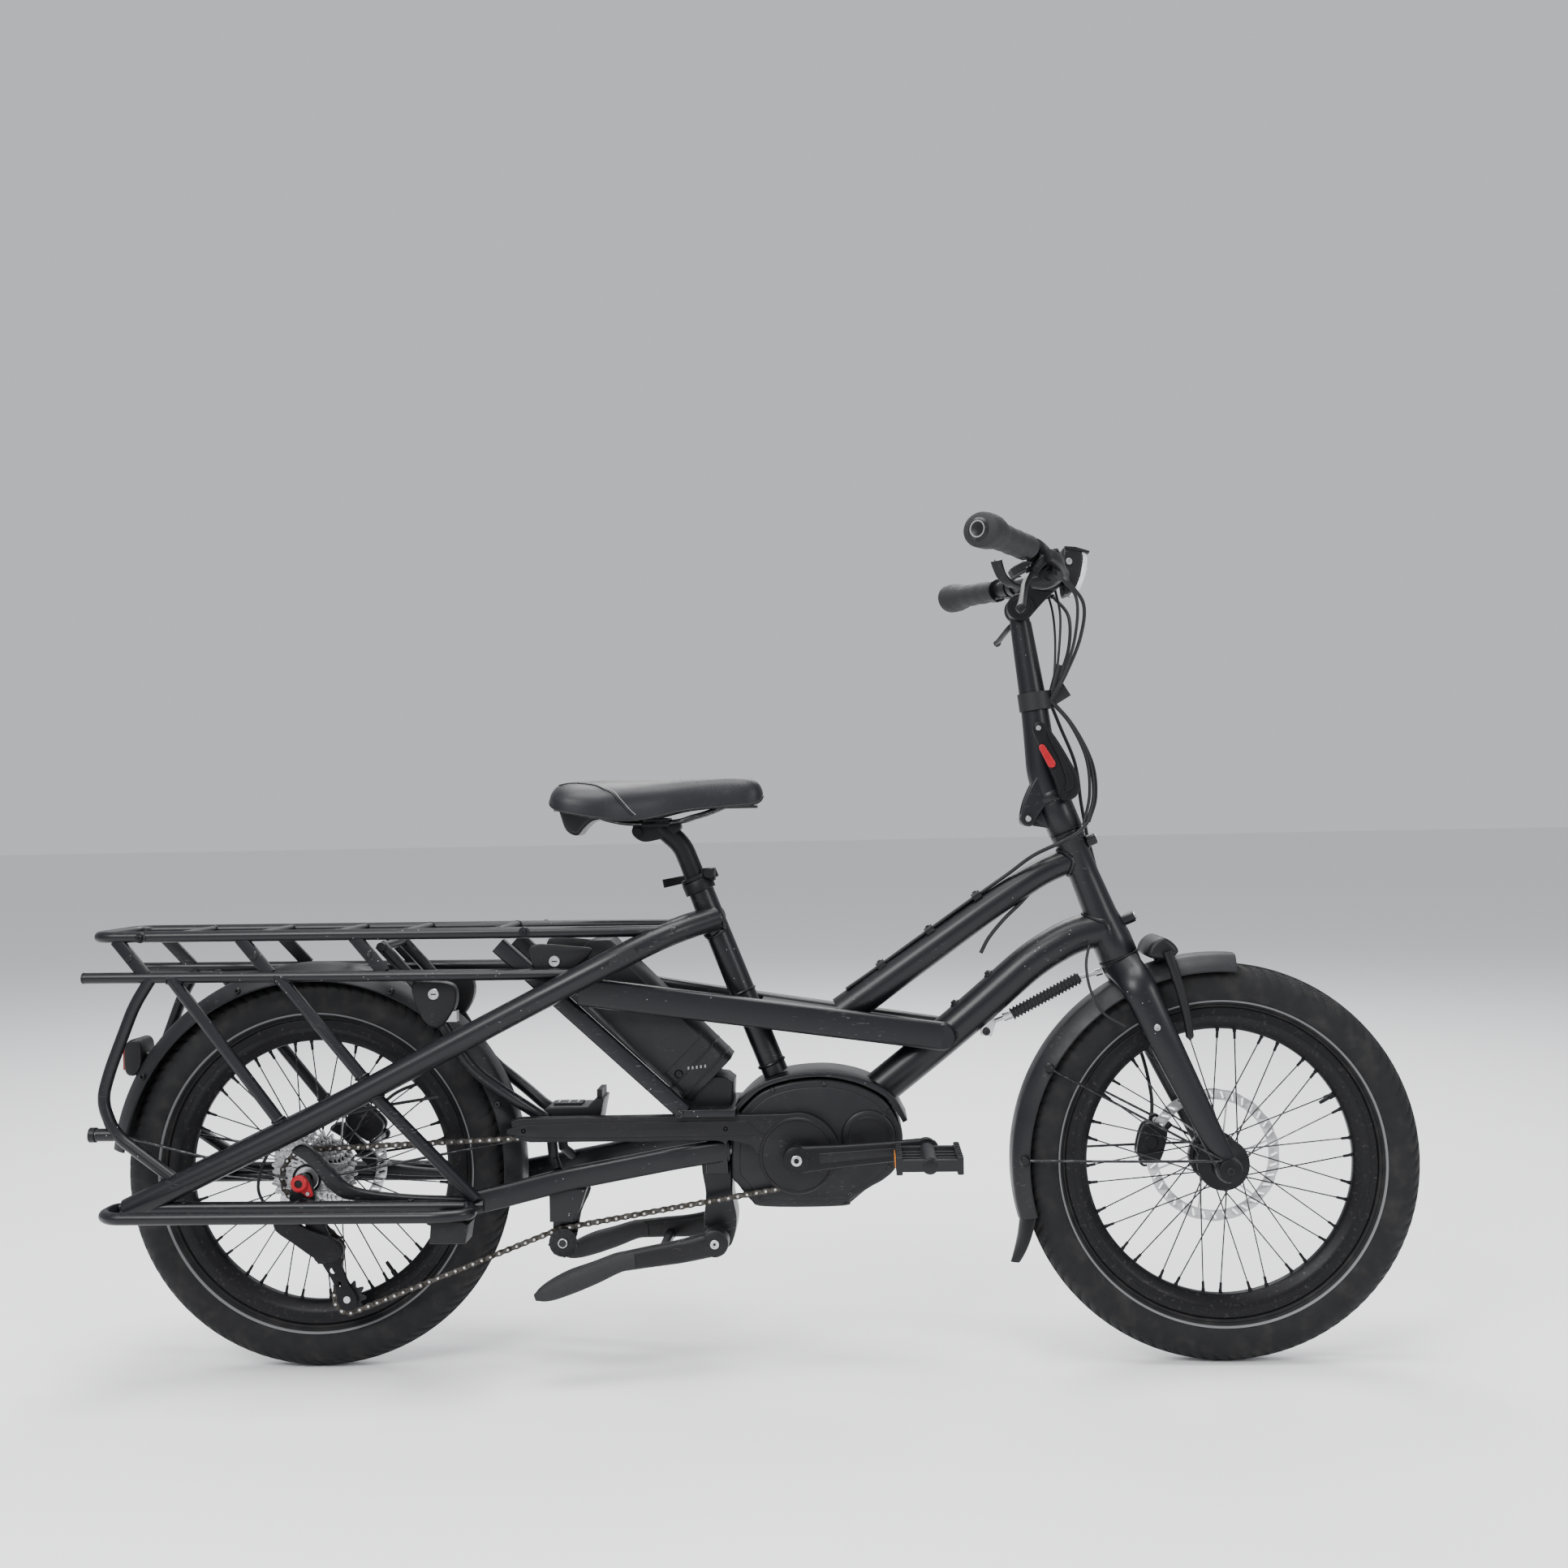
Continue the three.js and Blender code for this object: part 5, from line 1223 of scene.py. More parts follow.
def chain():
    """The chain's links, one piece, lying on its run."""
    pins = even_points(belt_path(), PITCH)
    shape = Shape()
    for k, a in enumerate(pins):
        b = pins[(k + 1) % len(pins)]
        reach = (2.2, 3.0) if k % 2 else (1.3, 2.1)
        for side in (-1, 1):
            y0, y1 = sorted((CHAIN_Y + side * reach[0], CHAIN_Y + side * reach[1]))
            shape.add(link_plate(a, b, y0, y1, 3.9, 2.8), CHAIN)
        pin = mm(a.x, CHAIN_Y, a.y)
        shape.add(lathe([(0, -3.2), (1.7, -3.2), (1.7, 3.2), (0, 3.2)], pin, Y, 10), STEEL)
        shape.add(lathe([(3.6, -1.2), (3.6, 1.2)], pin, Y, 12), CHAIN)
    shape.piece("chain_links", "frame", ["chain"], smooth=30)


def cog(teeth, centre, y0, y1, bore, turn=0.0, windows=0):
    """A toothed wheel with round roller seats."""
    pitch_radius = PITCH / (2 * math.sin(math.pi / teeth))
    outline = []
    for k in range(teeth):
        for share, depth in (
            (0.0, -3.9), (0.14, -3.2), (0.27, -0.4), (0.4, 2.4), (0.5, 2.9), (0.6, 2.4), (0.73, -0.4),
            (0.86, -3.2),
        ):
            a = TAU * (k + share) / teeth + turn
            outline.append(
                (
                    centre[0] + math.cos(a) * (pitch_radius + depth),
                    centre[1] + math.sin(a) * (pitch_radius + depth),
                ),
            )
    holes = [circle(centre, bore, 32)]
    for k in range(windows):
        a = TAU * (k + 0.5) / windows
        r = (pitch_radius + bore) / 2 - 1
        width = (pitch_radius - bore) / 2 - 4.2
        holes.append(circle((centre[0] + math.cos(a) * r, centre[1] + math.sin(a) * r), width, 16))
    return plate([outline, *holes], y0, y1, 0.2)


def drive_wheels():
    """The cassette, the chainring and the guide pulley."""
    centre = (0, 264.5)
    shape = Shape()
    cogs = (
        (11, -59.6), (13, -56.9), (15, -54.4), (18, -50), (20, -45.6), (22, -42), (24, -38.4), (26, -34.8),
        (28, -30),
    )
    for index, (teeth, y) in enumerate(cogs):
        shape.add(cog(teeth, centre, y - 0.85, y + 0.85, 14, index * 0.21, 6 if teeth > 19 else 0), STEEL)
    shape.add(
        lathe(
            [(8, -61.4), (19, -61.4), (19.6, -60.6), (17.4, -58), (17.4, -25), (8, -25)], REAR_AXLE, Y, 40,
            closed=True,
        ),
        ALLOY,
    )
    lock = [(9, -62), (15.4, -62), (17, -60.8), (9, -60.8)]
    shape.add(lathe(lock, REAR_AXLE, Y, 40, closed=True), STEEL)
    shape.piece("cassette_cogs", "gears", ["cassette"], smooth=30)
    shape = Shape().add(cog(20, (654, 288.5), -51, -49, 10.4, 0.1), STEEL)
    shape.piece("chainring_teeth", "sprocket", ["chainring"], smooth=30)
    shape = Shape().add(cog(9, (341.2, 175.9), -51, -49, 5.9, 0.2), MOTOR_PLASTIC)
    pulley = mm(341.2, 0, 175.9)
    shape.add(
        lathe(
            [
                (5.9, -57.4), (15, -57.4), (18.8, -56.8), (18.8, -54.6), (16, -53.8), (12.6, -53),
                (12.6, -46), (5.9, -45.4),
            ],
            pulley, Y, 48, closed=True,
        ),
        MOTOR_PLASTIC,
    )
    for k in range(10):
        at = polar(pulley, 14.6, TAU * k / 10, -57.2)
        shape.add(lathe([(0, 0), (1.5, 0), (1.3, 0.7), (0, 0.8)], at, (0, -1, 0), 10), BLACK_PLASTIC)
    shape.piece("guide_pulley_teeth", "chain_guide", ["guide_pulley"], smooth=34)
    shape = Shape().add(bolt(pulley - Y * 0.0575, (0, -1, 0), 6.4, 3.4), STEEL)
    shape.piece("guide_pulley_bolt", "frame")


def derailleur():
    """The derailleur's body on the frame, and its cage with two pulleys."""
    body = Shape()
    hanger = spline_outline([(-13, 247), (2, 249), (10, 232), (16, 216), (8, 206), (-4, 222), (-13, 234)], 5)
    body.add(plate([hanger, circle((-3, 238), 3, 16)], -71.6, -66, 1.2, 2), ALLOY)
    arm = spline_outline(
        [
            (-38, 214), (-22, 217), (10, 201), (44, 188), (54, 172), (44, 160), (22, 160), (-14, 184),
            (-36, 200),
        ],
        5,
    )
    body.add(plate([arm], -82, -72.6, 3, 3), ALLOY)
    knuckle = spline_outline(
        [(0, 216), (14, 224), (30, 196), (38, 172), (30, 156), (14, 158), (6, 178), (2, 196)], 5
    )
    body.add(plate([knuckle], -72, -64, 1.8, 2), ALLOY)
    for (x, z), r in (((6, 212), 7.5), ((-4, 240), 6.5), ((30, 176), 6)):
        body.add(washer_stack(mm(x, -71, z), (0, -1, 0), r, 2.6), ALLOY)
        body.add(bolt(mm(x, -73.2, z), (0, -1, 0), r * 0.5, 0.8), STEEL)
    body.add(lathe([(0, -73.6), (10, -73.6), (13.6, -72.4), (14.6, -70), (14.6, -62.6), (0, -62.6)],
                   mm(24, 0, 168), Y, 40), ALLOY)
    barrel = mms([(-8, -68, 206), (-20, -68, 214)])
    body.add(tube(barrel, lambda t: 3.6 - 1.2 * t, 14), ALLOY)
    body.piece("derailleur_body_cast", "frame", ["derailleur_body"])
    cage = Shape()
    outline = spline_outline(
        [
            (10, 168), (16, 179), (27, 182), (38, 172), (50, 132), (64, 108), (62, 93), (50, 89), (40, 98),
            (34, 124), (18, 152),
        ],
        5,
    )
    windows = [circle((33, 142), 4, 16), circle((41, 124), 3.4, 16)]
    cage.add(plate([outline, *windows], -59.4, -57.6, 0.5), ALLOY)
    inner = spline_outline(
        [(14, 166), (22, 176), (34, 172), (46, 132), (60, 106), (56, 94), (46, 94), (36, 124)], 5
    )
    cage.add(plate([inner], -44.6, -43.4, 0.4), ALLOY)
    for index, (x, z) in enumerate((JOCKEY_UPPER, JOCKEY_LOWER)):
        cage.add(cog(10, (x, z), -51.2, -48.8, 4.2, 0.3 * index), MOTOR_PLASTIC)
        cage.add(
            lathe([(0, -61.2), (4.6, -61.2), (5, -60.4), (5, -43.4), (0, -43.4)], mm(x, 0, z), Y, 20), STEEL
        )
        cage.add(
            lathe([(10, -52.2), (10.6, -51.4), (10.6, -48.6), (10, -47.8)], mm(x, 0, z), Y, 30),
            MOTOR_PLASTIC,
        )
    cage.piece("derailleur_cage_pulleys", "tension_cage", ["derailleur_cage"], smooth=32)


def motor():
    """The motor's housing with its side covers, ribs, screws and skid plate."""
    outline = [
        (571, 330), (582, 348), (607, 370), (642, 381.5), (682, 385.5), (713, 382.5), (744, 373),
        (772, 355), (790, 324), (793, 300), (784, 268), (768, 252), (750, 242), (724, 226), (712, 217),
        (610, 217), (590, 226), (574, 246), (566, 258), (566, 296),
    ]
    smooth = spline_outline(outline, 5)
    shape = Shape().add(plate([smooth], -43, 44, 5, 4), MOTOR_PLASTIC)
    inset = [(680 + (x - 680) * 0.9, 301 + (z - 301) * 0.88) for x, z in smooth]
    shape.add(plate([inset], -44.6, -36, 1.6, 2), MOTOR_PLASTIC)
    shape.add(plate([inset], 36, 45.4, 1.6, 2), MOTOR_PLASTIC)
    cover = mm(748, 0, 308.7)
    rings = [
        (0, -49.2), (24, -49.2), (24.6, -49.8), (27, -49.8), (27.6, -49), (33, -48.6), (35, -47.4),
        (36, -44.6), (36, -40), (0, -40),
    ]
    shape.add(lathe(rings, cover, Y, 72), BLACK_PLASTIC)
    for k in range(7):
        z = 262 + k * 6
        shape.add(block((610, -45.8, z - 1), (640 - k * 2, -43, z + 1)), MOTOR_PLASTIC)
    for x, z in ((586, 336), (622, 372), (690, 379), (776, 342), (774, 268), (722, 234), (606, 228)):
        shape.add(bolt(mm(x, -43, z), (0, -1, 0), 3.4, 1.4), BOLT)
        shape.add(bolt(mm(x, 44, z), Y, 3.4, 1.4), BOLT)
    skid = [
        (600, 216.6), (718, 216.6), (742, 236), (752, 244), (748, 250), (722, 236), (712, 225), (604, 225)
    ]
    shape.add(plate([skid], -34, 34, 1.2, 2), BLACK_PLASTIC)
    shape.piece("motor_housing", "frame", ["motor"], smooth=34)


def chain_guard():
    """The long chain cover round the chainring."""
    centre = (654, 288.5)
    face = [(275, 338), (288, 341), (640, 343)] + arc(centre, 56, 90, -20, 22) + arc(
        centre, 50, -40, -180, 26
    )
    face += [(592, 303), (566, 309.5), (300, 309.5), (279, 316)]
    ring = circle(centre, 14, 32)
    shape = Shape().add(plate([face, ring], -63, -60, 1.2, 3), BLACK_PLASTIC)
    wall = [(275, 338), (288, 341), (640, 343)] + arc(centre, 56, 90, 12, 12) + arc(centre, 53.4, 12, 90, 12)
    wall += [(640, 340.4), (288, 338.4), (279, 335)]
    shape.add(plate([wall], -61, -44.4, 0.4), BLACK_PLASTIC)
    raised = [(300, 333), (560, 335.5), (588, 334), (600, 322), (586, 316.5), (300, 316)]
    shape.add(plate([spline_outline(raised, 3)], -64.2, -62, 0.8, 2), BLACK_PLASTIC)
    groove = [(46, -63), (46.8, -64), (49.4, -64), (50.2, -63)]
    swept = lathe(groove, mm(654, 0, 288.5), Y, 90, closed=True)
    shape.add(swept, BLACK_PLASTIC)
    for x in (292, 560):
        shape.add(bolt(mm(x, -63, 325), (0, -1, 0), 3.4, 1.2), BOLT)
    shape.piece("chain_guard_cover", "frame", ["chain_guard"], smooth=34)


def cranks():
    """The forged arms with their spindle and pedal eyes."""
    for name, side in SIDES.items():
        pedal = mm(654 - 168 * side, side * 88, 288.5 - 13 * side)
        root = mm(654, side * 88, 288.5)
        along = (pedal - root).normalized()
        shape = Shape()
        stations = [root + along * t for t in (-0.017, -0.013, 0, 0.02, 0.06, 0.12, 0.16, 0.17, 0.181, 0.184)]
        widths = (0.5, 0.85, 1.24, 1.14, 1.0, 0.92, 0.94, 0.9, 0.62, 0.3)
        width_at = dict(zip(shares(stations), widths))
        arm = rounded_section(12.6, 29, 4.6)
        shape.add(sweep(stations, arm, taper=lambda t: (1, width_at[t])), ALLOY)
        groove = [root + along * 0.03, root + along * 0.145]
        groove = [p + Y * side * 0.0058 for p in groove]
        shape.add(
            sweep(groove, rounded_section(2.2, 12, 1), taper=lambda t: (1, 1.1 - 0.3 * t)), BLACK_PLASTIC
        )
        cap = [
            (0, 97.4), (5.6, 97.4), (6, 96.6), (8, 96.2), (15.6, 96), (17.6, 94.8), (18, 92), (18, 82),
            (0, 82),
        ]
        shape.add(lathe(cap, mm(654, 0, 288.5), (0, side, 0), 48), ALLOY)
        shape.add(bolt(mm(654, side * 96.3, 288.5), (0, side, 0), 7, 1.2), STEEL)
        eye = mm(654 - 168 * side, 0, 288.5 - 13 * side)
        shape.add(
            lathe(
                [(0, 94.6), (8, 94.6), (8.4, 94), (13, 94), (14, 93), (14, 83), (12.6, 82), (0, 82)], eye,
                (0, side, 0), 40,
            ),
            ALLOY,
        )
        shape.add(tube([root - Y * side * 0.006, mm(654, side * 0.6, 288.5)], 8.8, 28), STEEL)
        shape.add(tube([eye + Y * side * 0.088, eye + Y * side * 0.104], 7, 24), STEEL)
        shape.add(tube([eye + Y * side * 0.1, eye + Y * side * 0.195], 4.8, 20), STEEL)
        shape.piece(f"crank_{name}_forged", "crank", [f"crank_{name}"], smooth=36)


def pedals():
    """Caged platforms: a spindle sleeve, two side rails, two gripping ends with teeth and four reflectors."""
    for name, side in SIDES.items():
        x, z = 654 - 168 * side, 288.5 - 13 * side
        shape = Shape()

        def solid(x0, x1, y0, y1, z0, z1, look):
            low, high = sorted((side * y0, side * y1))
            shape.add(block((x + x0, low, z + z0), (x + x1, high, z + z1)), look)

        sleeve = [mm(x, side * 105, z), mm(x, side * 199, z)]
        shape.add(tube(sleeve, lambda t: 8.6 + 2.2 * math.cos(TAU * t), 28), MOTOR_PLASTIC)
        for y0, y1 in ((104.8, 114.6), (190.4, 199.4)):
            solid(-36, 36, y0, y1, -7.4, 7.4, MOTOR_PLASTIC)
        for end in (-1, 1):
            solid(*sorted((end * 33.6, end * 41.4)), 104.6, 199.6, -11, 11, MOTOR_PLASTIC)
            for k in range(8):
                y = 110 + k * 11.4
                solid(*sorted((end * 34.6, end * 40.4)), y, y + 3.6, -12.6, 12.6, MOTOR_PLASTIC)
            solid(*sorted((end * 41, end * 42.6)), 128, 176, -6.4, 6.4, AMBER)
        for y in (134, 152, 170):
            solid(-34, 34, y - 2, y + 2, -5.4, 5.4, MOTOR_PLASTIC)
        end = mm(x, side * 199.2, z)
        shape.add(
            lathe([(0, 1.4), (7, 1.4), (9, 0.6), (9.6, -2), (0, -2)], end, (0, side, 0), 30), BLACK_PLASTIC
        )
        made = shape.piece(f"pedal_{name}_platform", f"pedal_{name[0]}", [f"pedal_{name}"], bevel_mm=0.8)


# ---------------------------------------------------------------- battery

BATTERY_TOP, BATTERY_FOOT = mm(363, 0, 557), mm(537, 0, 383)


def battery():
    """Detail on the battery's case: end caps, side panels and charge lights."""
    dress("battery", MOTOR_PLASTIC, 1.2)
    dress("power_button", BLACK_PLASTIC, 0.6)
    along = (BATTERY_FOOT - BATTERY_TOP).normalized()
    out = along.cross(Y)

    def at(t, o, y):
        return BATTERY_TOP + along * (t / 1000) + out * (o / 1000) + Y * (y / 1000)

    shape = Shape()
    for side in (-1, 1):
        panel = [at(44, 0, side * 41), at(196, 0, side * 41)]
        shape.add(sweep(panel, rounded_section(3, 72, 1.2)), MOTOR_PLASTIC)
    for t in (214, 234):
        ring = [at(t, 0, 0), at(t + 3, 0, 0)]
        shape.add(sweep(ring, rounded_section(83.4, 87.4, 11.4, 6)), BLACK_PLASTIC)
    for k in range(5):
        x = 509 + k * 5.6
        shape.add(block((x, -42.4, 400 + k * 0.6), (x + 2.4, -40.6, 404 + k * 0.6)), MARK)
    shape.piece("battery_case_details", "battery_pack", bevel_mm=0.4)
    foot = Shape()
    outline = [(489, 381), (506, 395), (536, 392), (560, 388), (569, 381), (567, 345), (507, 345)]
    foot.add(plate([outline], -37, 37, 4, 3), BLACK_PLASTIC)
    foot.piece("battery_socket", "frame")


# ---------------------------------------------------------------- steering


def fork():
    """The crown, the two legs and the axle ends."""
    shape = Shape()
    shape.add(
        lathe(
            [(0, -144), (20, -143), (24.6, -140), (26.4, -135), (26.6, -119), (25, -116.6), (0, -116.6)],
            HEAD, STEERING_UP, 56,
        ),
        PAINT,
    )
    for side in (-1, 1):
        crown = steered(-129)
        path = [crown + Vector((-0.002, side * 0.016, 0.002)), crown + Vector((0.012, side * 0.05, -0.02)),
                crown + Vector((0.040, side * 0.057, -0.086)), FRONT_AXLE + Vector((0, side * 0.057, 0))]
        leg = rounded(path, 40, 10)
        shape.add(tube(leg, lambda t: 23 * (1.05 - 0.43 * t), 32, across=Y, width=0.52), PAINT)
        end = [(0, 66), (13, 66), (16.4, 64.6), (17.4, 62), (17.4, 52), (15.4, 49.6), (0, 49.4)]
        shape.add(lathe(end, FRONT_AXLE, (0, side, 0), 44), PAINT)
    cap = [(0, 74), (7, 74), (9, 73.2), (12.4, 73), (15, 71.6), (15.6, 68), (15, 65), (0, 65)]
    shape.add(lathe(cap, FRONT_AXLE, (0, -1, 0), 44), ALLOY)
    shape.add(bolt(FRONT_AXLE - Y * 0.0735, (0, -1, 0), 5, 1), BLACK_PLASTIC)
    shape.add(tube([FRONT_AXLE - Y * 0.05, FRONT_AXLE + Y * 0.05], 5.6, 20), STEEL)
    for side in (-1, 1):
        shape.add(bolt(mm(1126, side * 67.4, 451), (0, side, 0), 4.4, 2.4), STEEL)
    shape.piece("fork_smooth", "steering", ["fork"], smooth=36)


def fender_strip(centre, radius, half_width, start, end, steps=96):
    """A rolled mudguard: a rounded crown, a step and turned-in lips, swept round the wheel."""
    line = []
    for k in range(25):
        s = k / 12 - 1
        y = s * half_width
        drop = 22 * abs(s) ** 3.2 - 1.4 * max(0, 0.16 - abs(abs(s) - 0.55)) * 6
        line.append((radius - 0.4 - drop, y))
    inner = [(r - 2.1, y * 0.955) for r, y in reversed(line)]
    rings = []
    for i in range(steps + 1):
        angle = start + (end - start) * i / steps
        rings.append([around(centre, r, angle, y) for r, y in line + inner])
    return skin(rings)


def around(centre, radius, angle, y):
    """A point found like polar's, with the angle in degrees."""
    return polar(centre, radius, math.radians(angle), y)


def mud_flap():
    """The flexible flap at the foot of the front mudguard, bowed across and narrowing downwards."""
    flap = []
    for k in range(13):
        t = k / 12
        flap.append((966 - 12 * t - 10 * t * t, 200 - 68 * t, 29 * (1 - 0.75 * t**3), 17 * (1 - 0.5 * t)))
    points, faces = [], []
    for thickness in (0, 2.6):
        for x, z, half, depth in flap:
            for s in range(-4, 5):
                bow = (1 - (s / 4) ** 2) * depth
                points.append(mm(x - bow + thickness, s / 4 * half, z))
    rows = len(flap)
    for layer in (0, rows * 9):
        for i in range(rows - 1):
            for k in range(8):
                a = layer + i * 9 + k
                faces.append((a, a + 1, a + 10, a + 9))
    ring = list(range(9)) + [i * 9 + 8 for i in range(1, rows)] + list(range(rows * 9 - 2, rows * 9 - 10, -1))
    ring += [i * 9 for i in range(rows - 2, 0, -1)]
    for a, b in zip(ring, ring[1:] + ring[:1]):
        faces.append((a, b, b + rows * 9, a + rows * 9))
    return points, faces


def fenders():
    """Both mudguards with their stays, and the front one's flap."""
    shape = Shape().add(fender_strip(REAR_AXLE, 284, 37, -9, 173, 120), FENDER_PLASTIC)
    for angle in (20, 66, 112, 150):
        for side in (-1, 1):
            shape.add(bolt(around(REAR_AXLE, 268, angle, side * 32), (0, side, 0), 4, 6), BOLT)
    shape.piece("rear_fender_rolled", "frame", ["rear_fender"], smooth=40)
    stays = Shape()
    for angle, foot_x in ((168, -22), (9, 24)):
        for side in (-1, 1):
            path = [around(REAR_AXLE, 272, angle, side * 37), mm(foot_x, side * 74, 268)]
            stays.add(tube(path, 1.9, 10), SPOKE)
    stays.piece("rear_fender_stays", "frame")
    shape = Shape().add(fender_strip(FRONT_AXLE, 279, 37, 85, 195, 80), FENDER_PLASTIC)
    shape.add(mud_flap(), BLACK_PLASTIC)
    for angle in (150, 178):
        for side in (-1, 1):
            clip = around(FRONT_AXLE, 262, angle, side * 37)
            shape.add(
                lathe([(0, -4), (6, -4), (6.6, -2), (6.6, 3), (5, 5), (0, 5)], clip, (0, side, 0), 24),
                BLACK_PLASTIC,
            )
            foot = FRONT_AXLE + Vector((-0.006 if angle < 160 else -0.01, side * 0.0665, 0.012))
            shape.add(tube(curved([clip, clip.lerp(foot, 0.5) + Y * side * 0.003, foot], 6), 1.8, 10), SPOKE)
    shape.piece("front_fender_rolled", "steering", ["front_fender"], smooth=40)


def calipers():
    """The two brake calipers with their bolts and cooling fins."""
    for name, body, x, z, y, angle in (
        ("front", "steering", 1132, 284, 37.5, -75), ("rear", "frame", 52, 322, 41.4, 42)
    ):
        turn = Matrix.Rotation(math.radians(angle), 4, "Y")
        shift = Matrix.Translation(mm(x, y, z)) @ turn

        def placed(made):
            points, faces = made
            return [shift @ (p - mm(0, 0, 0)) for p in points], faces

        shape = Shape()
        outline = spline_outline(
            [(-24, -8), (-17, -17), (17, -17), (24, -8), (26, 6), (17, 17), (-17, 17), (-26, 6)], 5
        )
        shape.add(placed(plate([outline], -16, -2.4, 2.6, 3)), ALLOY)
        shape.add(placed(plate([outline], 2.4, 13, 2.6, 3)), ALLOY)
        bridge = [(-20, -17), (20, -17), (22, -9), (-22, -9)]
        shape.add(placed(plate([bridge], -12, 11, 1.4, 2)), ALLOY)
        for side, reach in ((-1, 16), (1, 13)):
            piston = [
                (0, reach + 1.2), (8, reach + 1.2), (9, reach + 0.4), (11, reach), (11.6, reach - 1.5),
                (0, reach - 1.5),
            ]
            shape.add(placed(lathe(piston, mm(0, 0, 2), (0, side, 0), 36)), ALLOY)
        for px in (-29, 29):
            lug = circle((px, 0), 8, 24)
            shape.add(placed(plate([lug], 4, 13, 1.2, 2)), ALLOY)
            shape.add(placed(bolt(mm(px, 4, 0), (0, -1, 0), 4.4, 4)), STEEL)
        for px in (-9, 0, 9):
            shape.add(placed(block((px - 2, -10, -19), (px + 2, 8, -15))), ALLOY)
        shape.add(placed(tube(mms([(18, 4, -15), (30, 4, -22)]), 4, 18)), ALLOY)
        shape.piece(f"{name}_caliper_cast", body, [f"{name}_caliper"], smooth=36)


# ---------------------------------------------------------------- handlepost

POST_FOOT = steered(110.6)
POST_TOP = mm(967.3, 0, 990)
BAND = mm(985, 0, 884)


def handlepost():
    """The folding post above its hinge, its hinge pin and the cable band."""
    dress("handlepost_lower", PAINT, 1.0)
    path = rounded([POST_FOOT, steered(148), mm(985, 0, 865), POST_TOP], 40, 8)
    shape = Shape().add(tube(path, lambda t: 22.5 * (1 - 0.36 * t), 36), PAINT)
    for side in (-1, 1):
        outline = [
            (961, 722), (967, 716), (976, 717), (986, 732), (998, 748), (1010, 757), (1006, 776),
            (994, 794), (982, 782), (970, 760), (963, 740),
        ]
        shape.add(plate([spline_outline(outline, 4)], *sorted((side * 10.8, side * 18.4)), 3, 3), PAINT)
        pin = mm(970, side * 18, 725.6)
        shape.add(lathe([(0, 2.6), (5, 2.6), (7, 2), (7.4, 0), (0, 0)], pin, (0, side, 0), 30), ALLOY)
        shape.add(bolt(pin + Y * side * 0.0024, (0, side, 0), 4, 0.9), STEEL)
    shape.add(
        lathe(
            [(0, -3), (23.4, -3), (24, -1), (24, 7), (22, 10), (0, 10)], POST_FOOT + STEERING_UP * 0.0035,
            STEERING_UP, 48,
        ),
        PAINT,
    )
    ring = [(5.8, -12), (15.6, -12), (17, -10.4), (17, 10.4), (15.6, 12), (5.8, 12)]
    shape.add(lathe(ring, STEM, Y, 48, closed=True), PAINT)
    shape.add(
        tube(
            [POST_TOP - Vector((-0.0006, 0, 0.01)), STEM - Vector((0, 0, 0.012))], 13.6, 32, across=Y,
            width=0.86,
        ),
        PAINT,
    )
    shape.add(bolt(mm(1008, -19, 752), (0, -1, 0), 4.6, 2.4), STEEL)
    shape.piece("handlepost_upper_smooth", "post", ["handlepost_upper"], smooth=38)
    band = Shape()
    lean = (POST_TOP - steered(148)).normalized()
    across = lean.cross(Y)
    loop = []
    for k in range(40):
        a = TAU * k / 40
        loop.append(BAND + across * (-0.0215 * math.cos(a)) + Y * math.sin(a) * 0.0212)
    band.add(strap_loop(loop, lean, 24, 1.6), HOSE)
    tip = BAND + Vector((0.021, -0.003, 0.004))
    end = sweep(
        [
            tip + Vector((0, -0.004, 0)), tip + Vector((0.010, -0.006, 0.006)),
            tip + Vector((0.02, -0.006, 0.012)),
        ],
        rounded_section(1.8, 22, 0.6),
    )
    band.add(end, HOSE)
    band.piece("cable_band", "post")


def strap_loop(loop, up, width, thickness):
    """A closed band of webbing that follows a loop of points."""
    middle = sum(loop, Vector()) / len(loop)
    rings = []
    for p in loop:
        out = (p - middle).normalized()
        corners = ((0, -1), (0, 1), (1, 1), (1, -1))
        rings.append([p + out * (o * thickness / 1000) + up * (u * width / 2000) for o, u in corners])
    return skin(rings, closed=True)


def fold_lever():
    """The post's folding lever and its red safety slider."""
    outline = [
        (1010, 754), (1019, 748), (1034, 756), (1037, 777), (1022, 808), (1004, 838), (990, 853),
        (980, 853), (977, 843), (985, 822), (1000, 786), (1006, 768),
    ]
    shape = Shape().add(plate([spline_outline(outline, 5)], -38, -24, 3.6, 4), ALLOY)
    rib = [
        (1018, 760), (1028, 766), (1029, 778), (1017, 806), (1000, 836), (996, 834), (1010, 804),
        (1018, 778),
    ]
    shape.add(plate([spline_outline(rib, 4)], -40.4, -36, 1.6, 3), ALLOY)
    shape.add(washer_stack(mm(1017, -38, 755), (0, -1, 0), 6.4, 2.6), ALLOY)
    shape.add(bolt(mm(984, -38, 846), (0, -1, 0), 3.6, 2.2), STEEL)
    shape.piece("fold_lever_cast", "post_lever", ["fold_lever"])
    outline = stadium((1000, 798), (988, 820), 5.4, 4.2, 10)
    shape = Shape().add(plate([outline], -43, -38.6, 1.4, 3), RED)
    shape.add(block((991.5, -43.8, 807), (996.5, -42.4, 809.4)), RED)
    shape.piece("fold_latch_slider", "post_latch", ["fold_latch"])


# ---------------------------------------------------------------- handlebar and controls


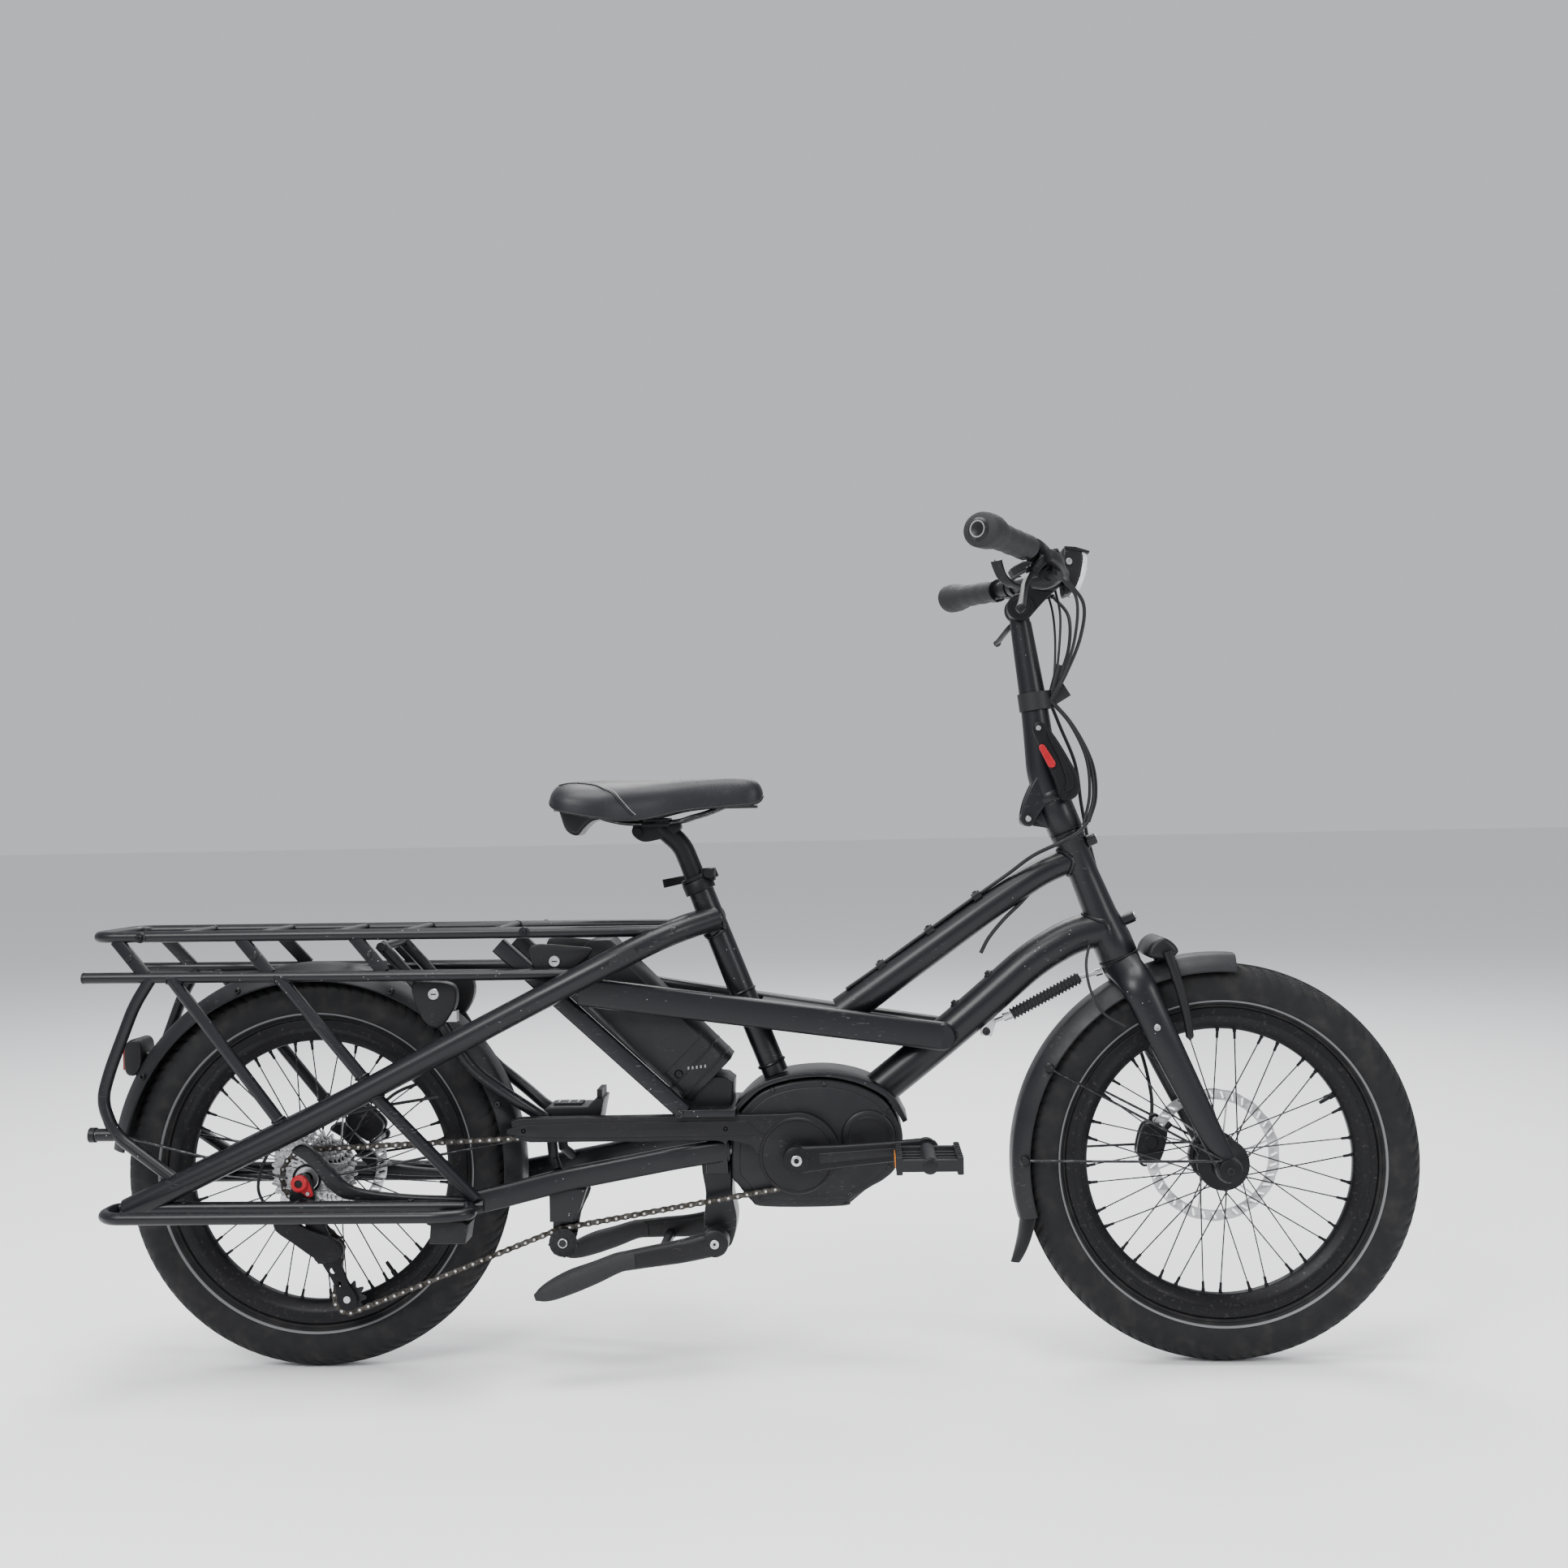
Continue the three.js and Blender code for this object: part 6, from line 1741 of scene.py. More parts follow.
def handlebar():
    """The swept bar and the stem that clamps it."""
    bar = [(898, -305, 1066), (964, -182, 1062), (1004, -62, 1057), (1008, 0, 1056), (1004, 62, 1057),
           (964, 182, 1062), (898, 305, 1066)]
    path = rounded(mms(bar), 70, 10)

    def swell(t):
        """The bar's radius, which grows where the stem clamps it."""
        return 11 + 4.6 * max(0, 1 - abs(t - 0.5) / 0.09) ** 0.5

    shape = Shape().add(tube(path, swell, 28), ALLOY)
    stem = [
        (958, 996), (974, 994), (1000, 1020), (1022, 1042), (1026, 1060), (1012, 1074), (994, 1070),
        (972, 1044), (950, 1014),
    ]
    outline = spline_outline(stem, 5)
    for y0, y1 in ((-17, -12.6), (12.6, 17)):
        shape.add(plate([outline], y0, y1, 1.6, 3), ALLOY)
    upper = [(986, 1034), (1012, 1032), (1024, 1046), (1026, 1062), (1010, 1074), (992, 1068), (980, 1050)]
    shape.add(plate([spline_outline(upper, 5)], -21, 21, 3.4, 4), ALLOY)
    for side in (-1, 1):
        disc = [
            (0, 24), (6, 24), (6.6, 24.6), (12.4, 24.8), (13, 24), (17, 23.8), (18.4, 22.4), (18.4, 12.6),
            (0, 12.6),
        ]
        shape.add(lathe(disc, STEM, (0, side, 0), 56), ALLOY)
        shape.add(bolt(STEM + Y * side * 0.0242, (0, side, 0), 4, 1.2), BLACK_PLASTIC)
    for y in (-12, 12):
        for x, z in ((1024, 1046), (1012, 1073)):
            shape.add(bolt(mm(x, y, z), (0.75, 0, 0.5) if z < 1060 else (0.2, 0, 1), 3.6, 2.6), STEEL)
    shape.piece("handlebar_smooth", "bars", ["handlebar"], smooth=38)


def grips():
    """The ribbed palm grips with their end rings and clamps."""
    for name, side in SIDES.items():
        path = curved(
            mirrored([(888, 312, 1066), (902, 292, 1066), (928, 244, 1064), (956, 194, 1062)], side), 12
        )
        inward = path[-1] - path[0]
        level = Vector((inward.y, -inward.x, 0)).normalized()

        def swell(t):
            palm = 1 + 0.36 * math.exp(-(((t - 0.1) / 0.2) ** 2))
            ridge = 0.028 * math.sin(t * 150) if 0.14 < t < 0.84 else 0
            end = math.sqrt(max(0.02, 1 - max(0, 1 - t / 0.05) ** 2))
            return 15.8 * (palm + ridge) * end

        shape = Shape().add(tube(path, swell, 36, across=level, width=1.16), GRIP)
        start = path[1]
        outward = (path[0] - path[3]).normalized()
        face = start + outward * 0.0005
        disc = [(0, 2.6), (9, 2.6), (9.6, 3.1), (11.4, 3.1), (12, 2.2), (14, 0), (0, 0)]
        shape.add(lathe(disc, face, outward, 44), BLACK_PLASTIC)
        shape.add(
            lathe([(8.6, 2.7), (9, 3.3), (10.2, 3.3), (10.6, 2.7)], face, outward, 44, closed=True), MARK
        )
        seam = [path[8] + Vector((0, 0, 0.0004)), path[9] + Vector((0, 0, 0.0004))]
        shape.add(tube(seam, 20.4, 36, across=level, width=1.16), BLACK_PLASTIC)
        clamp = [path[-4], path[-1]]
        shape.add(tube(clamp, 16.6, 32), ALLOY)
        shape.add(bolt(path[-2] + Vector((0, 0, -0.0166)), (0, 0, -1), 2.8, 1.6), STEEL)
        shape.piece(f"grip_{name}_ribbed", "bars", [f"grip_{name}"], smooth=40)


LEVER_ROUTES = {
    "right": [
        (964, 184, 1032), (958, 196, 1024), (951, 216, 1010), (946, 244, 995), (942, 266, 983),
        (939, 278, 976),
    ],
    "left": [
        (990, 187, 1027), (984, 201, 1019), (973, 217, 1009), (966, 244, 1001), (962, 266, 996),
        (960, 278, 993),
    ],
}
POD_PATH = [(1000, 152, 1036), (986, 144, 1031), (970, 136, 1030)]


def controls():
    """On each side of the bar a brake clamp and its lever; a shifter on the right, a remote on the left."""
    for name, side in SIDES.items():
        shape = Shape()
        brake_clamp(shape, side)
        pod = curved(mirrored(POD_PATH, side), 6)
        if name == "right":
            shifter_pod(shape, pod)
        else:
            remote_pod(shape, pod)
        shape.piece(f"control_{name}_cast", "bars", [f"control_{name}"], smooth=38)
        brake_lever(name, side)
    shift_paddle()


def brake_clamp(shape, side):
    """The clamps on the bar, the master cylinder with its lid and hose nut, and the lever's pivot."""
    shape.add(tube(mirrored([(967, 174, 1061.6), (973, 158, 1061.2)], side), 15.4, 32), ALLOY)
    shape.add(tube(mirrored([(975, 152, 1061), (979, 140, 1060.6)], side), 15, 32), BLACK_PLASTIC)
    cylinder = mirrored([(984, 180, 1054), (992, 158, 1052), (1003, 124, 1047), (1015, 92, 1042)], side)
    shape.add(
        sweep(
            curved(cylinder, 6), rounded_section(20, 19, 7, 5), (0.94, -0.34 * side, 0),
            lambda t: (
                0.72 + 0.5 * math.sin(math.pi * min(t * 1.25, 1)), 0.8 + 0.3 * math.sin(math.pi * t)
            ),
        ),
        ALLOY,
    )
    lid = mirrored([(992, 164, 1062.4), (1003, 126, 1057.6)], side)
    shape.add(sweep(lid, rounded_section(15, 3, 1.2), (0.94, -0.34 * side, 0)), ALLOY)
    for end, other in (lid, reversed(lid)):
        shape.add(bolt(end.lerp(other, 0.14) + Vector((0, 0, 0.0014)), (0, 0, 1), 2.6, 1.4), STEEL)
    nut = mirrored([(1014, 95, 1042), (1021, 78, 1036)], side)
    shape.add(tube(nut, lambda t: 5.2 - 1.6 * t, 6), ALLOY)
    if side < 0:
        reach = [(974, 166, 1058), (978, 174, 1050), (966, 180, 1036)]
    else:
        reach = [(974, 166, 1058), (986, 172, 1050), (990, 178, 1040)]
    arm = mirrored(reach, side)
    shape.add(sweep(curved(arm, 5), rounded_section(13, 12, 4), (0, 0, 1)), ALLOY)
    pivot_at = mirrored([(962, 184, 1032) if side < 0 else (989, 184, 1034)], side)[0]
    shape.add(
        lathe([(0, 7), (4.6, 7), (5.6, 6), (5.6, -6), (4.6, -7), (0, -7)], pivot_at, (0, 0, 1), 24),
        ALLOY,
    )


def shifter_pod(shape, pod):
    """The shifter's housing with its cap and cable barrel."""
    shape.add(
        sweep(
            pod, rounded_section(30, 27, 11, 5),
            taper=lambda t: (1 - 0.3 * t * t, 0.86 + 0.2 * math.sin(math.pi * t)),
        ),
        BLACK_PLASTIC,
    )
    shape.add(washer_stack(mm(988, -158, 1033), (0, -1, 0), 10, 3), BLACK_PLASTIC)
    barrel = mms([(984, -132, 1044), (1002, -112, 1036)])
    shape.add(tube(barrel, lambda t: 5 - 1.8 * t, 14), BLACK_PLASTIC)


def remote_pod(shape, pod):
    """A slim pod with three buttons."""
    shape.add(sweep(pod, rounded_section(26, 12, 5, 4)), BLACK_PLASTIC)
    for k in range(3):
        shape.add(
            washer_stack(mm(960 - 5 * k, 138 + 8 * k - 8, 1043), (-0.2, 0, 1), 3.4, 2.2),
            MOTOR_PLASTIC,
        )


def brake_lever(name, side):
    """The blade with its round tip and its boss at the pivot."""
    blade = curved(mirrored(LEVER_ROUTES[name], side), 8)
    lever = Shape()
    lever.add(sweep(blade, rounded_section(10.5, 6.6, 2.6, 4), (0.8, 0, 0.6),
                    lambda t: (1.15 - 0.3 * math.sin(math.pi * t), 1 + 0.2 * (1 - t))), ALLOY)
    lever.add(
        lathe(
            [(0, -5.6), (4, -4.6), (5.4, -1.6), (5.4, 1.6), (4, 4.6), (0, 5.6)], blade[-1],
            (0.8, 0, 0.6), 20,
        ),
        ALLOY,
    )
    lever.add(
        lathe(
            [(0, -5.6), (6.4, -5.6), (7, -4.6), (7, 4.6), (6.4, 5.6), (0, 5.6)], blade[0], (0, 0, 1), 24
        ),
        ALLOY,
    )
    lever.piece(f"brake_lever_{name}_forged", f"brake_{name[0]}", [f"brake_lever_{name}"], smooth=40)


def shift_paddle():
    """The thumb paddle under the right clamp, with four gripping ribs."""
    paddle = curved(
        mms(
            [(952, -132, 1022), (940, -141, 1025), (930, -150, 1033), (925, -156, 1043), (922, -160, 1052)]
        ),
        6,
    )
    shape = Shape().add(
        sweep(paddle, rounded_section(14, 5, 2, 4), (0.8, -0.5, 0.1), lambda t: (0.75 + 0.35 * t, 1)),
        BLACK_PLASTIC,
    )
    for place in paddle[-2:-10:-2]:
        rib = [place + Vector((-0.0022, y, 0.0016)) for y in (0.004, -0.004)]
        shape.add(tube(rib, 0.6, 8), BLACK_PLASTIC)
    shape.piece("shift_paddle", "shifter", ["shift_lever"])


def display():
    """A small riding display on an arm ahead of the left clamp."""
    shape = Shape()
    centre = mm(986, 52, 1078)
    face = Vector((-0.45, 0, 0.9)).normalized()
    body = [centre - face * 0.006, centre + face * 0.005]
    shape.add(sweep(body, rounded_section(46, 58, 9, 6)), BLACK_PLASTIC)
    shape.add(sweep([centre + face * 0.0045, centre + face * 0.0062], rounded_section(38, 48, 6, 6)), SCREEN)
    shape.add(tube(mms([(1004, 46, 1057), (1004, 60, 1057)]), 14.6, 28), BLACK_PLASTIC)
    shape.add(sweep(mms([(1004, 53, 1060), (992, 53, 1072)]), rounded_section(12, 8, 2)), BLACK_PLASTIC)
    shape.piece("display", "bars", bevel_mm=0.6)


def headlight():
    """The lamp's housing, hood and lens on the stem."""
    side = [(1024, 1087), (1049, 1082), (1048, 1056), (1040, 1034), (1032, 1027), (1024, 1031)]
    shape = Shape().add(plate([spline_outline(side, 4)], -25, 25, 4, 4), BLACK_PLASTIC)
    hood = [(1026, 1086), (1058, 1079.6), (1059, 1082.4), (1040, 1088.6), (1026, 1090)]
    shape.add(plate([hood], -26, 26, 0.8, 2), BLACK_PLASTIC)
    lens = [(1045, 1081), (1056, 1078), (1055, 1056), (1047, 1034), (1038, 1026), (1034, 1030), (1044, 1052)]
    shape.add(plate([spline_outline(lens, 3)], -23.4, 23.4, 3, 4), LENS)
    for side_y in (-1, 1):
        shape.add(bolt(mm(1031, side_y * 25, 1069), (0, side_y, 0), 4.4, 2.2), STEEL)
    shape.add(
        sweep(mms([(1010, 0, 1048), (1020, 0, 1042), (1028, 0, 1046)]), rounded_section(14, 8, 2)), ALLOY
    )
    shape.piece("headlight_housing", "bars", ["headlight"], smooth=38)


# ---------------------------------------------------------------- seat


def seat():
    """The seatpost with its clamp and rails, the collar and the quick release lever."""
    shape = Shape()
    post = rounded([SEAT_TOP - SEAT_UP * 0.158, SEAT_TOP + SEAT_UP * 0.05, mm(474, 0, 724)], 13, 6)
    shape.add(tube(post, 14, 32), ALLOY)
    head = [(438, 712), (452, 704), (476, 708), (498, 716), (502, 726), (492, 733), (446, 733), (436, 722)]
    shape.add(plate([spline_outline(head, 5)], -13, 13, 3, 3), ALLOY)
    shape.add(plate([[(452, 724), (488, 724), (490, 729), (450, 729)]], -27, 27, 1.2, 2), ALLOY)
    shape.add(plate([[(452, 731), (488, 731), (486, 736), (454, 736)]], -27, 27, 1.2, 2), ALLOY)
    shape.add(tube(mms([(444, -17, 716), (444, 17, 716)]), 6.4, 22), ALLOY)
    for side in (-1, 1):
        rail = [
            (566, 12, 752), (540, 18, 742), (520, 22, 736.4), (494, 22, 730), (440, 22, 729),
            (404, 20, 735), (372, 15, 748),
        ]
        shape.add(tube(curved(mirrored(rail, side), 8), 3.5, 16), SPOKE)
    shape.piece("seatpost_smooth", "seat", ["seatpost"], smooth=38)
    collar = Shape()
    ring = [(17.7, -18), (20.4, -18), (21.4, -17), (21.4, -3), (20.4, -1.6), (17.7, -1.6)]
    collar.add(lathe(ring, SEAT_TOP, SEAT_UP, 56, closed=True), ALLOY)
    collar.add(
        lathe(
            [(14.4, -1.6), (20.8, -1.6), (21.4, 0), (21, 3.6), (17, 5), (14.4, 5)], SEAT_TOP, SEAT_UP, 56,
            closed=True,
        ),
        ALLOY,
    )
    collar.add(block((528, -11, 650), (547, -3, 667)), ALLOY)
    collar.add(block((528, 3, 650), (547, 11, 667)), ALLOY)
    collar.add(
        lathe([(0, 0), (6.4, 0), (7.6, 2), (7.6, 7), (6, 9), (0, 9)], mm(539, -11, 660), (0, -1, 0), 30),
        ALLOY,
    )
    collar.add(tube(mms([(539, -18, 660), (539, 19, 660)]), 2.6, 14), STEEL)
    collar.piece("seat_collar_ring", "frame", ["seat_collar"], bevel_mm=0.8)
    lever = curved(
        mms([(541, 21, 659), (533, 28, 657), (516, 32.5, 653.5), (494, 32, 649.5), (473, 25.5, 645.5)]), 8
    )
    shape = Shape().add(
        sweep(
            lever, rounded_section(7.6, 10, 3.4, 5), (0.2, 1, 0), lambda t: (1 - 0.35 * t, 0.9 + 0.3 * t)
        ),
        ALLOY,
    )
    shape.add(
        lathe([(0, -7), (6, -7), (7, -6), (7, 6), (6, 7), (0, 7)], mm(541, 24.5, 659), tuple(SEAT_UP), 26),
        ALLOY,
    )
    shape.piece("seat_lever_cam", "seat_quick_release", ["seat_lever"])


def read_table(table, x):
    """The value at x on a smooth curve through (x, value) rows."""
    k = max(0, min(len(table) - 2, sum(1 for row in table if row[0] < x) - 1))
    (x0, v0), (x1, v1) = table[k], table[k + 1]
    before, after = table[max(0, k - 1)], table[min(len(table) - 1, k + 2)]
    slope0 = (v1 - before[1]) / (x1 - before[0])
    slope1 = (after[1] - v0) / (after[0] - x0)
    t = (x - x0) / (x1 - x0)
    run = x1 - x0
    return ((1 + 2 * t) * (1 - t) ** 2 * v0 + t * (1 - t) ** 2 * run * slope0 + t * t * (3 - 2 * t) * v1 +
            t * t * (t - 1) * run * slope1)


HALF_WIDTH = (
    (0, 40), (1.5, 52), (4, 62), (10, 72), (20, 79.5), (34, 84), (48, 85.4), (62, 84.6), (78, 81), (96, 73),
    (112, 63.6), (128, 54), (146, 44.6), (164, 37.6), (184, 32), (206, 28), (228, 26), (248, 25),
    (262, 23.6), (271, 21), (277, 17.6), (281, 13), (283.4, 8), (284, 4),
)
TOP_LINE = ((0, 768), (1.5, 774), (5, 779.4), (12, 784.2), (24, 787), (60, 787.6), (110, 786.6), (150, 787.6),
            (200, 789.8), (236, 790.8), (256, 790), (268, 787.4), (276, 783), (281, 777), (284, 769))
SKIRT_LINE = (
    (0, 763), (1.5, 759), (6, 754), (16, 749), (34, 744.6), (57, 740), (84, 736), (107, 734), (130, 735.4),
    (148, 739), (165, 743), (185, 746.4), (221, 749.4), (256, 751.6), (272, 753.4), (280, 757.4),
    (284, 763),
)


def saddle_half_width(x):
    return read_table(HALF_WIDTH, x)


SADDLE_REAR = 330
SADDLE_LENGTH = 284
TOP_POINTS = 29


def saddle_form():
    """Closed rings round the padded shell, from the rear edge to the nose: over the top, then underneath."""
    steps = 64
    rings = []
    for i in range(steps + 1):
        x = SADDLE_LENGTH * (0.5 - 0.5 * math.cos(math.pi * i / steps))
        half, top, skirt = saddle_half_width(x), read_table(TOP_LINE, x), read_table(SKIRT_LINE, x)
        ring = []
        for k in range(TOP_POINTS):
            a = math.pi * k / (TOP_POINTS - 1)
            y = half * math.copysign(abs(math.cos(a)) ** 0.74, math.cos(a))
            dish = 3.0 * math.exp(-((y / 13) ** 2)) * math.exp(-(((x - 120) / 90) ** 2))
            crown = top - 3.5 * (abs(y) / max(half, 1)) ** 2 - dish
            ring.append((x + SADDLE_REAR, y, skirt + (crown - skirt) * math.sin(a) ** 0.62))
        hollow = max(skirt + 0.6, min(750, top - 12))
        for share in (-0.9, -0.8, -0.4, 0.0, 0.4, 0.8, 0.9):
            z = skirt + 0.6 if abs(share) == 0.9 else hollow
            ring.append((x + SADDLE_REAR, half * share, z))
        rings.append(ring)
    return rings


def saddle():
    """The padded shell, puffed by a short cloth run, then piped, stitched and given its plastic base."""
    rings = saddle_form()
    pad = Shape().add(skin([mms(ring) for ring in rings]), LEATHER).piece("saddle_pad", None, smooth=60)
    held = []
    for vertex in pad.data.vertices:
        x = (vertex.co.x - mm(SADDLE_REAR, 0, 0).x) * 1000
        if not 9 < x < 272 or vertex.co.z * 1000 < read_table(SKIRT_LINE, x) + 7:
            held.append(vertex.index)
    puff(pad, held, 0.0022)
    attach(pad, "seat")
    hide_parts("saddle")
    trim = Shape()
    edge = [[mm(*ring[0]) for ring in rings], [mm(*ring[TOP_POINTS - 1]) for ring in rings]]
    border = edge[0] + list(reversed(edge[1]))
    trim.add(tube([p + Vector((0, 0, -0.0004)) for p in border], 1.3, 10, closed=True), BLACK_PLASTIC)
    trim.piece("saddle_edge_trim", "seat")
    stitches(rings)
    saddle_base()


def saddle_base():
    """The plastic base plate and the bumper at its rear."""
    base = Shape()
    floor = []
    for i in range(41):
        x = 6 + 270 * i / 40
        floor.append((x, saddle_half_width(x) * 0.78))
    outline = [(x, w) for x, w in floor] + [(x, -w) for x, w in reversed(floor)]
    lower = [mm(SADDLE_REAR + x, y * 0.9, 747) for x, y in outline]
    upper = [mm(SADDLE_REAR + x, y, 750.8) for x, y in outline]
    base.add(prism(lower, upper), BLACK_PLASTIC)
    base.piece("saddle_base", "seat", bevel_mm=0.8)
    hook = spline_outline(
        [
            (339, 757), (342, 736), (349, 720), (363, 714), (373, 724), (384, 733), (400, 737), (398, 748),
            (366, 752),
        ],
        5,
    )
    rear = Shape().add(plate([hook], -27, 27, 6, 4), BLACK_PLASTIC)
    rear.piece("saddle_rear_bumper", "seat")


def puff(pad, held, most):
    """Lets the cover swell between its held points, none moving further than most metres."""
    rest = [v.co.copy() for v in pad.data.vertices]
    pins = pad.vertex_groups.new(name="hem")
    pins.add(held, 1.0, "REPLACE")
    cloth = pad.modifiers.new("cloth", "CLOTH")
    settings = cloth.settings
    settings.quality = 5
    settings.mass = 0.4
    settings.tension_stiffness = 60
    settings.compression_stiffness = 60
    settings.bending_stiffness = 6
    settings.use_pressure = True
    settings.uniform_pressure_force = 4
    settings.vertex_group_mass = "hem"
    settings.effector_weights.gravity = 0
    cloth.point_cache.frame_start = 1
    cloth.point_cache.frame_end = 20
    for number in range(1, 21):
        SCENE.frame_set(number)
    swollen = pad.evaluated_get(bpy.context.evaluated_depsgraph_get()).to_mesh()
    moved = [v.co.copy() for v in swollen.vertices]
    pad.modifiers.remove(cloth)
    for vertex, before, after in zip(pad.data.vertices, rest, moved):
        step = after - before
        if step.length > most:
            step *= most / step.length
        vertex.co = before + step
    pad.vertex_groups.clear()
    SCENE.frame_set(1)


def on_saddle(rings, x, z):
    """The place on the right flank at a side-view x and z."""
    ring = min(rings, key=lambda r: abs(r[0][0] - x))
    flank = ring[TOP_POINTS // 2:TOP_POINTS]
    for a, b in zip(flank, flank[1:]):
        if a[2] >= z >= b[2]:
            share = (a[2] - z) / max(a[2] - b[2], 1e-6)
            return mm(*a).lerp(mm(*b), share)
    return mm(*flank[0]) if z > flank[0][2] else mm(*flank[-1])


def stitches(rings):
    """The cover's seam on each rear flank, with a row of light stitches on either side of it."""
    threads, seam = Shape(), Shape()
    middle = mm(420, 0, 752)

    def lift(place, reach):
        """Moves a place away from the saddle's middle, out of the cover."""
        return place + Vector((0, place.y, place.z - middle.z)).normalized() * reach

    places = [
        (333, 777), (340, 781), (350, 783.4), (364, 784.2), (378, 783.4), (391, 780.8), (404, 776),
        (416, 769.6), (426, 762), (434, 754), (440, 746), (444, 739),
    ]
    right = curved([on_saddle(rings, x, z) for x, z in places], 7)
    for side in (-1, 1):
        line = [Vector((p.x, p.y * -side, p.z)) for p in right]
        seam.add(tube([lift(p, 0.0004) for p in line], 0.9, 8), LEATHER)
        for shift in (-0.0032, 0.0032):
            row = [lift(p + Vector((shift, 0, shift * 0.6)), 0.0006) for p in line]
            for a, b in list(zip(row, row[1:]))[::2]:
                threads.add(tube([a, b], 0.55, 6), THREAD)
    seam.piece("saddle_seams", "seat")
    threads.piece("saddle_stitches", "seat")


# ---------------------------------------------------------------- stand


def stand():
    """The double-legged stand with its rubber feet."""
    shape = Shape()
    for side in (-1, 1):
        leg = [(552, 62, 178), (530, 66, 173), (500, 70, 167), (450, 82, 162), (416, 90, 158)]
        path = rounded(mirrored(leg, side), 26, 7)
        shape.add(sweep(path, rounded_section(22, 28, 8, 5), taper=lambda t: (1 - 0.06 * t, 1.2 - 0.36 * t)),
                  BLACK_PLASTIC)
        hub_profile = [
            (0, 77), (6, 77), (6.6, 76), (15, 75.6), (17.6, 74), (18, 71), (18, 49), (16.6, 46.4), (0, 46)
        ]
        shape.add(lathe(hub_profile, mm(544, 0, 177), (0, side, 0), 44), BLACK_PLASTIC)
        shape.add(bolt(mm(544, side * 76.2, 177), (0, side, 0), 6, 2.4), STEEL)
        foot = [
            (440, 85, 160), (420, 88, 158), (390, 94, 147), (360, 100, 137), (334, 106, 127),
            (313, 110, 119),
        ]
        shape.add(sweep(curved(mirrored(foot, side), 6), rounded_section(36, 29, 11, 6),
                        taper=lambda t: (min(1, 0.7 + 0.5 * t) * math.sqrt(max(0.08, 1 - t**6)),
                                   min(1, 0.76 + 0.4 * t) * math.sqrt(max(0.08, 1 - t**6)))), GRIP)
        grip_end = mirrored([(470, 74, 156)], side)[0]
        shape.add(
            lathe([(0, 0), (7.6, 0), (8, 1), (8, 6), (0, 6)], grip_end, (0, -side, 0), 24), BLACK_PLASTIC
        )
    shape.add(tube(mms([(544, -74, 177), (544, 74, 177)]), 9.8, 30), STEEL)
    shape.add(
        sweep(mms([(470, -72, 156), (470, 72, 156)]), rounded_section(12, 12, 3), (0, 0, 1)), BLACK_PLASTIC
    )
    shape.piece("stand_legs_moulded", "stand", ["stand_legs"], smooth=38)


# ---------------------------------------------------------------- hoses and cables


def hose(shape, points, radius, steps=8, sides=12):
    """Adds a hose through points in millimetres."""
    shape.add(tube(curved(mms(points), steps), radius, sides), HOSE)


UPPER_CABLES = (
    ([(1021, 78, 1036), (1040, 62, 1006), (1036, 34, 960), (1020, 14, 918), (1005, 6, 884)], 2.4),
    ([(1021, -78, 1036), (1044, -62, 1006), (1042, -38, 965), (1026, -18, 922), (1006, -8, 884)], 2.4),
    ([(1004, -112, 1040), (1030, -96, 1010), (1032, -58, 962), (1020, -28, 918), (1003, -12, 884)], 2.1),
    ([(1016, 10, 1036), (1022, 10, 1004), (1020, 4, 966), (1014, 0, 920), (1006, -2, 884)], 1.7),
    ([(996, 40, 1062), (1012, 34, 1022), (1016, 22, 976), (1012, 8, 920), (1004, 2, 884)], 1.6),
)


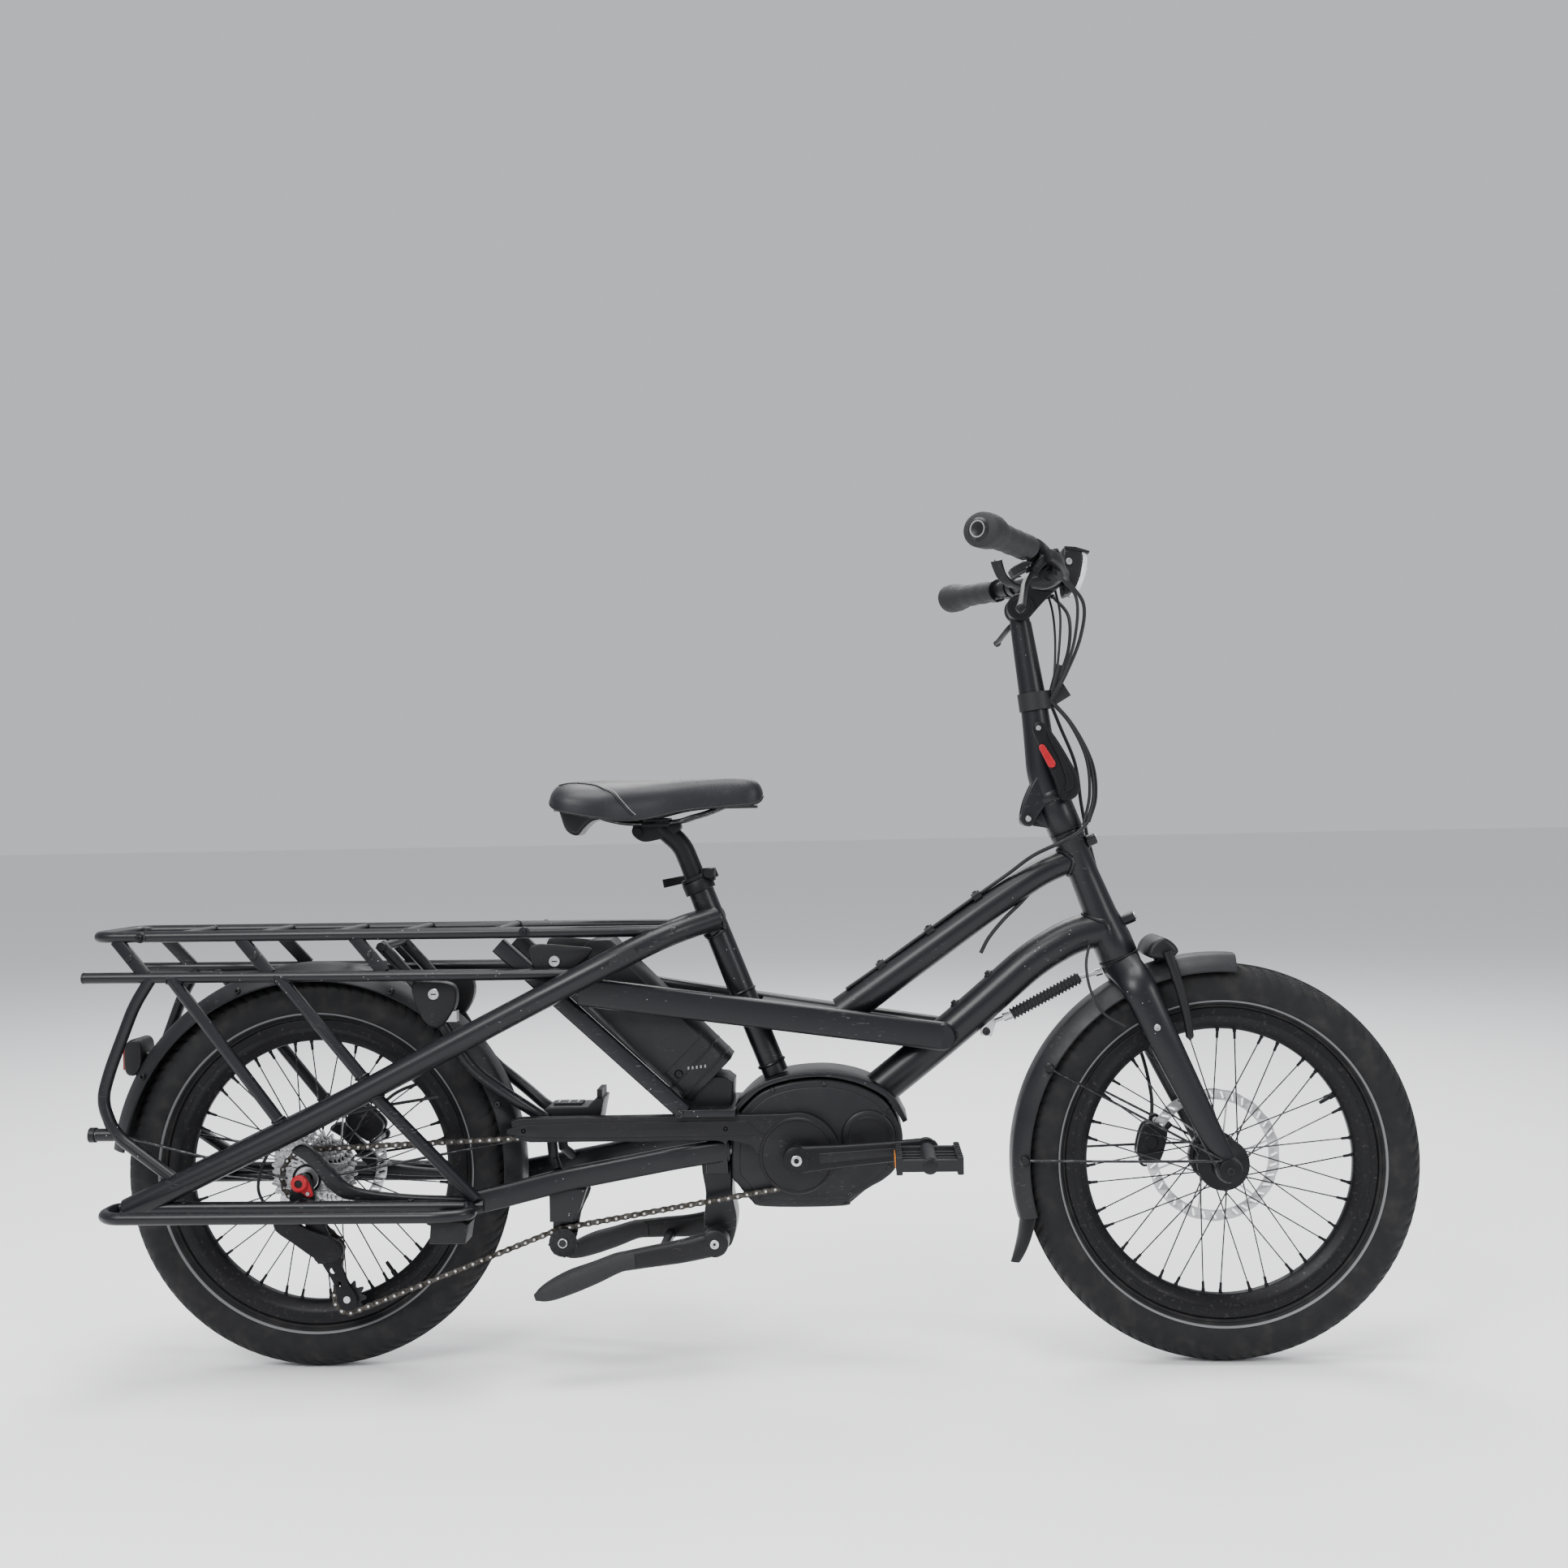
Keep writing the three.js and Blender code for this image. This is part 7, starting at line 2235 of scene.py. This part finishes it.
def cables():
    """Every hose and cable outside the frame; those that cross a joint belong to no body."""
    upper = Shape()
    for points, radius in UPPER_CABLES:
        hose(upper, points, radius)
    upper.add(tube(curved(mms([(1018, -8, 932), (1011, -6, 908), (1005, -4, 886)]), 6), 5.2, 16), HOSE)
    loops = upper.piece("cable_loops", None, smooth=60)
    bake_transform(loops)
    lower = Shape()
    hose(lower, [(1005, 6, 884), (1020, 20, 850), (1040, 28, 800), (1048, 34, 745), (1056, 40, 700)], 2.4)
    hose(lower, [(1006, -8, 884), (1034, -4, 850), (1056, 2, 802), (1060, -2, 756), (1048, -18, 718)], 2.4)
    hose(lower, [(1003, -12, 884), (1030, -8, 852), (1051, -3, 806), (1054, -7, 758), (1043, -20, 716)], 2.1)
    hose(lower, [(1006, -2, 884), (1036, 2, 850), (1061, 8, 800), (1064, 2, 754), (1052, -12, 720)], 1.7)
    middle = lower.piece("post_cables", None, smooth=60)
    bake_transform(middle)
    front = Shape()
    hose(
        front,
        [
            (1056, 40, 700), (1066, 44, 660), (1078, 46, 604), (1084, 64, 545), (1100, 74, 470),
            (1128, 74, 400), (1139, 66, 345), (1137, 52, 311),
        ],
        2.5,
    )
    front.piece("front_brake_line", "steering", ["front_brake_hose"], smooth=60)
    rear = Shape()
    for dy, dz, radius in ((0, 0, 2.4), (-1.5, 4.8, 2.1), (3.2, -3.6, 1.7)):
        path = [(1048, -18, 718), (1034, -29, 706), (1010, -34, 693), (975, -20, 676), (940, -6, 650)]
        path += [(925 - 41.8 * k, -3, 640.5 - 29.2 * k) for k in range(1, 5)] + [(722, -6, 500)]
        hose(rear, [(x, y + dy * 1.6, z + dz * 0.2) for x, y, z in path], radius, 6)
    bent = rear.piece("rear_lines", None, ["rear_cables"], smooth=60)
    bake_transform(bent)
    clips = Shape()
    for x, z in ((900, 623), (836, 578), (770, 532)):
        clips.add(sweep(mms([(x - 5, -3, z - 3.5), (x + 5, -3, z + 3.5)]), rounded_section(17, 11, 3.4, 4)),
                  BLACK_PLASTIC)
        clips.add(bolt(mm(x - 3, -3, z + 4.4), (-0.57, 0, 0.82), 2.8, 2), BOLT)
    clips.piece("cable_clips", "frame")
    tail = Shape()
    hose(
        tail,
        [
            (-20, -68, 214), (-46, -72, 226), (-60, -76, 262), (-30, -80, 318), (60, -70, 352),
            (180, -64, 372),
        ],
        2.1, 10,
    )
    hose(tail, [(66, 45, 340), (96, 58, 362), (150, 62, 378), (200, 60, 396)], 2.4, 8)
    hose(tail, [(977, -3, 632), (958, -5, 612), (935, -4, 590), (915, -3, 566), (904, -3, 546)], 2.6)
    tail.piece("rear_tail_cables", "frame", smooth=60)
    sensor = Shape()
    route = [(1046, -26, 556), (1040, -38, 530), (1044, -48, 498), (1058, -56, 470), (1086, -62, 452)]
    hose(sensor, route, 1.9)
    loose = sensor.piece("fork_cable", None, smooth=60)
    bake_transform(loose)


# ---------------------------------------------------------------- small fittings


def rear_lamp():
    """The small lamp on the tail loop."""
    shape = Shape()
    outline = spline_outline(
        [(-262, 404), (-250, 398), (-240, 410), (-240, 440), (-250, 448), (-262, 438)], 5
    )
    shape.add(plate([outline], -24, 24, 4, 4), BLACK_PLASTIC)
    shape.add(plate([[(-266, 406), (-260, 404), (-260, 440), (-266, 436)]], -20, 20, 1.6, 3), RED_LENS)
    shape.add(sweep(mms([(-244, 0, 424), (-232, 0, 420)]), rounded_section(16, 12, 3)), BLACK_PLASTIC)
    shape.piece("rear_lamp", "frame")


def ring_lock():
    """A frame lock on the fork crown: its housing over the mudguard and its two arms beside the tyre."""
    housing = spline_outline(
        [(1120, 543), (1126, 558), (1140, 566), (1154, 559), (1161, 547), (1150, 539), (1130, 538)], 5
    )
    shape = Shape().add(plate([housing], -46, 46, 7, 4), BLACK_PLASTIC)
    for side in (-1, 1):
        arm = curved(
            mirrored(
                [(1145, 50, 548), (1152, 51, 526), (1161, 51, 494), (1168, 51, 462), (1171, 51, 438)], side
            ),
            6,
        )
        shape.add(
            sweep(arm, rounded_section(11, 13, 4.6, 5), taper=lambda t: (1, 1 - 0.2 * t * t)), BLACK_PLASTIC
        )
        shape.add(
            lathe([(0, -5.4), (3.6, -4.6), (5.2, -2), (5.2, 2), (3.6, 4.6), (0, 5.4)], arm[-1], Y, 22),
            BLACK_PLASTIC,
        )
    shape.piece("ring_lock", "steering", smooth=40)


def stabiliser():
    """The sleeved spring under the down tube that keeps the front wheel straight."""
    hook, start, end, eye = mms([(915, 0, 452), (944, 0, 463), (1036, 0, 511), (1066, 0, 519)])
    coils = [start.lerp(end, k / 240) for k in range(241)]
    shape = Shape().add(tube(coils, lambda t: 7.4 + 1.3 * math.sin(t * TAU * 20), 20), GRIP)
    shape.add(tube([hook, start], 2.8, 12), STEEL)
    shape.add(tube([start + (hook - start) * 0.4, start], 5.4, 6), STEEL)
    shape.add(tube([end, eye], 2.6, 12), STEEL)
    shape.add(tube([eye - (eye - end) * 0.3, eye], 5, 12), STEEL)
    made = shape.piece("steering_spring", None, smooth=60)
    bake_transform(made)
    bracket = Shape()
    bracket.add(plate([[(902, 436), (916, 434), (922, 452), (914, 480), (900, 474)]], -6, 6, 1.4, 2), STEEL)
    bracket.add(bolt(mm(909, -6, 441), (0, -1, 0), 5.4, 3), BOLT)
    bracket.piece("spring_bracket", "frame")


def small_fittings():
    """A plain badge outline and the rear axle's end with its red hanger."""
    shape = Shape()
    at = mm(434, -107, 553.5)
    along = Vector((0.89, 0, 0.45)).normalized()
    badge = rounded_section(40, 14, 6.6, 6)
    face = [at + along * (a / 1000) + Vector((-0.45, 0, 0.89)) * (b / 1000) for a, b in badge]
    shape.add(prism([p - Y * 0.0015 for p in face], [p + Y * 0.001 for p in face]), MOTOR_PLASTIC)
    hanger = spline_outline(
        [(-8, 272), (2, 275), (10, 269), (15, 258), (17, 248), (10, 246), (0, 254), (-8, 260)], 5
    )
    shape.add(plate([hanger], -90, -86.6, 1.4, 2), RED)
    ring = [(5.4, 95), (9.4, 95), (11, 93.6), (11, 88), (5.4, 88)]
    shape.add(lathe(ring, mm(0, 0, 264.5), (0, -1, 0), 36, closed=True), RED)
    shape.add(lathe([(0, 93), (5.4, 93), (5.4, 88), (0, 88)], mm(0, 0, 264.5), (0, -1, 0), 30), BLACK_PLASTIC)
    shape.add(bolt(mm(11, -90, 251), (0, -1, 0), 2.8, 1.8), STEEL)
    shape.piece("axle_end_and_badge", "frame")


def floor_and_light():
    """A wide pale floor under soft boxes."""
    mesh = bpy.data.meshes.new("floor")
    mesh.from_pydata([(-60, -60, 0), (60, -60, 0), (60, 60, 0), (-60, 60, 0)], [], [(0, 1, 2, 3)])
    floor = bpy.data.objects.new("floor", mesh)
    SCENE.collection.objects.link(floor)
    look = Look("pale_floor", "paint", (0.86, 0.86, 0.87), 0.85)
    look.roughen(0.92, look.noise(3, 2))
    mesh.materials.append(look.done().material)
    world = bpy.data.worlds.new("studio")
    world.use_nodes = True
    world.node_tree.nodes["Background"].inputs["Color"].default_value = (0.93, 0.95, 1, 1)
    world.node_tree.nodes["Background"].inputs["Strength"].default_value = 0.66
    SCENE.world = world
    for name, place, size, power in (
        ("key", (-2.6, -3.2, 3.2), 1.8, 190),
        ("fill", (2.8, -3.0, 2.2), 1.4, 70),
        ("back", (-0.4, 2.6, 3.6), 2.4, 150),
        ("top", (-0.7, -0.4, 4.0), 2.2, 190),
    ):
        data = bpy.data.lights.new(name, "AREA")
        data.size = size
        data.energy = power
        lamp = bpy.data.objects.new(name, data)
        lamp.location = place
        lamp.rotation_euler = (mm(600, 0, 450) - Vector(place)).to_track_quat("-Z", "Y").to_euler()
        SCENE.collection.objects.link(lamp)


front_triangle()
mid_beam()
motor_cradle()
seat_tube()
diagonals()
top_rack()
pannier_rails()
foot_decks()
dock()
carried_over_frame()
wheels()
chain()
drive_wheels()
derailleur()
motor()
chain_guard()
cranks()
pedals()
battery()
fork()
fenders()
calipers()
handlepost()
fold_lever()
handlebar()
grips()
controls()
display()
headlight()
seat()
saddle()
stand()
cables()
rear_lamp()
ring_lock()
stabiliser()
small_fittings()
floor_and_light()
